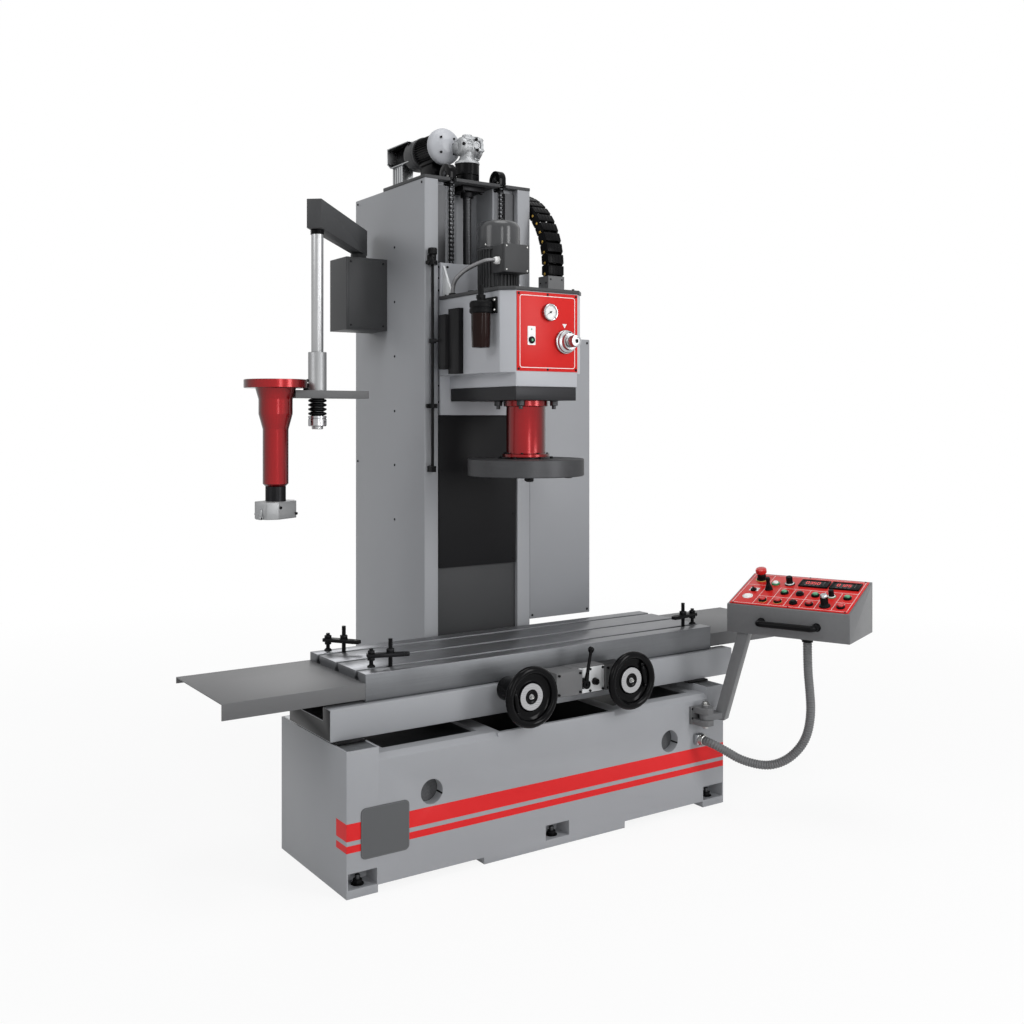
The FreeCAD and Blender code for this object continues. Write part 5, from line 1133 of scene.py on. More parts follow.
def dressLiftMotor():
    ax, az = liftLook["axisX"], liftLook["axisZ"]
    y0, y1, y2 = liftLook["bellBack"], liftLook["motorBack"], liftLook["cowlBack"]
    core, fin = liftLook["coreRadius"], liftLook["finRadius"]
    bm = bmesh.new()
    addLathe(bm, [(0, 0), (fin, 0), (fin, 9), (fin - 2, 11), (core, 12), (core, y1 - y0), (0, y1 - y0)],
             (ax, y0, az), (0, 1, 0), 72)
    addFins(bm, (ax, y0, az), (0, 1, 0), liftLook["finCount"], core - 1, fin, 8.0, y1 - y0 - 1, 3.0,
            skip=lambda angle: 45 < angle < 135)
    addBox(bm, (ax - 36, y0 + 10, az - 59.5), (ax + 36, y1 - 4, az - 40), 5.0, 3)
    finished(bm, "liftMotorBarrel", "blackSheen", "frame", replaced=("lift_motor",))
    bm = bmesh.new()
    r = liftLook["cowlRadius"]
    addLathe(bm, [(0, 0), (r, 0), (r, 12), (r - 1, 13), (r - 1, 15), (r, 16), (r, 62), (r - 1, 70),
                  (r - 5, 79),
                  (r - 12, y2 - y1), (0, y2 - y1)], (ax, y1, az), (0, 1, 0), 72)
    finished(bm, "liftMotorCowl", "darkPaint", "frame")
    # The open box behind the cowl: bright sheet round a black fill that stands for the shade inside it (painted
    # shade), on its bright folded post
    (x0, b0, z0), (x1, b1, z1) = liftLook["boxLow"], liftLook["boxHigh"]
    bm = bmesh.new()
    sheet = 3.6
    addBox(bm, (x0, b0, z1 - sheet), (x1, b1, z1), 1.0)
    addBox(bm, (x0, b1 - sheet, z0 + 18), (x1, b1, z1), 1.0)
    addBox(bm, (x0, b0, z0), (x1, b1 - 26, z0 + sheet), 1.0)
    corner = addBox(bm, (x0, b1 - sheet, z0 - 8), (x1, b1, z0 + 24), 1.0)
    turnAbout(corner, (0, b1 - sheet, z0 + 22), (1, 0, 0), -52)
    addBox(bm, (-112, 700, 2266.2), (-62, 780, z0), 1.5)
    for y in (708.0, 726.0, 744.0, 762.0):
        addBox(bm, (-112.0, y, 2266.2), (-106.0, y + 7, z0 - 4), 1.2)
    finished(bm, "liftFanBox", "satinAluminium", "frame")
    # Painted shade: black blocks fill the inside of the box, where only shade falls
    bm = bmesh.new()
    addBox(bm, (x0 + 44, b0, z0 + 2), (x1 - 1, b1 - 2, z1 - 1), 1.0)
    addBox(bm, (x0 + 2, b0 + 0.3, z0 + 2), (x1 - 1, b0 + 4, z1 - 2), 1.0)
    addBox(bm, (x0 + 8, b0 + 4, z0 + 3.8), (x0 + 46, b1 - 30, z0 + 6), 0.5)
    addBox(bm, (x0 + 8, b0 + 4, z1 - 6), (x0 + 46, b1 - 6, z1 - 3.8), 0.5)
    finished(bm, "liftFanBoxInside", "blackSheen", "frame")
    # A black box on the top plate and a step up to the barrel: partly a terminal box, partly painted shade for
    # the dark space under the motor
    bm = bmesh.new()
    addBox(bm, (-104, 486, 2266.2), (-26, 602, 2324), 3.0, 2)
    addBox(bm, (-92, 498, 2324), (-34, 590, 2372), 2.0)
    finished(bm, "liftTerminalBox", "blackSheen", "frame")


dressGearbox()
dressLiftMotor()
print("lift drive dressed")

# Balance chains: roller-chain links along each run, and their guards and sprockets

chainLook = {"pitch": 15.875, "x": (-110.0, 110.0), "frontY": 325.0, "backY": 375.0, "sprocketZ": 2298.0,
             "frontEnd": 1581.0, "backEnd": 1202.0}


def chainPath(step):
    # Places and directions at even steps: up the front, over the sprocket and down the back
    radius = (chainLook["backY"] - chainLook["frontY"]) / 2
    middle = (chainLook["backY"] + chainLook["frontY"]) / 2
    rise = chainLook["sprocketZ"] - chainLook["frontEnd"]
    arc = math.pi * radius
    total = rise + arc + chainLook["sprocketZ"] - chainLook["backEnd"]
    places = []
    for k in range(int(total / step)):
        s = (k + 0.5) * step
        if s < rise:
            places.append(((chainLook["frontY"], chainLook["frontEnd"] + s), (0, 1)))
        elif s < rise + arc:
            a = (s - rise) / radius
            places.append(((middle - radius * math.cos(a), chainLook["sprocketZ"] + radius * math.sin(a)),
                           (math.sin(a), math.cos(a))))
        else:
            down = s - rise - arc
            places.append(((chainLook["backY"], chainLook["sprocketZ"] - down), (0, -1)))
    return places


def buildPlatePair(bm, half, thick, gap):
    # Two figure-eight plates a gap apart; local x runs along the chain and z across it
    waist, end = 3.6, 6.2
    side = [(-half, end), (-half * 0.4, waist), (half * 0.4, waist), (half, end), (half + 4.6, 4.2),
            (half + 6.0, 0),
            (half + 4.6, -4.2), (half, -end), (half * 0.4, -waist), (-half * 0.4, -waist), (-half, -end),
            (-half - 4.6, -4.2), (-half - 6.0, 0), (-half - 4.6, 4.2)]
    for s in (-1, 1):
        z = s * gap
        addPrism(bm, [(u, v, z) for u, v in side], (0, 0, s * thick))


def dressChains():
    pitch = chainLook["pitch"]
    outerLink = templateObject("outerLink", lambda b: buildPlatePair(b, pitch / 2 * 0.98, 1.3, 7.4))
    innerLink = templateObject("innerLink", lambda b: buildPlatePair(b, pitch / 2 * 0.98, 1.3, 5.9))
    pin = templateObject("chainPin", lambda b: (addRod(b, (0, 0, -9.6), (0, 0, 9.6), 2.5, 10, 0.5),
                                                addRod(b, (0, 0, -5.6), (0, 0, 5.6), 4.6, 12)))
    outer, inner, pins = [], [], []
    for x in chainLook["x"]:
        for k, ((y, z), (dy, dz)) in enumerate(chainPath(pitch)):
            spot = ((x, y, z), (1, 0, 0), (0, dy, dz))
            (outer if k % 2 else inner).append(spot)
            pins.append(((x, y - dy * pitch / 2, z - dz * pitch / 2), (1, 0, 0), (0, dy, dz)))
    scatter("chainOuterLinks", outerLink, outer, "blackOxide", "frame")
    scatter("chainInnerLinks", innerLink, inner, "blackOxide", "frame")
    scatter("chainPins", pin, pins, "darkSteel", "frame", replaced=("lift_chains",))


def dressGuards():
    softened("chainGuardShells", "chain_guards", 2.0, "blackGloss", "frame")
    bm = bmesh.new()
    teeth = {"count": 10, "root": 18.0, "tip": 22.0, "half": 5.0}
    middle = (chainLook["frontY"] + chainLook["backY"]) / 2
    for x in chainLook["x"]:
        outline = []
        for k in range(teeth["count"] * 4):
            a = 2 * math.pi * k / (teeth["count"] * 4)
            r = (teeth["root"], teeth["root"], teeth["tip"], teeth["tip"])[k % 4]
            outline.append((x - teeth["half"], middle + r * math.cos(a),
                            chainLook["sprocketZ"] + r * math.sin(a)))
        addPrism(bm, outline, (2 * teeth["half"], 0, 0))
        addRod(bm, (x - 17.9, middle, chainLook["sprocketZ"]), (x + 17.9, middle, chainLook["sprocketZ"]),
               9.9, 24, 1.0)
    finished(bm, "chainSprockets", "darkSteel", "frame", replaced=("sprockets",))
    spots = [((x + s * 15.0, middle + dy, 2285.0), (s, 0, 0)) for x in chainLook["x"] for s in (-1, 1)
             for dy in (-28.0, 28.0)]
    scatter("guardScrews", capScrew, spots, "zincSteel", "frame", 7.0)


dressChains()
dressGuards()
print("balance chains dressed")

# Cabinet, tool arm box, stop rod, pendant bracket and gland

sideLook = {"rod": (-212.0, 286.0), "collars": (1946.0, 1429.0), "knobLow": 1984.0,
            "swing": (545.0, -329.0), "gland": (541.0, 253.0)}


def dressCabinet():
    low, high = corners("cabinet")
    softened("cabinetBody", "cabinet", 3.0, "greyPaint", "frame")
    bm = bmesh.new()
    x = high[0]
    addBox(bm, (x - 1.0, low[1] + 24, low[2] + 26), (x + 1.6, high[1] - 20, high[2] - 26), 1.2)
    finished(bm, "cabinetDoor", "greyPaint", "frame")
    bm = bmesh.new()
    for z in (low[2] + 150, high[2] - 150):
        addRod(bm, (x + 3.6, low[1] + 21.5, z - 28), (x + 3.6, low[1] + 21.5, z + 28), 4.2, 14, 0.8)
    addLathe(bm, [(0, 0), (13, 0), (13, 4), (11, 6), (0, 6)], (x + 1.4, high[1] - 44, 1180), (1, 0, 0), 28)
    addBox(bm, (x + 6.6, high[1] - 46, 1170), (x + 9.0, high[1] - 42, 1190), 0.6)
    finished(bm, "cabinetHinges", "blackOxide", "frame")
    spots = [((low[0] + 12.0, low[1], high[2] - 14.0), (0, -1, 0)),
             ((high[0] - 14.0, low[1], high[2] - 14.0), (0, -1, 0)),
             ((low[0] + 12.0, low[1], low[2] + 14.0), (0, -1, 0)),
             ((high[0] - 14.0, low[1], low[2] + 14.0), (0, -1, 0))]
    scatter("cabinetScrews", flushScrew, spots, "blackOxide", "frame", 10.0)
    softened("chainAnchorShell", "chain_anchor", 1.5, "darkPaint", "frame")


def dressArmBox():
    low, high = corners("arm_box")
    softened("armBoxShell", "arm_box", 1.6, "darkPaint", "frame")
    bm = bmesh.new()
    addBox(bm, (low[0] + 10, low[1] - 1.6, low[2] + 10), (high[0] - 10, low[1] + 1, high[2] - 10), 1.0)
    finished(bm, "armBoxLid", "darkPaint", "frame")
    spots = [((x, low[1] - 1.6, z), (0, -1, 0)) for x in (low[0] + 18, high[0] - 18)
             for z in (low[2] + 18, high[2] - 18)]
    scatter("armBoxScrews", flushScrew, spots, "blackOxide", "frame", 8.0)


def dressStopRod():
    x, y = sideLook["rod"]
    bm = bmesh.new()
    addRod(bm, (x, y, 1198), (x, y, 1986), 5.5, 20, 0.8)
    for z in (1198.0, 1962.0):
        addBox(bm, (x - 10, y - 10, z), (x + 10, 309, z + 22), 1.5)
    for z in sideLook["collars"]:
        addLathe(bm, [(0, 0), (17, 0), (18, 1), (18, 15), (17, 16), (0, 16)], (x, y, z), steps=40)
        addRod(bm, (x - 16, y, z + 8), (x - 26, y, z + 8), 6.9, 18, 1.0)
        for k in range(12):
            a = math.radians(30 * k)
            addRod(bm, (x - 18, y + 6.4 * math.cos(a), z + 8 + 6.4 * math.sin(a)),
                   (x - 25.4, y + 6.4 * math.cos(a), z + 8 + 6.4 * math.sin(a)), 0.9, 6)
    z = sideLook["knobLow"]
    addLathe(bm, [(0, 0), (15, 0), (16, 1.5), (16, 22), (14.5, 24), (0, 24)], (x, y, z), steps=40)
    for k in range(28):
        a = 2 * math.pi * k / 28
        addRod(bm, (x + 16 * math.cos(a), y + 16 * math.sin(a), z + 3),
               (x + 16 * math.cos(a), y + 16 * math.sin(a), z + 21), 0.95, 6)
    finished(bm, "stopRod", "blackPaint", "frame", replaced=("stop_rod",))
    spots = [((x, y - 18, zc + 8), (0, -1, 0)) for zc in sideLook["collars"]]
    spots += [((x, y - 10, zc + 11), (0, -1, 0)) for zc in (1198.0, 1962.0)]
    scatter("stopRodScrews", capScrew, spots, "blackOxide", "frame", 6.0)


def dressBracket():
    softened("pendantBracketShell", "pendant_bracket", 1.6, "coverPaint", "frame",
             angle=50.0)
    x, y = sideLook["swing"]
    spots = [((x, y, 379.8), (0, 0, 1), (1, 0, 0), 12.0, 1.0),
             ((x, y, 308.0), (0, 0, -1), (1, 0, 0), 12.0, 1.0)]
    scatter("bracketBolts", hexBolt, spots, "zincSteel", "frame", 20.0)
    spots = [((x + s * 33.0, -297.0, z), (0, -1, 0)) for s in (-1, 1) for z in (329.0, 362.0)]
    scatter("bracketScrews", flushScrew, spots, "blackOxide", "frame", 9.0)
    gx, gz = sideLook["gland"]
    bm = bmesh.new()
    addBox(bm, (gx - 18, -313, gz - 18), (gx + 18, -289, gz + 18), 3.0, 3)
    finished(bm, "conduitGlandBody", "satinAluminium", "frame",
             replaced=("conduit_gland",))
    bm = bmesh.new()
    addLathe(bm, [(16.2, -2), (19.5, -2), (19.5, 8), (18.2, 10), (18.2, 16), (16.4, 17), (16.2, 17)],
             (gx, -313.0, gz), (0, -1, 0), 40)
    addPrism(bm, [(px + gx, -311.5, pz + gz) for px, pz, _ in hexagon(21.5, 0)], (0, -6, 0), bevel=1.0)
    finished(bm, "conduitGlandNut", "zincSteel", "frame")


dressCabinet()
dressArmBox()
dressStopRod()
dressBracket()
print("side pieces of the frame dressed")


# Saddle, its gib ends and the feed drive in front

feedLook = {"wheelFront": -357.0, "wheelZ": 514.0, "wheels": (("leftHandwheel", "left_handwheel", -215.0,
                                                               -100.0),
                                                             ("rightHandwheel", "right_handwheel", 193.0,
                                                              78.0)),
            "lever": (47.0, 508.0), "leverLean": 11.0, "leverLength": 115.0, "knob": (100.0, 508.0)}


def dressSaddle():
    # Painted shade: faces in the band 490 to 530.6 mm high and the faces that look down below 436 mm take the
    # black pan paint
    softened("saddleShell", "saddle", 2.2, ["greyPaint", "panBlackAndShade"], "saddle",
             pick=lambda c, n: 1 if 490 < c.z < 530.6 and -147.6 < c.y < 46.6 or c.z < 436 and n.z < -0.5 else 0)
    softened("gibEnds", "gib_strips", 1.0, "blackPaint", "saddle")
    gibLow, gibHigh = corners("gib_strips")
    spots = [((x, gibLow[1], 432.0), (0, -1, 0)) for x in (gibLow[0] + 12, gibLow[0] + 78, gibHigh[0] - 12,
                                                         gibHigh[0] - 78)]
    scatter("gibScrews", capScrew, spots, "blackOxide", "saddle", 4.6)


def dressFeedBox():
    def finishOf(c, n):
        if c.y < -302 or (c.y < -222 and (abs(c.x + 215) < 39.5 or abs(c.x - 193) < 39.5) and abs(n.y) < 0.5
                          and not (142 < c.x < 154 or 231 < c.x < 233)):
            return 1
        if c.y < -258.5 and 29 < c.x < 65 and 490 < c.z < 526:
            return 1
        return 0
    softened("feedHousing", "feed_box", 1.6, ["coverPaint", "blackPaint"], "saddle",
             pick=finishOf)
    bm = bmesh.new()
    addBox(bm, (28, -261.5, 473), (141, -258, 557), 1.2)
    finished(bm, "leverPlate", "whitePaint", "saddle")
    bm = bmesh.new()
    kx, kz = feedLook["knob"]
    addLathe(bm, [(0, 0), (12, 0), (12, 4), (10.5, 6), (10.5, 15), (9, 17), (0, 17)], (kx, -261, kz),
             (0, -1, 0), 32)
    addBox(bm, (kx - 1.4, -280.4, kz - 9), (kx + 1.4, -277.4, kz + 9), 0.6)
    lx, lz = feedLook["lever"]
    addBox(bm, (lx - 17.5, -272.9, lz - 17.5), (lx + 17.5, -258.6, lz + 17.5), 2.5)
    finished(bm, "leverBlock", "blackPaint", "saddle")
    spots = [((27.0, y, z), (1, 0, 0)) for y in (-279.0, -228.0) for z in (488.0, 551.0)]
    spots += [((x, -289.0, z), (0, -1, 0)) for x in (-69.0, 18.0) for z in (488.0, 551.0)]
    spots += [((x, -270.0, z), (0, -1, 0)) for x in (150.0, 224.0) for z in (481.0, 549.0)]
    spots += [((x, -261.5, z), (0, -1, 0)) for x in (134.0, 80.0) for z in (479.0, 551.0)]
    scatter("feedHousingScrews", capScrew, spots, "blackOxide", "saddle", 8.5)
    bm = bmesh.new()
    for x in (-215.0, 193.0):
        addLathe(bm, [(13, -4.6), (20, -4.6), (22, -3), (22, 1), (13, 1)], (x, -304.0, feedLook["wheelZ"]),
                 (0, 1, 0), 40)
    finished(bm, "wheelBearingRings", "turnedSteel", "saddle")


def dressHandwheel(name, node, x, handleTurn):
    front, z = feedLook["wheelFront"], feedLook["wheelZ"]
    bm = bmesh.new()
    addTorus(bm, (x, front + 13.0, z), (0, 1, 0), 85.0, 12.9, 96, 20)
    addLathe(bm, [(0, 16.5), (13, 16.5), (14.5, 15), (23, 14.2), (43.5, 14.2), (45, 16), (48, 20), (60, 22.5),
                  (72, 20.5), (77, 15), (82, 13), (82, 20), (77, 25.5), (60, 28), (38, 27), (34.5, 31),
                  (33, 40),
                  (33, 46), (31, 48), (12, 48), (11.9, 106), (0, 106)], (x, front, z), (0, 1, 0), 72)
    for s in (-1, 1):
        ear = addBox(bm, (x + s * 37 - 5, front + 12, z + 50), (x + s * 37 + 5, front + 26, z + 66), 2.0)
        turnAbout(ear, (x, 0, z), (0, 1, 0), handleTurn)
    finished(bm, name, "blackGloss", node, 40.0, (node,))
    bm = bmesh.new()
    grip = addLathe(bm, [(0, 0), (5, 0), (8.2, 4), (9.2, 16), (8.4, 30), (9.4, 44), (9.0, 56), (6.5, 62),
                         (0, 63)],
                    (x - 31.5, front + 17.5, z + 58), (1, 0, 0), 28)
    turnAbout(grip, (x, 0, z), (0, 1, 0), handleTurn)
    finished(bm, name + "Grip", "blackGloss", node, 50.0)
    bm = bmesh.new()
    addLathe(bm, [(23.4, 13.4), (24.2, 12.6), (41.8, 12.6), (43.0, 13.6), (43.0, 15.6), (23.4, 15.6)],
             (x, front, z), (0, 1, 0), 72)
    addLathe(bm, [(0, 13.6), (8.0, 13.6), (8.8, 14.4), (8.8, 17), (0, 17)], (x, front, z), (0, 1, 0), 32)
    finished(bm, name + "Ring", "turnedSteel", node)
    scatter(name + "Bolt", capScrew, [((x, front + 13.8, z), (0, -1, 0))], "zincSteel", node,
            11.0)


def dressLever():
    x, z = feedLook["lever"]
    y = -282.3
    bm = bmesh.new()
    addLathe(bm, [(0, 0), (13, 0), (15, 2), (15, 16.5), (13.6, 18), (0, 18)], (x, y - 9, z), (0, 1, 0), 40)
    addRod(bm, (x, y + 8.8, z), (x, y + 27.0, z), 5.9, 20)
    length = feedLook["leverLength"]
    stem = addLathe(bm, [(0, 8), (8.0, 8), (7.6, 20), (5.8, 40), (5.0, length - 22), (5.4, length - 11),
                         (8.6, length - 7), (10.9, length), (10.6, length + 3), (8.6, length + 6.8),
                         (5.0, length + 9.6), (0, length + 10.9)], (x, y, z), (0, 0, 1), 28)
    turnAbout(stem, (x, y, z), (0, 1, 0), feedLook["leverLean"])
    finished(bm, "feedLever", "blackGloss", "feed_lever", 40.0, ("feed_lever",))
    scatter("feedLeverScrew", capScrew, [((x, y - 9.0, z), (0, -1, 0))], "blackOxide", "feed_lever",
            9.0)


dressSaddle()
dressFeedBox()
for wheelName, wheelNode, wheelX, gripTurn in feedLook["wheels"]:
    dressHandwheel(wheelName, wheelNode, wheelX, gripTurn)
dressLever()
print("saddle and feed drive dressed")

# Table, sheet covers and strap clamps

tableLook = {"top": 617.0, "clamps": ((-622.0, 164.0, -55.0), (-596.0, -116.0, -20.0),
                                    (633.0, -116.0, -168.0))}


def addNut(bm, x, y, low, across, high, turn=0.0, slot=0):
    outline = [(px + x, py + y, low) for px, py, _ in hexagon(across / 1.732, 0, turn)]
    return addPrism(bm, outline, (0, 0, high), bevel=0.9, segments=1, slot=slot)


def addClamp(bm, x, y, turn):
    # A strap clamp: threaded stud, plain strap, nut on a washer and a jack screw under the heel
    top = tableLook["top"]
    addThread(bm, x, y, top - 20.0, top + 86.0, 6.9, 2.4, 0.9, 14)
    addBox(bm, (x - 13.9, y - 13.9, top - 31.9), (x + 13.9, y + 13.9, top - 20.2), 1.0)
    made = addBox(bm, (x - 74, y - 14, top + 30), (x + 44, y + 14, top + 42), 2.0)
    made += addPrism(bm, [(x + 44, y - 13.8, top + 30.2), (x + 60, y - 9, top + 30.2),
                          (x + 60, y + 9, top + 30.2),
                          (x + 44, y + 13.8, top + 30.2)], (0, 0, 11.6), bevel=1.0)
    made += addNut(bm, x, y, top + 44, 23, 11.5, 10)
    made += addRod(bm, (x, y, top + 42), (x, y, top + 44.4), 13.4, 28, 0.5)
    made += addNut(bm, x - 60, y, top + 42, 21, 9.0, 25)
    made += addNut(bm, x - 60, y, top + 21, 21, 9.0, 5)
    before = set(bm.verts)
    addThread(bm, x - 60, y, top + 6.0, top + 58.0, 6.6, 2.4, 0.8, 14)
    made += [v for v in bm.verts if v not in before]
    made += addLathe(bm, [(0, 0), (12, 0), (13, 1.2), (12, 4), (8, 7.8), (0, 7.8)], (x - 60, y, top),
                     steps=28)
    turnAbout(made, (x, y, 0), (0, 0, 1), turn)


def dressTable():
    softened("tableShell", "table", 1.0, ["tableIron", "tableTop"], "table",
             pick=lambda c, n: 1 if n.z > 0.9 and c.z > 616.5 else 0)
    for name, node in (("leftSheet", "left_cover"), ("rightSheet", "right_cover")):
        softened(name, node, 0.9, "coverPaint", "table")
    bm = bmesh.new()
    for x, y, turn in tableLook["clamps"]:
        addClamp(bm, x, y, turn)
    finished(bm, "strapClamps", "blackOxide", "table", 35.0, ("table_clamps",))


dressTable()
print("table dressed")


# Head: castings, apron, red panel with its gauge, switch and turning knob

headLook = {"panelFace": -131.0, "panelCentre": (0.0, 1686.0), "panelSize": (254.0, 268.0),
            "border": {"inset": 11.0, "width": 2.2, "corner": 10.0}, "gauge": (4.0, 1753.5, 29.0),
            "switch": (-68.0, 1672.0), "knob": (71.0, 1655.0), "boltSquare": 70.0}


def addOutlineStrip(bm, centre, y, size, corner, width, lift=0.35, slot=0, turns=6):
    # A thin painted line that follows a rounded rectangle on a face that looks to the front
    loops = []
    for less in (0.0, width):
        loops.append([(centre[0] + u, y, centre[1] + v)
                      for u, v in roundedOutline(size[0] - 2 * less, size[1] - 2 * less, corner - less,
                                                 turns)])
    count = len(loops[0])
    rows = []
    for depth in (0.1, -lift):
        rows.append([[bm.verts.new(mm(p[0], p[1] + depth, p[2])) for p in loop] for loop in loops])
    for k in range(count):
        n = (k + 1) % count
        (a0, b0), (a1, b1) = rows
        for face in ((a1[k], a1[n], b1[n], b1[k]), (a0[k], a0[n], a1[n], a1[k]), (b1[k], b1[n], b0[n], b0[k]),
                     (b0[k], b0[n], a0[n], a0[k])):
            bm.faces.new(face).material_index = slot


def dressHeadBody():
    softened("headCasting", "head_body", 3.0, "headPaint", "head")
    softened("headTopPlate", "head_top_plate", 1.2, "darkPaint", "head")
    softened("headFootPlate", "head_foot_plate", 1.5, "footSteel", "head")
    # The carriage takes the lighter head paint to lift its shaded faces: painted light
    softened("carriageShell", "carriage", 1.5, "headPaint", "head")
    softened("apronSheet", "apron", 0.8, "apronBlack", "head")
    # Two gussets under the top plate, white to stand for the bright light on them: a painted highlight
    bm = bmesh.new()
    for x in (-160.0, 152.0):
        addPrism(bm, [(x, 304.5, 1836), (x, 236, 1836), (x, 240, 1842), (x, 298, 1948), (x, 304.5, 1950)],
                 (8, 0, 0),
                 bevel=1.2)
    finished(bm, "headGussets", "whitePaint", "head")
    spots = [((-168.0, 317.0, z), (-1, 0, 0)) for z in (1452.0, 1512.0, 1860.0, 1905.0, 1946.0)]
    spots += [((168.0, 317.0, z), (1, 0, 0)) for z in (1452.0, 1512.0, 1860.0, 1905.0, 1946.0)]
    spots += [((x, 304.0, 1946.0), (0, -1, 0)) for x in (-140.0, 0.0, 140.0)]
    scatter("carriageScrews", capScrew, spots, "blackOxide", "head", 8.0)
    spots = [((s * 158.0, 313.0, z), (0, -1, 0)) for s in (-1, 1) for z in (860.0, 1030.0, 1200.0, 1385.0)]
    scatter("apronScrews", flushScrew, spots, "blackOxide", "head", 7.0)
    spots = [((x, y, 1836.0), (0, 0, 1)) for x, y in ((-118, -118), (118, -118), (-160, -60), (160, -60),
                                                      (-160, 120),
                                                     (160, 120), (-160, 280), (60, 280))]
    scatter("headPlateScrews", capScrew, spots, "blackOxide", "head", 9.0)
    s = headLook["boltSquare"]
    spots = [((sx * s, sy * s, 1454.0), (0, 0, -1), (1, 0, 0), 20.0) for sx in (-1, 1) for sy in (-1, 1)]
    stub = templateObject("hangingBolt", lambda b: (
        addLathe(b, [(0, 0), (0.6, 0), (0.6, 0.08), (0, 0.08)], (0, 0, 0), steps=18),
        addPrism(b, hexagon(0.56, 0.08), (0, 0, 0.62), bevel=0.05, segments=1),
        addRod(b, (0, 0, 0.6), (0, 0, 1.15), 0.28, 12, 0.05)))
    scatter("footPlateBolts", stub, spots, "darkSteel", "head", 26.0)


def dressPanel():
    face = headLook["panelFace"]
    softened("panelPlate", "control_panel", 0.6, "redPanel", "head")
    border = headLook["border"]
    size = [v - 2 * border["inset"] for v in headLook["panelSize"]]
    bm = bmesh.new()
    addOutlineStrip(bm, headLook["panelCentre"], face, size, border["corner"], border["width"])
    kx, kz = headLook["knob"]
    addPrism(bm, [(kx - 9, face + 0.2, kz + 62), (kx, face + 0.2, kz + 47), (kx + 9, face + 0.2, kz + 62)],
             (0, -0.6, 0))
    finished(bm, "panelLines", "whiteGloss", "head")
    cx, cz = headLook["panelCentre"]
    spots = [((cx + sx * 120.0, face, cz + sz * 127.0), (0, -1, 0)) for sx in (-1, 1) for sz in (-1, 1)]
    spots += [((cx, face, cz + sz * 127.5), (0, -1, 0)) for sz in (-1, 1)]
    scatter("panelScrews", flushScrew, spots, "blackOxide", "head", 9.0)
    sx, sz = headLook["switch"]
    bm = bmesh.new()
    addPlateOnFront(bm, (sx, sz), face + 0.2, 32.0, 64.0, 3.0, 1.4)
    finished(bm, "switchPlate", "whiteGloss", "head")
    bm = bmesh.new()
    addLathe(bm, [(9.2, 0), (12.2, 0), (12.2, 3.2), (11, 4.6), (9.4, 4.6), (9.0, 2.0)],
             (sx, face - 1.0, sz - 15),
             (0, -1, 0), 36)
    finished(bm, "switchBezel", "blackGloss", "head")
    bm = bmesh.new()
    addLathe(bm, [(0, 0), (9.4, 0), (9.4, 4.2), (8.2, 5.6), (0, 6.2)], (sx, face - 1.0, sz - 15),
             (0, -1, 0), 32)
    finished(bm, "switchButton", "blackPaint", "head")
    bm = bmesh.new()
    addLathe(bm, [(0, 0), (4.6, 0), (4.6, 1.0), (3.8, 1.5), (0, 1.6)], (sx, face - 6.6, sz - 15),
             (0, -1, 0), 24)
    addLathe(bm, [(0, 0), (2.6, 0), (2.6, 0.5), (0, 0.5)], (sx, face - 1.1, sz + 21), (0, -1, 0), 20)
    finished(bm, "switchMarks", "greenGloss", "head")


def dressGauge():
    x, z, r = headLook["gauge"]
    face = headLook["panelFace"]
    bm = bmesh.new()
    addLathe(bm, [(r - 5, 11.0), (r - 4, 15.4), (r - 1.5, 15.9), (r, 14), (r, 3), (r - 1.5, 2), (r - 1.5, 0),
                  (0, 0), (0, 11.0)], (x, face, z), (0, -1, 0), 64, close=False)
    finished(bm, "gaugeCase", "turnedSteel", "head", replaced=("air_gauge",))
    bm = bmesh.new()
    addLathe(bm, [(0, 11.4), (r - 4.6, 11.4), (r - 4.6, 10.6), (0, 10.6)], (x, face, z), (0, -1, 0), 48)
    finished(bm, "gaugeDial", "whiteGloss", "head")
    bm = bmesh.new()
    for k in range(31):
        a = math.radians(225 - 9 * k)
        reach = 5.0 if k % 5 == 0 else 2.6
        bar = addBox(bm, (x - 0.35, face - 11.9, z + r - 6 - reach), (x + 0.35, face - 11.3, z + r - 6))
        turnAbout(bar, (x, 0, z), (0, 1, 0), 90 - math.degrees(a))
    needle = addPrism(bm, [(x - 1.1, face - 12.6, z - 7), (x + 1.1, face - 12.6, z - 7),
                           (x + 0.3, face - 12.6, z + 18),
                           (x - 0.3, face - 12.6, z + 18)], (0, -0.6, 0))
    turnAbout(needle, (x, 0, z), (0, 1, 0), -120)
    addLathe(bm, [(0, 0), (3.2, 0), (3.2, 1.6), (0, 2.2)], (x, face - 12.0, z), (0, -1, 0), 24)
    bezelScrew = (x + 17.5, face - 14.6, z - 19.5)
    addLathe(bm, [(0, 0), (2.6, 0), (2.6, 1.4), (0, 1.6)], bezelScrew, (0, -1, 0), 16)
    finished(bm, "gaugeMarks", "blackPaint", "head")


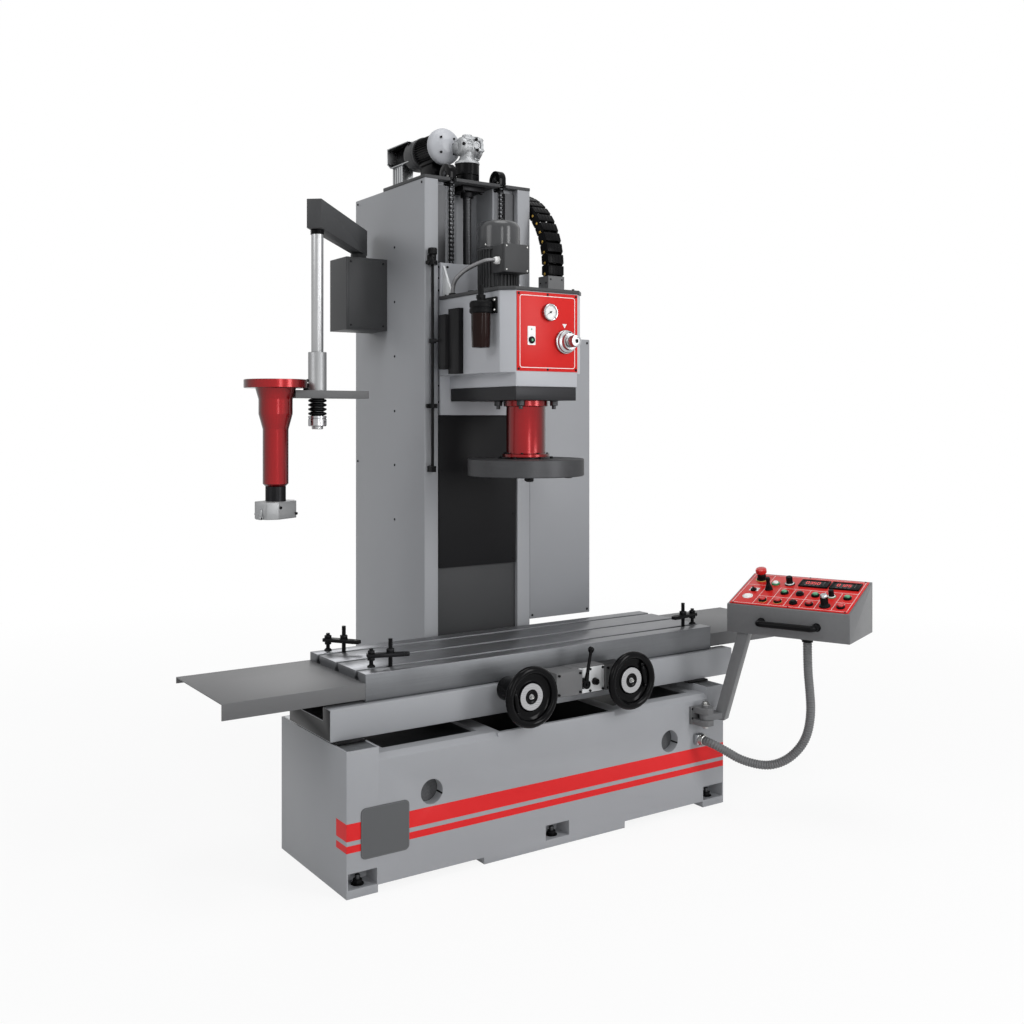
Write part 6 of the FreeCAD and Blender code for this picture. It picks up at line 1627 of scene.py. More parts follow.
def dressDepthKnob():
    x, z = headLook["knob"]
    face = headLook["panelFace"] - 0.3
    bm = bmesh.new()
    addLathe(bm, [(0, 0), (39, 0), (41, 2), (41, 9), (40, 10.5), (37.5, 11.5), (37.5, 20), (35.5, 22),
                  (30, 24),
                  (29, 26), (29, 37), (27.5, 38.5), (20, 38.5), (18.4, 41), (18.4, 44), (19.9, 46),
                  (19.9, 69),
                  (18.2, 71), (13, 71.8), (12.4, 70.4), (7, 70.4), (6.4, 64), (0, 64)], (x, face, z),
                  (0, -1, 0), 80)
    for k in range(40):
        a = 2 * math.pi * k / 40
        addRod(bm, (x + 19.7 * math.cos(a), face - 48, z + 19.7 * math.sin(a)),
               (x + 19.7 * math.cos(a), face - 67, z + 19.7 * math.sin(a)), 0.75, 6)
    finished(bm, "depthKnob", "satinAluminium", "depth_knob", 32.0,
             ("depth_knob",))
    bm = bmesh.new()
    for k in range(50):
        reach = 8.4 if k % 5 == 0 else 5.0
        bar = addBox(bm, (x - 0.32, face - 20.5, z + 37.3), (x + 0.32, face - 20.5 + reach, z + 37.8))
        turnAbout(bar, (x, 0, z), (0, 1, 0), 7.2 * k)
    addRod(bm, (x, face - 63.8, z), (x, face - 70.2, z), 6.2, 24, 0.4)
    addTorus(bm, (x, face - 42.5, z), (0, 1, 0), 18.4, 0.9, 48, 8)
    finished(bm, "depthKnobMarks", "blackPaint", "depth_knob")
    scatter("depthKnobScrew", capScrew, [((x, face - 32, z + 28.8), (0, 0, 1), (0, 1, 0), 0, 1.0),
                                         ((x + 28.8, face - 32, z), (1, 0, 0), (0, 1, 0), 0, 1.0)],
            "blackOxide", "depth_knob", 6.5)


dressHeadBody()
dressPanel()
dressGauge()
dressDepthKnob()
print("head front dressed")

# Oiler, vent boxes, spindle motor and its gland

oilerLook = {"axis": (-215.0, -44.0), "capLow": 1746.0, "capHigh": 1803.0, "bowlLow": 1630.0, "wall": -170.0}


def dressOiler():
    x, y = oilerLook["axis"]
    wall = oilerLook["wall"]
    low, high = oilerLook["capLow"], oilerLook["capHigh"]
    bm = bmesh.new()
    addBox(bm, (wall - 8, y - 35.2, low + 1), (wall, y + 35.2, high - 0.5), 1.5)
    addBox(bm, (x + 8, y - 16, low + 14), (wall - 4, y + 16, high - 10), 2.0)
    addLathe(bm, [(0, 0), (36, 0), (38.6, 2.5), (38.6, 14), (36.5, 16), (36.5, 19), (38.6, 21), (38.6, 34),
                  (36, 38),
                  (34, 41), (14, 43), (12.5, 56.5), (0, 56.5)], (x, y, low), steps=56)
    for k in range(12):
        a = math.radians(30 * k)
        addRod(bm, (x + 37.4 * math.cos(a), y + 37.4 * math.sin(a), low + 3),
               (x + 37.4 * math.cos(a), y + 37.4 * math.sin(a), low + 13), 1.5, 8)
    addLathe(bm, [(0, 0), (9.8, 0), (9.8, 26), (8.4, 28), (8.4, 39), (0, 39.6)], (x, y, high), steps=28)
    addRod(bm, (x, y, high + 30), (x, y, high + 39.8), 6.0, 20, 1.0)
    addBox(bm, (x - 12, y - 12, high - 8), (x + 12, y + 12, high + 6), 2.0)
    addRod(bm, (wall - 8, y, high + 34), (wall - 8, y + 1, high + 34), 1.0, 8)
    finished(bm, "oilerCap", "blackMatte", "head")
    bm = bmesh.new()
    ribs = []
    steps = 72
    profile = [(0, 3), (14, 3), (22, 1), (28.5, 0.5), (30.5, 4), (31, 20), (32.2, 60), (33.2, 100),
               (33.6, 115.6)]
    for k in range(steps):
        ribs.append(0.9 if k % 6 == 0 else 0.0)
    rings = []
    for radius, height in profile:
        ring = []
        for k in range(steps):
            r = max(radius + (ribs[k] if radius > 25 and height < 100 else 0) - 0.9, 0.01)
            a = 2 * math.pi * k / steps
            ring.append(bm.verts.new(mm(x + r * math.cos(a), y + r * math.sin(a),
                                        oilerLook["bowlLow"] + height)))
        rings.append(ring)
    for a, b in zip(rings, rings[1:]):
        for k in range(steps):
            n = (k + 1) % steps
            bm.faces.new((a[k], a[n], b[n], b[k]))
    bm.faces.new(rings[-1])
    bm.faces.new(list(reversed(rings[0])))
    bmesh.ops.remove_doubles(bm, verts=bm.verts, dist=1e-6)
    finished(bm, "oilerBowl", "amberBowl", "head", 25.0, ("lubricator",))
    bm = bmesh.new()
    addLathe(bm, [(0, 0), (5, 0), (5, 3), (7.5, 4), (7.5, 6), (0, 6)], (x, y, oilerLook["bowlLow"] + 0.2),
             steps=24)
    finished(bm, "oilerDrain", "blackPaint", "head")
    spots = [((wall - 8, y + s * 27.0, high - 12.0), (-1, 0, 0)) for s in (-1, 1)]
    spots += [((wall - 8, y + s * 27.0, low + 12.0), (-1, 0, 0)) for s in (-1, 1)]
    scatter("oilerBolts", hexBolt, spots, "zincSteel", "head", 8.5)


def dressVents():
    softened("ventBoxShells", "vent_boxes", 1.6, "apronBlack", "head", angle=45.0)
    spots = [((-190.0, y, z), (-1, 0, 0)) for y in (150.0, 205.0) for z in (1558.0, 1774.0)]
    spots += [((-202.0, y, z), (-1, 0, 0)) for y in (221.0, 254.0) for z in (1576.0, 1756.0)]
    scatter("ventScrews", flushScrew, spots, "blackOxide", "head", 6.0)
    scatter("fingerScrew", capScrew, [((-212.0, 273.2, 1672.0), (0, -1, 0))], "zincSteel", "head",
            6.0)


motorLook = {"axis": (-10.0, 160.0), "low": 1836.0, "barrel": (1850.0, 2003.0), "top": 2103.0, "fins": 34,
             "boxX": (-75.0, 31.0), "boxFront": 22.0, "boxZ": (1904.0, 2005.0), "gland": (60.0, 1947.0)}


def dressSpindleMotor():
    x, y = motorLook["axis"]
    z0, z1 = motorLook["barrel"]
    bm = bmesh.new()
    addBox(bm, (x - 80, y - 80, motorLook["low"]), (x + 80, y + 80, z0), 3.5, 3)
    tall = z1 - z0
    addLathe(bm, [(0, 0), (75, 0), (75, 8), (71, 10), (68, 12), (68, tall - 12), (72, tall - 9),
                  (75, tall - 7),
                  (75, tall), (0, tall)], (x, y, z0), steps=80)
    addFins(bm, (x, y, z0), (0, 0, 1), motorLook["fins"], 67, 76, 8, tall - 6, 3.2)
    finished(bm, "spindleMotorBarrel", "darkPaint", "head")
    bm = bmesh.new()
    h = motorLook["top"] - z1
    dome = [(78 - 30 + 30 * math.cos(math.radians(a)), h - 30 + 30 * math.sin(math.radians(a)))
            for a in range(0, 91, 9)]
    addLathe(bm, [(0, 4), (74, 4), (74, 0), (76.8, 0), (77.9, 1.2)] + [(r - 0.1, z) for r, z in dome] +
             [(40, h), (40, h - 1.5), (30, h - 1.5), (30, h), (24, h), (24, h - 1.5), (14, h - 1.5),
              (14, h), (0, h)],
             (x, y, z1), steps=96)
    finished(bm, "spindleMotorCowl", "cowlPaint", "head", replaced=("spindle_motor",))
    spots = [((x + 77.6 * math.cos(math.radians(a)), y + 77.6 * math.sin(math.radians(a)), z1 + 9),
              (math.cos(math.radians(a)), math.sin(math.radians(a)), 0)) for a in (-160, -70, 20, 110)]
    scatter("cowlScrews", flushScrew, spots, "zincSteel", "head", 7.0)
    bx0, bx1 = motorLook["boxX"]
    by, (bz0, bz1) = motorLook["boxFront"], motorLook["boxZ"]
    bm = bmesh.new()
    addBox(bm, (bx0 + 0.5, by + 16, bz0 + 0.5), (bx1 - 0.5, y - 60, bz1 - 0.5), 3.0, 3)
    addBox(bm, (bx0, by + 0.3, bz0), (bx1, by + 14.5, bz1), 3.5, 3)
    addBox(bm, (bx0 + 2, by + 13, bz0 + 2), (bx1 - 2, by + 18, bz1 - 2), 0.5)
    finished(bm, "motorTerminalBox", "darkPaint", "head")
    spots = [((bx, by + 0.5, bz), (0, -1, 0)) for bx in (bx0 + 9, bx1 - 9) for bz in (bz0 + 9, bz1 - 9)]
    scatter("terminalScrews", flushScrew, spots, "zincSteel", "head", 6.5)
    spots = [((x + sx * 70.0, y + sy * 70.0, z0), (0, 0, 1), (1, 0, 0), 15.0) for sx in (-1,
                                                                                         1) for sy in (-1, 1)]
    scatter("motorFlangeBolts", hexBolt, spots, "blackOxide", "head", 13.0)
    gy, gz = motorLook["gland"]
    bm = bmesh.new()
    nut = [(bx0 - 0.2, gy + 15 * math.cos(math.radians(60 * k)), gz + 15 * math.sin(math.radians(60 * k)))
           for k in range(6)]
    addPrism(bm, nut, (-6, 0, 0), bevel=0.8)
    addLathe(bm, [(8.2, 0), (12.8, 0), (13.6, 1), (13.6, 6), (11.4, 8), (11.4, 12), (9.5, 14), (8.2, 14)],
             (bx0 - 6, gy, gz), (-1, 0, 0), 36)
    finished(bm, "motorGland", "whiteGloss", "head", replaced=("motor_gland",))
    bm = bmesh.new()
    addLathe(bm, [(8.0, 0), (14, 0), (14, 6), (11, 8), (8.0, 8)], (-155.0, 241.0, 1836.0), steps=32)
    finished(bm, "conduitSeat", "blackPaint", "head")


def dressSpindle():
    low = 1257.0
    bm = bmesh.new()
    addLathe(bm, [(0, 0), (81.5, 0), (82.9, 1.4), (82.9, 10), (81.4, 11.6), (70.5, 12), (69, 14), (69, 174),
                  (70, 176),
                  (77, 177), (78, 178.2), (78, 196), (77, 197), (0, 197)], (0, 0, low), steps=128)
    finished(bm, "spindleHousing", "redAnodised", "head", 30.0,
             ("spindle_housing",))
    spots = [((75.8 * math.cos(math.radians(a)), 75.8 * math.sin(math.radians(a)), low + 11.4), (0, 0, 1))
             for a in range(0, 360, 45)]
    scatter("housingScrews", capScrew, spots, "blackOxide", "head", 8.0)
    bm = bmesh.new()
    top = 1256.7
    addLathe(bm, [(0, 0), (50, 0), (50, -5), (120, -5), (121, -6.4), (124, -6.4), (125, -5), (200, -5),
                  (204.3, -7.5),
                  (204.3, -9), (204.3, -62.4), (201, -64.9), (190, -64.9), (186, -61.5), (60, -61.5),
                  (56, -64.9),
                  (0, -64.9)], (0, 0, top), steps=144)
    finished(bm, "millingDisc", "discIron", "milling_disc", 28.0, ("milling_disc",))
    bm = bmesh.new()
    for turn in (60, 240):
        made = addRod(bm, (150, 0, top - 64), (150, 0, top - 78.9), 12.5, 24, 1.5)
        made += addBox(bm, (140, -17, top - 76), (166, 13, top - 60), 2.0)
        made += addPrism(bm, [(163, -12, top - 76), (172, -2, top - 76), (163, 8, top - 76)], (0, 0, 7),
                         bevel=0.6)
        turnAbout(made, (0, 0, 0), (0, 0, 1), turn)
    for turn in (15, 105, 150, 195, 285, 330):
        made = addBox(bm, (178, -9, top - 67.5), (199, 9, top - 58), 1.5)
        turnAbout(made, (0, 0, 0), (0, 0, 1), turn)
    finished(bm, "cutterCartridges", "blackOxide", "milling_disc")
    spots = [((90.0 * math.cos(math.radians(a)), 90.0 * math.sin(math.radians(a)), top - 4.9), (0, 0, 1))
             for a in range(30, 390, 60)]
    scatter("discScrews", capScrew, spots, "blackOxide", "milling_disc", 12.0)


dressOiler()
dressVents()
dressSpindleMotor()
dressSpindle()
print("motor, oiler and spindle dressed")

# Energy chain: links along its path, from the column's end to the head's

chainPlan = {"x": 276.0, "width": 75.0, "height": 45.0, "frontY": 219.0, "radius": 300.0, "bendZ": 1965.0,
             "headEnd": 1931.0, "columnEnd": 1560.0, "links": 33}


def energyPath(count):
    # Middle and direction of each link, from the column's end to the head's
    radius = chainPlan["radius"]
    down = chainPlan["bendZ"] - chainPlan["columnEnd"]
    arc = math.pi * radius
    total = down + arc + chainPlan["bendZ"] - chainPlan["headEnd"]
    pitch = total / count
    middle = chainPlan["frontY"] + radius
    spots = []
    for k in range(count):
        s = (k + 0.5) * pitch
        if s < down:
            spots.append(((middle + radius, chainPlan["columnEnd"] + s), (0.0, 1.0)))
        elif s < down + arc:
            a = (s - down) / radius
            spots.append(((middle + radius * math.cos(a), chainPlan["bendZ"] + radius * math.sin(a)),
                          (-math.sin(a), math.cos(a))))
        else:
            spots.append(((chainPlan["frontY"], chainPlan["bendZ"] - (s - down - arc)), (0.0, -1.0)))
    return spots, pitch


def buildEnergyLink(bm, pitch):
    # Local x runs along the chain, z across it and y towards the bend's outside
    half, high = chainPlan["width"] / 2, chainPlan["height"] / 2
    length = pitch / 2
    for s in (-1, 1):
        inner = s * (half - 6.0)
        low, top = sorted((inner, s * half))
        addPrism(bm, [(-length + 1, -high + 5, low), (length - 8, -high + 5, low),
                      (length + 3, -high * 0.35, low),
                      (length + 3, high * 0.35, low), (length - 8, high - 3, low),
                      (-length + 1, high - 3, low)],
                 (0, 0, top - low), bevel=1.2, segments=1)
    for side, thick in ((1, 6.0), (-1, 4.5)):
        y0, y1 = sorted((side * high, side * (high - thick)))
        addBox(bm, (-length + 2.5, y0, -half + 1.5), (length - 5.5, y1, half - 1.5), 1.8, 2)
    for k in range(5):
        z = -half + 9 + k * (2 * half - 18) / 4
        addBox(bm, (-length + 5, high - 1.5, z - 2.2), (length - 8, high + 1.0, z + 2.2), 0.8, 1)


def dressEnergyChain():
    spots, pitch = energyPath(chainPlan["links"])
    linkTemplate = templateObject("energyLink", lambda b: buildEnergyLink(b, pitch))
    places = [((chainPlan["x"], y, z), (-1, 0, 0), (0, dy, dz)) for (y, z), (dy, dz) in spots]

    def tie(obj):
        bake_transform(obj)

    chain = scatter("energyChainLinks", linkTemplate, places, "blackSheen", None)
    tie(chain)
    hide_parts("energy_chain")
    dot = templateObject("goldDot", lambda b: (
        addLathe(b, [(0, 0), (5.2, 0), (5.2, 1.6), (4.2, 2.4), (2.2, 2.6), (0, 1.8)], (0, 0, 0), steps=16)))
    pins = []
    for side in (-1, 1):
        for (y, z), (dy, dz) in spots:
            pins.append(((chainPlan["x"] + side * (chainPlan["width"] / 2 - 0.8), y + dy * pitch * 0.32,
                          z + dz * pitch * 0.32), (side, 0, 0)))
    tie(scatter("energyChainPins", dot, pins, "goldPin", None))
    softened("chainBracketShell", "chain_bracket", 1.8, "coverPaint", "head")
    low = corners("chain_bracket")[0]
    spots = [((x, low[1], z), (0, -1, 0)) for x in (250.0, 302.0) for z in (1862.0, 1918.0)]
    spots += [((238.0, y, 1905.0), (-1, 0, 0)) for y in (210.0, 246.0)]
    scatter("chainBracketScrews", flushScrew, spots, "blackOxide", "head", 7.0)


dressEnergyChain()
print("energy chain dressed")


# Tool arm with its bar, disc springs and nut, the hooked holder, the spare spindle and its boring head

armLook = {"bar": (-685.04, 234.51), "barLow": 1355.7, "barTop": 2022.0, "barRadius": 20.0, "nutLow": 1365.7,
           "nutHigh": 1400.7, "springHigh": 1458.7, "rings": 4, "ringRadius": 30.5,
           "plateTop": 1485.0}
spareLook = {"axis": (-832.64, 234.51), "turn": 30.0,
             "profile": ((0, 1171.2), (33.5, 1171.2), (34.2, 1171.6), (41.2, 1178.6), (41.5, 1180),
                         (41.5, 1356.5),
                         (41.9, 1358), (54.5, 1405), (55, 1407.5), (55, 1454), (55.6, 1456.5), (65, 1489),
                         (66.5, 1491), (101, 1491), (102.5, 1492.5), (102.5, 1517), (101, 1518.8),
                         (30, 1518.8),
                         (29, 1516), (0, 1516))}


def dressToolArm():
    x, y = armLook["bar"]
    softened("toolArmBeam", "tool_arm", 1.6, "darkPaint", "tool_arm")
    bm = bmesh.new()
    r = armLook["barRadius"]
    top = armLook["barTop"]
    addLathe(bm, [(0, 0), (r - 3, 0), (r - 1.2, 2), (r - 1.2, 9.5), (r - 0.4, 9.8), (r - 0.4, 104),
                  (r, 105), (r, top - 16 - armLook["barLow"]), (0, top - 16 - armLook["barLow"])],
             (x, y, armLook["barLow"]), steps=64)
    finished(bm, "armBar", "chromeBar", "tool_arm", 30.0, ("arm_bar",))
    bm = bmesh.new()
    addLathe(bm, [(19, 0), (22.6, 0), (23, 0.6), (23, 3.4), (21.4, 4.4), (21.4, 6), (23, 7), (23, 10),
                  (21.4, 11),
                  (21.4, 12.6), (23, 13.4), (23, 15.8), (19, 15.8)], (x, y, top - 16), steps=48)
    springs = armLook["springHigh"] - armLook["nutHigh"]
    pitch = springs / armLook["rings"]
    outer = armLook["ringRadius"]
    for k in range(armLook["rings"]):
        low = armLook["nutHigh"] + k * pitch + pitch * 0.25
        addLathe(bm, [(r + 0.6, -3.4), (outer - 1.4, 0.2), (outer, 1.4), (outer, 5.8), (outer - 1.4, 7.0),
                      (r + 0.6, 10.6)], (x, y, low), steps=56)
    finished(bm, "discSprings", "blackSheen", "tool_arm", 40.0)
    bm = bmesh.new()
    low, high = armLook["nutLow"], armLook["nutHigh"]
    addLathe(bm, [(r - 0.3, 0), (outer - 2.5, 0), (outer - 0.3, 2.4), (outer - 0.3, 24), (outer - 2.0, 25.5),
                  (outer - 2.0, 27), (outer - 0.3, 28.5), (outer - 0.3, high - low - 1.2),
                  (outer - 1.4, high - low - 0.3), (r - 0.3, high - low - 0.3)], (x, y, low), steps=64)
    finished(bm, "barNut", "turnedSteel", "tool_arm")
    # Black blocks sit in the nut's four slots: painted shade of the openings
    bm = bmesh.new()
    for turn in (205, 295, 25, 115):
        slot = addBox(bm, (x + outer - 3, y - 2.6, low + 8), (x + outer - 0.1, y + 2.6, low + 19), 1.2)
        turnAbout(slot, (x, y, 0), (0, 0, 1), turn)
    finished(bm, "barNutSlots", "blackPaint", "tool_arm")


def dressHolder():
    bx, by = armLook["bar"]
    top = armLook["plateTop"]
    softened("holderShell", "holder_plate", 1.2, ["coverPaint", "sleeveSteel"],
             "tool_holder",
             pick=lambda c, n: 1 if c.z > top + 0.6 else 0)
    bm = bmesh.new()
    addRod(bm, (bx - 29, by + 28, top - 0.2), (bx - 29, by + 28, top + 9), 9.2, 32, 1.0)
    turn = addRod(bm, (bx - 30, by, top + 18), (bx - 37.5, by, top + 18), 6.5, 24, 1.2)
    turn += addRod(bm, (bx - 30, by, top + 33), (bx - 36.5, by, top + 33), 5.0, 24, 1.2)
    turnAbout(turn, (bx, by, 0), (0, 0, 1), -14)
    finished(bm, "clampFoot", "blackMatte", "tool_holder")
    bm = bmesh.new()
    addRod(bm, (bx - 29, by + 28, top + 8.8), (bx - 29, by + 28, top + 25), 8.4, 32, 1.6)
    finished(bm, "clampBolt", "zincSteel", "tool_holder")


def dressSpare():
    x, y = spareLook["axis"]
    bm = bmesh.new()
    addLathe(bm, [(r, z - 1171.0) for r, z in spareLook["profile"]], (x, y, 1171.0), steps=120)
    finished(bm, "spareSpindle", "redAnodised", "tool_holder", 24.0,
             ("spare_spindle",))
    softened("boringHeadShell", "boring_head", 1.4, ["sleeveSteel", "blackOxide"],
             "boring_head", pick=lambda c, n: 1 if c.z > 1122.6 else 0)
    turn = math.radians(spareLook["turn"])

    def at(u, v, z):
        return (x + u * math.cos(turn) - v * math.sin(turn), y + u * math.sin(turn) + v * math.cos(turn), z)

    def aim(u, v):
        return (u * math.cos(turn) - v * math.sin(turn), u * math.sin(turn) + v * math.cos(turn), 0)
    spots = [(at(-38, -48, 1104), aim(0, -1)), (at(44, -48, 1080), aim(0, -1)), (at(44, 48, 1104), aim(0, 1)),
             (at(-38, 48, 1080), aim(0, 1))]
    scatter("boringHeadScrews", capScrew, spots, "blackOxide", "boring_head", 9.0)
    spots = [(at(73, v, z), aim(1, 0)) for v in (-10, 10) for z in (1082, 1106)]
    scatter("boringHeadStuds", flushScrew, spots, "zincSteel", "boring_head",
            11.0)
    bm = bmesh.new()
    addPrism(bm, [at(-81.8, -5, 1067), at(-72.6, -5, 1067), at(-72.6, -5, 1100), at(-75.5, -5, 1098)],
             tuple(10 * a for a in aim(0, 1)), bevel=0.8)
    finished(bm, "boringBit", "sleeveSteel", "boring_head")
    bm = bmesh.new()
    addPrism(bm, [at(-82.4, -5.6, 1066.4), at(-76, -5.6, 1066.4), at(-77.5, -5.6, 1074),
                  at(-80.5, -5.6, 1074)],
             tuple(2.4 * a for a in aim(0, 1)), bevel=0.3)
    finished(bm, "boringBitTip", "blackOxide", "boring_head")


dressToolArm()
dressHolder()
dressSpare()
print("tool arm and holder dressed")


# Pendant: arm, desk-shaped box and the red panel with its buttons, knobs, lamp, lever and counters

deskLook = {"origin": (587.0, -392.0), "turn": -67.3, "slope": 16.6, "length": 432.0, "slopeLength": 269.2,
            "frontTop": 742.0, "low": 644.0, "panel": 3.0}
deskTurn = Matrix.Translation(mm(*deskLook["origin"], 0)) @ Matrix.Rotation(math.radians(deskLook["turn"]),
                                                                            4, "Z")
slopeTurn = deskTurn @ Matrix.Translation(mm(0, 0, deskLook["frontTop"])) @ \
    Matrix.Rotation(math.radians(deskLook["slope"]), 4, "X")
controlLook = {
    "green": ((0.392, 0.43), (0.647, 0.43), (0.905, 0.43)),
    "red": ((0.266, 0.162), (0.392, 0.162), (0.648, 0.162), (0.900, 0.162)),
    "black": ((0.520, 0.43), (0.520, 0.162)),
    "counters": ((0.575, 0.77), (0.830, 0.77)),
}


def onPanel(share, rise, lift=0.0):
    # Place on the panel from shares of the slope's length and height, in the slope's own frame
    return (share * deskLook["length"], rise * deskLook["slopeLength"], deskLook["panel"] + lift)


def placed(bm, turn):
    bmesh.ops.transform(bm, matrix=turn, verts=bm.verts)
    return bm


def deskSpots(points, direction, turn):
    spin = turn.to_3x3()
    side = spin @ Vector((1, 0, 0))
    return [(tuple((turn @ mm(*p)) / unit), tuple(spin @ Vector(direction)), tuple(side)) for p in points]


def dressDesk():
    softened("pendantArmShell", "pendant_arm", 1.8, "hammerPaint", "pendant")
    softened("pendantBoxShell", "pendant_box", 1.6, "hammerPaint", "pendant")
    softened("pendantPanelPlate", "pendant_panel", 0.5, "redPanel", "pendant")
    bm = bmesh.new()
    r = 11.0
    bend = 16.0
    left, right = 126.3, 320.3
    path = [(left, 0.3), (left, -42 + bend)]
    path += [(left + bend - bend * math.cos(math.radians(a)), -42 + bend - bend * math.sin(math.radians(a)))
             for a in range(15, 91, 15)]
    path += [(left + right - px, py) for px, py in reversed(path)]
    rings = []
    for k, (px, py) in enumerate(path):
        before, after = path[max(k - 1, 0)], path[min(k + 1, len(path) - 1)]
        line = Vector((after[0] - before[0], after[1] - before[1], 0)).normalized()
        across = Vector((-line.y, line.x, 0))
        rings.append([bm.verts.new(mm(*(Vector((px, py,
                                                690.0)) + across * (r * math.cos(2 * math.pi * s / 24)) +
                                        Vector((0, 0,
                                                r * math.sin(2 * math.pi * s / 24)))))) for s in range(24)])
    for a, b in zip(rings, rings[1:]):
        for s in range(24):
            n = (s + 1) % 24
            bm.faces.new((a[s], a[n], b[n], b[s]))
    bm.faces.new(rings[0])
    bm.faces.new(rings[-1])
    for px in (left, right):
        addLathe(bm, [(0, 0), (14, 0), (14.6, 1), (14.6, 3.5), (12.5, 6), (11.2, 9), (0, 9)], (px, 0.3, 690),
                 (0, -1, 0), 36)
    finished(placed(bm, deskTurn), "pendantHandle", "blackSheen", "pendant", 50.0,
             ("pendant_handle",))
    spots = deskSpots([(left, -24, 700.6), (right, -24, 700.6)], (0, 0, 1), deskTurn)
    scatter("handleScrews", capScrew, spots, "blackOxide", "pendant", 5.5)
    bm = bmesh.new()
    addLathe(bm, [(16.2, 0), (19.6, 0), (20.4, -1), (20.4, -8), (18.6, -9.5), (18.6, -14), (16.2, -15)],
             (733.0, -628.0, deskLook["low"] - 0.2), steps=40)
    finished(bm, "conduitCollar", "blackMatte", "pendant")
    spots = deskSpots([(258, 40, deskLook["low"]), (90, 60, deskLook["low"])], (0, 0, -1), deskTurn)
    scatter("deskFootScrews", hexBolt, spots, "blackOxide", "pendant", 14.0)


def addSlopeLine(bm, a, b, width=1.3):
    # A painted line between two places on the panel, given as shares
    ax, ay, az = onPanel(*a)
    bx, by, _ = onPanel(*b)
    w = width / 2
    addBox(bm, (min(ax, bx) - w, min(ay, by) - w, az - 0.1), (max(ax, bx) + w, max(ay, by) + w, az + 0.3))


def dressPanelLines():
    bm = bmesh.new()
    for a, b in (((0.035, 0.055), (0.965, 0.055)), ((0.035, 0.945), (0.965, 0.945)),
                 ((0.035, 0.055), (0.035, 0.945)),
                 ((0.965, 0.055), (0.965, 0.945)), ((0.205, 0.055), (0.205, 0.30)),
                 ((0.330, 0.055), (0.330, 0.58)),
                 ((0.458, 0.055), (0.458, 0.58)), ((0.584, 0.055), (0.584, 0.58)),
                 ((0.705, 0.055), (0.705, 0.58)),
                 ((0.842, 0.055), (0.842, 0.58)), ((0.205, 0.30), (0.705, 0.30)),
                 ((0.842, 0.30), (0.965, 0.30)),
                 ((0.330, 0.58), (0.965, 0.58)), ((0.205, 0.30), (0.205, 0.94)),
                 ((0.035, 0.62), (0.205, 0.62))):
        addSlopeLine(bm, a, b)
    marks = []
    for name in ("green", "red", "black"):
        marks += controlLook[name]
    for x, y in marks:
        for k in (-1, 0, 1):
            px, py, pz = onPanel(x + 0.012 * k, y + 0.083)
            addBox(bm, (px - 1.8, py - 2.2, pz - 0.1), (px + 1.8, py + 2.2, pz + 0.3))
    px, py, pz = onPanel(0.125, 0.475)
    addBox(bm, (px - 17, py - 13, pz - 0.1), (px + 17, py + 14, pz + 0.5), 0.2, 1)
    finished(placed(bm, slopeTurn), "panelMarks", "whiteGloss", "pendant")
    spots = deskSpots([onPanel(x, y) for x in (0.045, 0.5, 0.955) for y in (0.04, 0.965)], (0, 0, 1),
                      slopeTurn)
    scatter("panelPlateScrews", flushScrew, spots, "blackOxide", "pendant", 7.0)


def addControl(bm, place, profile, steps=36):
    return addLathe(bm, profile, onPanel(*place), steps=steps)


def ringProfile(inner, outer, height, ease=0.8):
    return [(inner, 0), (outer, 0), (outer, height - ease), (outer - ease, height),
            (inner + ease * 0.5, height),
            (inner, height - ease * 0.5)]


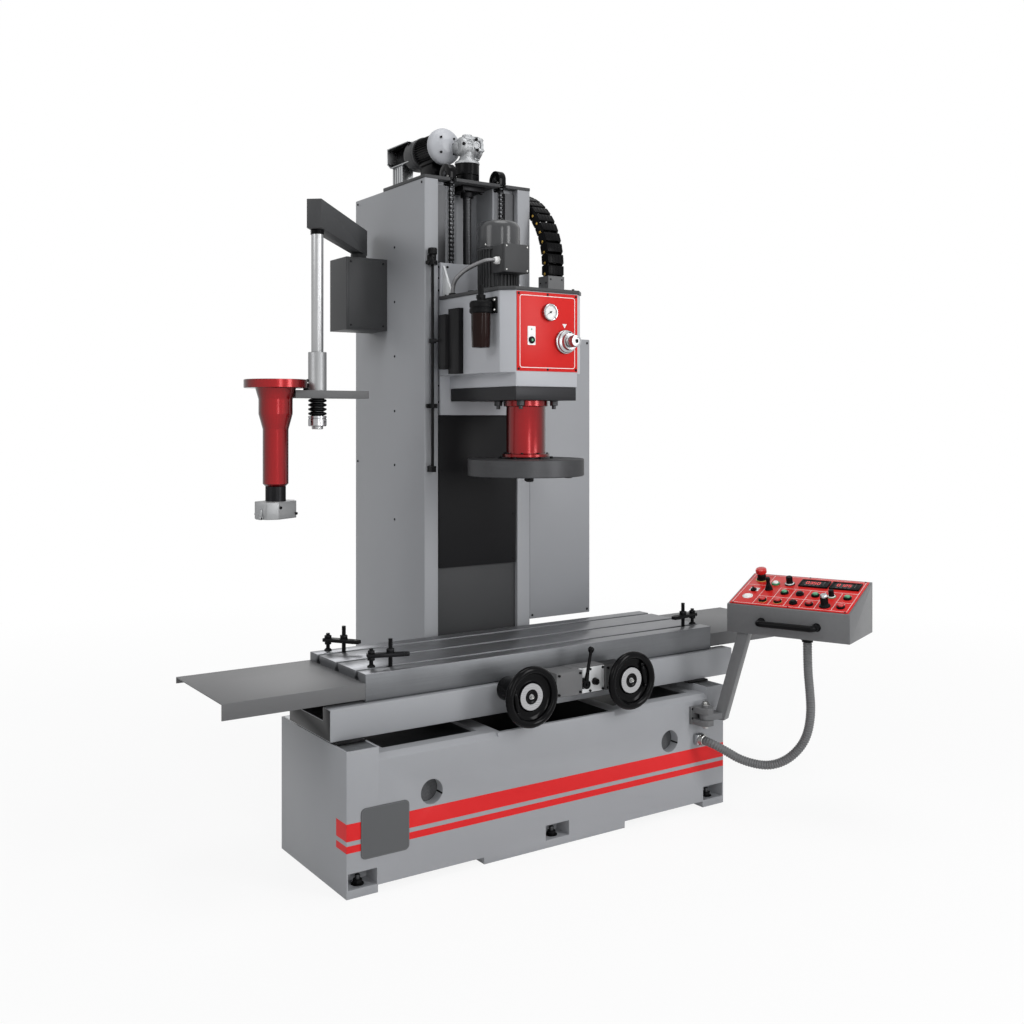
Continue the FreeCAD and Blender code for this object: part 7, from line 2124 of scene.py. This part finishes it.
def dressControls():
    bm = bmesh.new()
    for name in ("green", "red", "black"):
        for place in controlLook[name]:
            addControl(bm, place, ringProfile(10.2, 14, 7.5, 1.4))
            addControl(bm, place, [(0, 1), (10.4, 1), (10.4, 5), (0, 5)], 24)
    addControl(bm, (0.117, 0.80), ringProfile(12, 19, 6, 1.5))
    addControl(bm, (0.117, 0.80), [(0, 2), (15.5, 2), (15.5, 18), (12, 22), (11, 27), (0, 27)])
    addControl(bm, (0.375, 0.72), [(0, 4), (13, 4), (12, 9), (11, 10), (10.6, 28.5), (9.2, 30), (0, 30)])
    addControl(bm, (0.375, 0.72), ringProfile(15.8, 18, 3.6, 0.8))
    addControl(bm, (0.125, 0.45), [(0, 0.4), (11, 0.4), (11, 4.5), (9.6, 6), (0, 6)])
    px, py, pz = onPanel(0.125, 0.45)
    grip = addBox(bm, (px - 2.8, py - 9.6, pz + 5), (px + 2.8, py + 9.6, pz + 12), 1.4)
    turnAbout(grip, (px, py, 0), (0, 0, 1), 35)
    addControl(bm, (0.242, 0.51), [(0, 0), (14, 0), (14, 4), (12.6, 5), (12.4, 8), (10.8, 9), (10.6, 13),
                                   (9.2, 14),
                                   (9.0, 18), (7.4, 20), (6.4, 30), (7.4, 33), (8.4, 38), (8.4, 43),
                                   (6.4, 46),
                                   (0, 46)])
    addControl(bm, (0.775, 0.445), [(0, 4), (10.5, 4), (9.6, 8), (9.4, 24.5), (8, 26), (0, 26)])
    addControl(bm, (0.775, 0.16), [(0, 0), (19, 0), (19.4, 1), (18, 5.5), (14, 8), (12.6, 12), (12.6, 35),
                                   (0, 35)])
    for k in range(24):
        a = 2 * math.pi * k / 24
        for place, radius, low, high in (((0.775, 0.16), 12.4, 13, 34), ((0.375, 0.72), 10.7, 11, 27)):
            cx, cy, cz = onPanel(*place)
            addRod(bm, (cx + radius * math.cos(a), cy + radius * math.sin(a), cz + low),
                   (cx + radius * math.cos(a), cy + radius * math.sin(a), cz + high), 0.8, 6)
    for place in controlLook["counters"]:
        px, py, pz = onPanel(*place)
        addBox(bm, (px - 52, py - 27, pz - 0.4), (px + 52, py + 27, pz + 4.4), 1.2)
        for low, high in (((-52, -27), (52, -22)), ((-52, 22), (52, 27)), ((-52, -27), (-46, 27)),
                          ((46, -27), (52, 27))):
            addBox(bm, (px + low[0], py + low[1], pz + 3), (px + high[0], py + high[1], pz + 6), 1.0)
    finished(placed(bm, slopeTurn), "panelBezels", "blackMatte", "pendant", 35.0,
             ("pendant_controls",))
    for name, finish in (("green", "greenGloss"), ("red", "redGloss"), ("black", "blackGloss")):
        bm = bmesh.new()
        for place in controlLook[name]:
            addControl(bm, place, [(0, 4), (9.9, 4), (9.9, 10), (9.2, 11.3), (7.8, 11.9), (0, 12)], 32)
        if name == "red":
            addControl(bm, (0.117, 0.80), [(0, 24), (15, 24), (19, 26), (20, 28.5), (20, 38), (19, 41),
                                           (16, 43.2),
                                           (9, 44), (0, 44)], 48)
        if name == "green":
            addControl(bm, (0.261, 0.69), ringProfile(10.6, 15, 6.5, 1.6))
            addControl(bm, (0.775, 0.445), ringProfile(13.4, 15.4, 2.6, 0.6))
        finished(placed(bm, slopeTurn), name + "Buttons", finish, "pendant")
    bm = bmesh.new()
    addControl(bm, (0.261, 0.69), [(0, 2), (10.8, 2), (10.6, 6.5), (9.2, 9.5), (6.2, 11.4), (0, 12.2)])
    addControl(bm, (0.375, 0.72), [(0, 0.5), (16, 0.5), (16, 4.6), (14.8, 5.8), (12.6, 6), (0, 6)])
    addControl(bm, (0.775, 0.445), [(0, 0), (13.6, 0), (13.6, 3.8), (12.6, 4.8), (0, 4.8)])
    addControl(bm, (0.118, 0.255), [(0, 0), (18.6, 0), (18.8, 1.4), (17.8, 2.6), (13, 3), (12, 5.2), (4, 6),
                                    (0, 6)])
    finished(placed(bm, slopeTurn), "whiteDials", "whiteGloss", "pendant")
    bm = bmesh.new()
    addControl(bm, (0.117, 0.80), ringProfile(16, 22.4, 1.2, 0.4))
    for place in controlLook["red"][:2]:
        addControl(bm, place, ringProfile(13.6, 15.0, 1.0, 0.3))
    finished(placed(bm, slopeTurn), "yellowRings", "yellowGloss", "pendant")
    bm = bmesh.new()
    addControl(bm, (0.775, 0.16), [(0, 34), (12.2, 34), (12.6, 35), (12.2, 41.5), (10.4, 43.8), (0, 44)])
    finished(placed(bm, slopeTurn), "speedCap", "satinAluminium", "pendant")
    bm = bmesh.new()
    for place, radius, lift in (((0.118, 0.255), 15.4, 3.1), ((0.375, 0.72), 14.2, 5.9)):
        cx, cy, cz = onPanel(*place)
        for k in range(16):
            if k % 16 in (11, 12, 13):
                continue
            mark = addBox(bm, (cx + radius - 1.5, cy - 0.45, cz + lift - 0.8), (cx + radius + 1.2, cy + 0.45,
                                                                            cz + lift + 0.2))
            turnAbout(mark, (cx, cy, 0), (0, 0, 1), 22.5 * k)
    finished(placed(bm, slopeTurn), "dialMarks", "blackPaint", "pendant")


digitShapes = {"0": "abcdef", "1": "bc", "2": "abged", "3": "abgcd", "5": "afgcd"}
digitBars = {"a": (0, 1, 1, 1), "b": (1, 0.5, 1, 1), "c": (1, 0, 1, 0.5), "d": (0, 0, 1, 0),
             "e": (0, 0, 0, 0.5),
             "f": (0, 0.5, 0, 1), "g": (0, 0.5, 1, 0.5)}


def dressCounters():
    # Black windows with red seven-bar figures and a column of small keys
    bm = bmesh.new()
    glow = bmesh.new()
    keys = bmesh.new()
    for place, text in zip(controlLook["counters"], ("0350", "0125")):
        px, py, pz = onPanel(*place)
        addBox(bm, (px - 34, py - 12, pz + 4), (px + 24, py + 15, pz + 4.9), 0.3, 1)
        for k, sign in enumerate(text):
            ox, oy = px - 29 + 13.2 * k, py - 7
            for bar in digitShapes[sign]:
                x0, y0, x1, y1 = digitBars[bar]
                addBox(glow, (ox + 8.0 * x0 - 0.8, oy + 17.0 * y0 - 0.8, pz + 4.7),
                       (ox + 8.0 * x1 + 0.8, oy + 17.0 * y1 + 0.8, pz + 5.2))
        for k in range(3):
            addLathe(keys, [(0, 0), (2.6, 0), (2.6, 1.2), (1.8, 1.9), (0, 2)],
                     (px + 33.5, py - 9 + 10.5 * k, pz + 4.3),
                     steps=16)
        for k in range(4):
            addBox(keys, (px - 32 + 14.5 * k, py - 19.5, pz + 4.3), (px - 23 + 14.5 * k, py - 16, pz + 5.4),
                   0.5, 1)
    finished(placed(bm, slopeTurn), "counterWindows", "displayBlack", "pendant")
    finished(placed(glow, slopeTurn), "counterFigures", "figureRed", "pendant")
    finished(placed(keys, slopeTurn), "counterKeys", "badgeGrey", "pendant")


dressDesk()
dressPanelLines()
dressControls()
dressCounters()
print("pendant dressed")


print("pieces dressed")
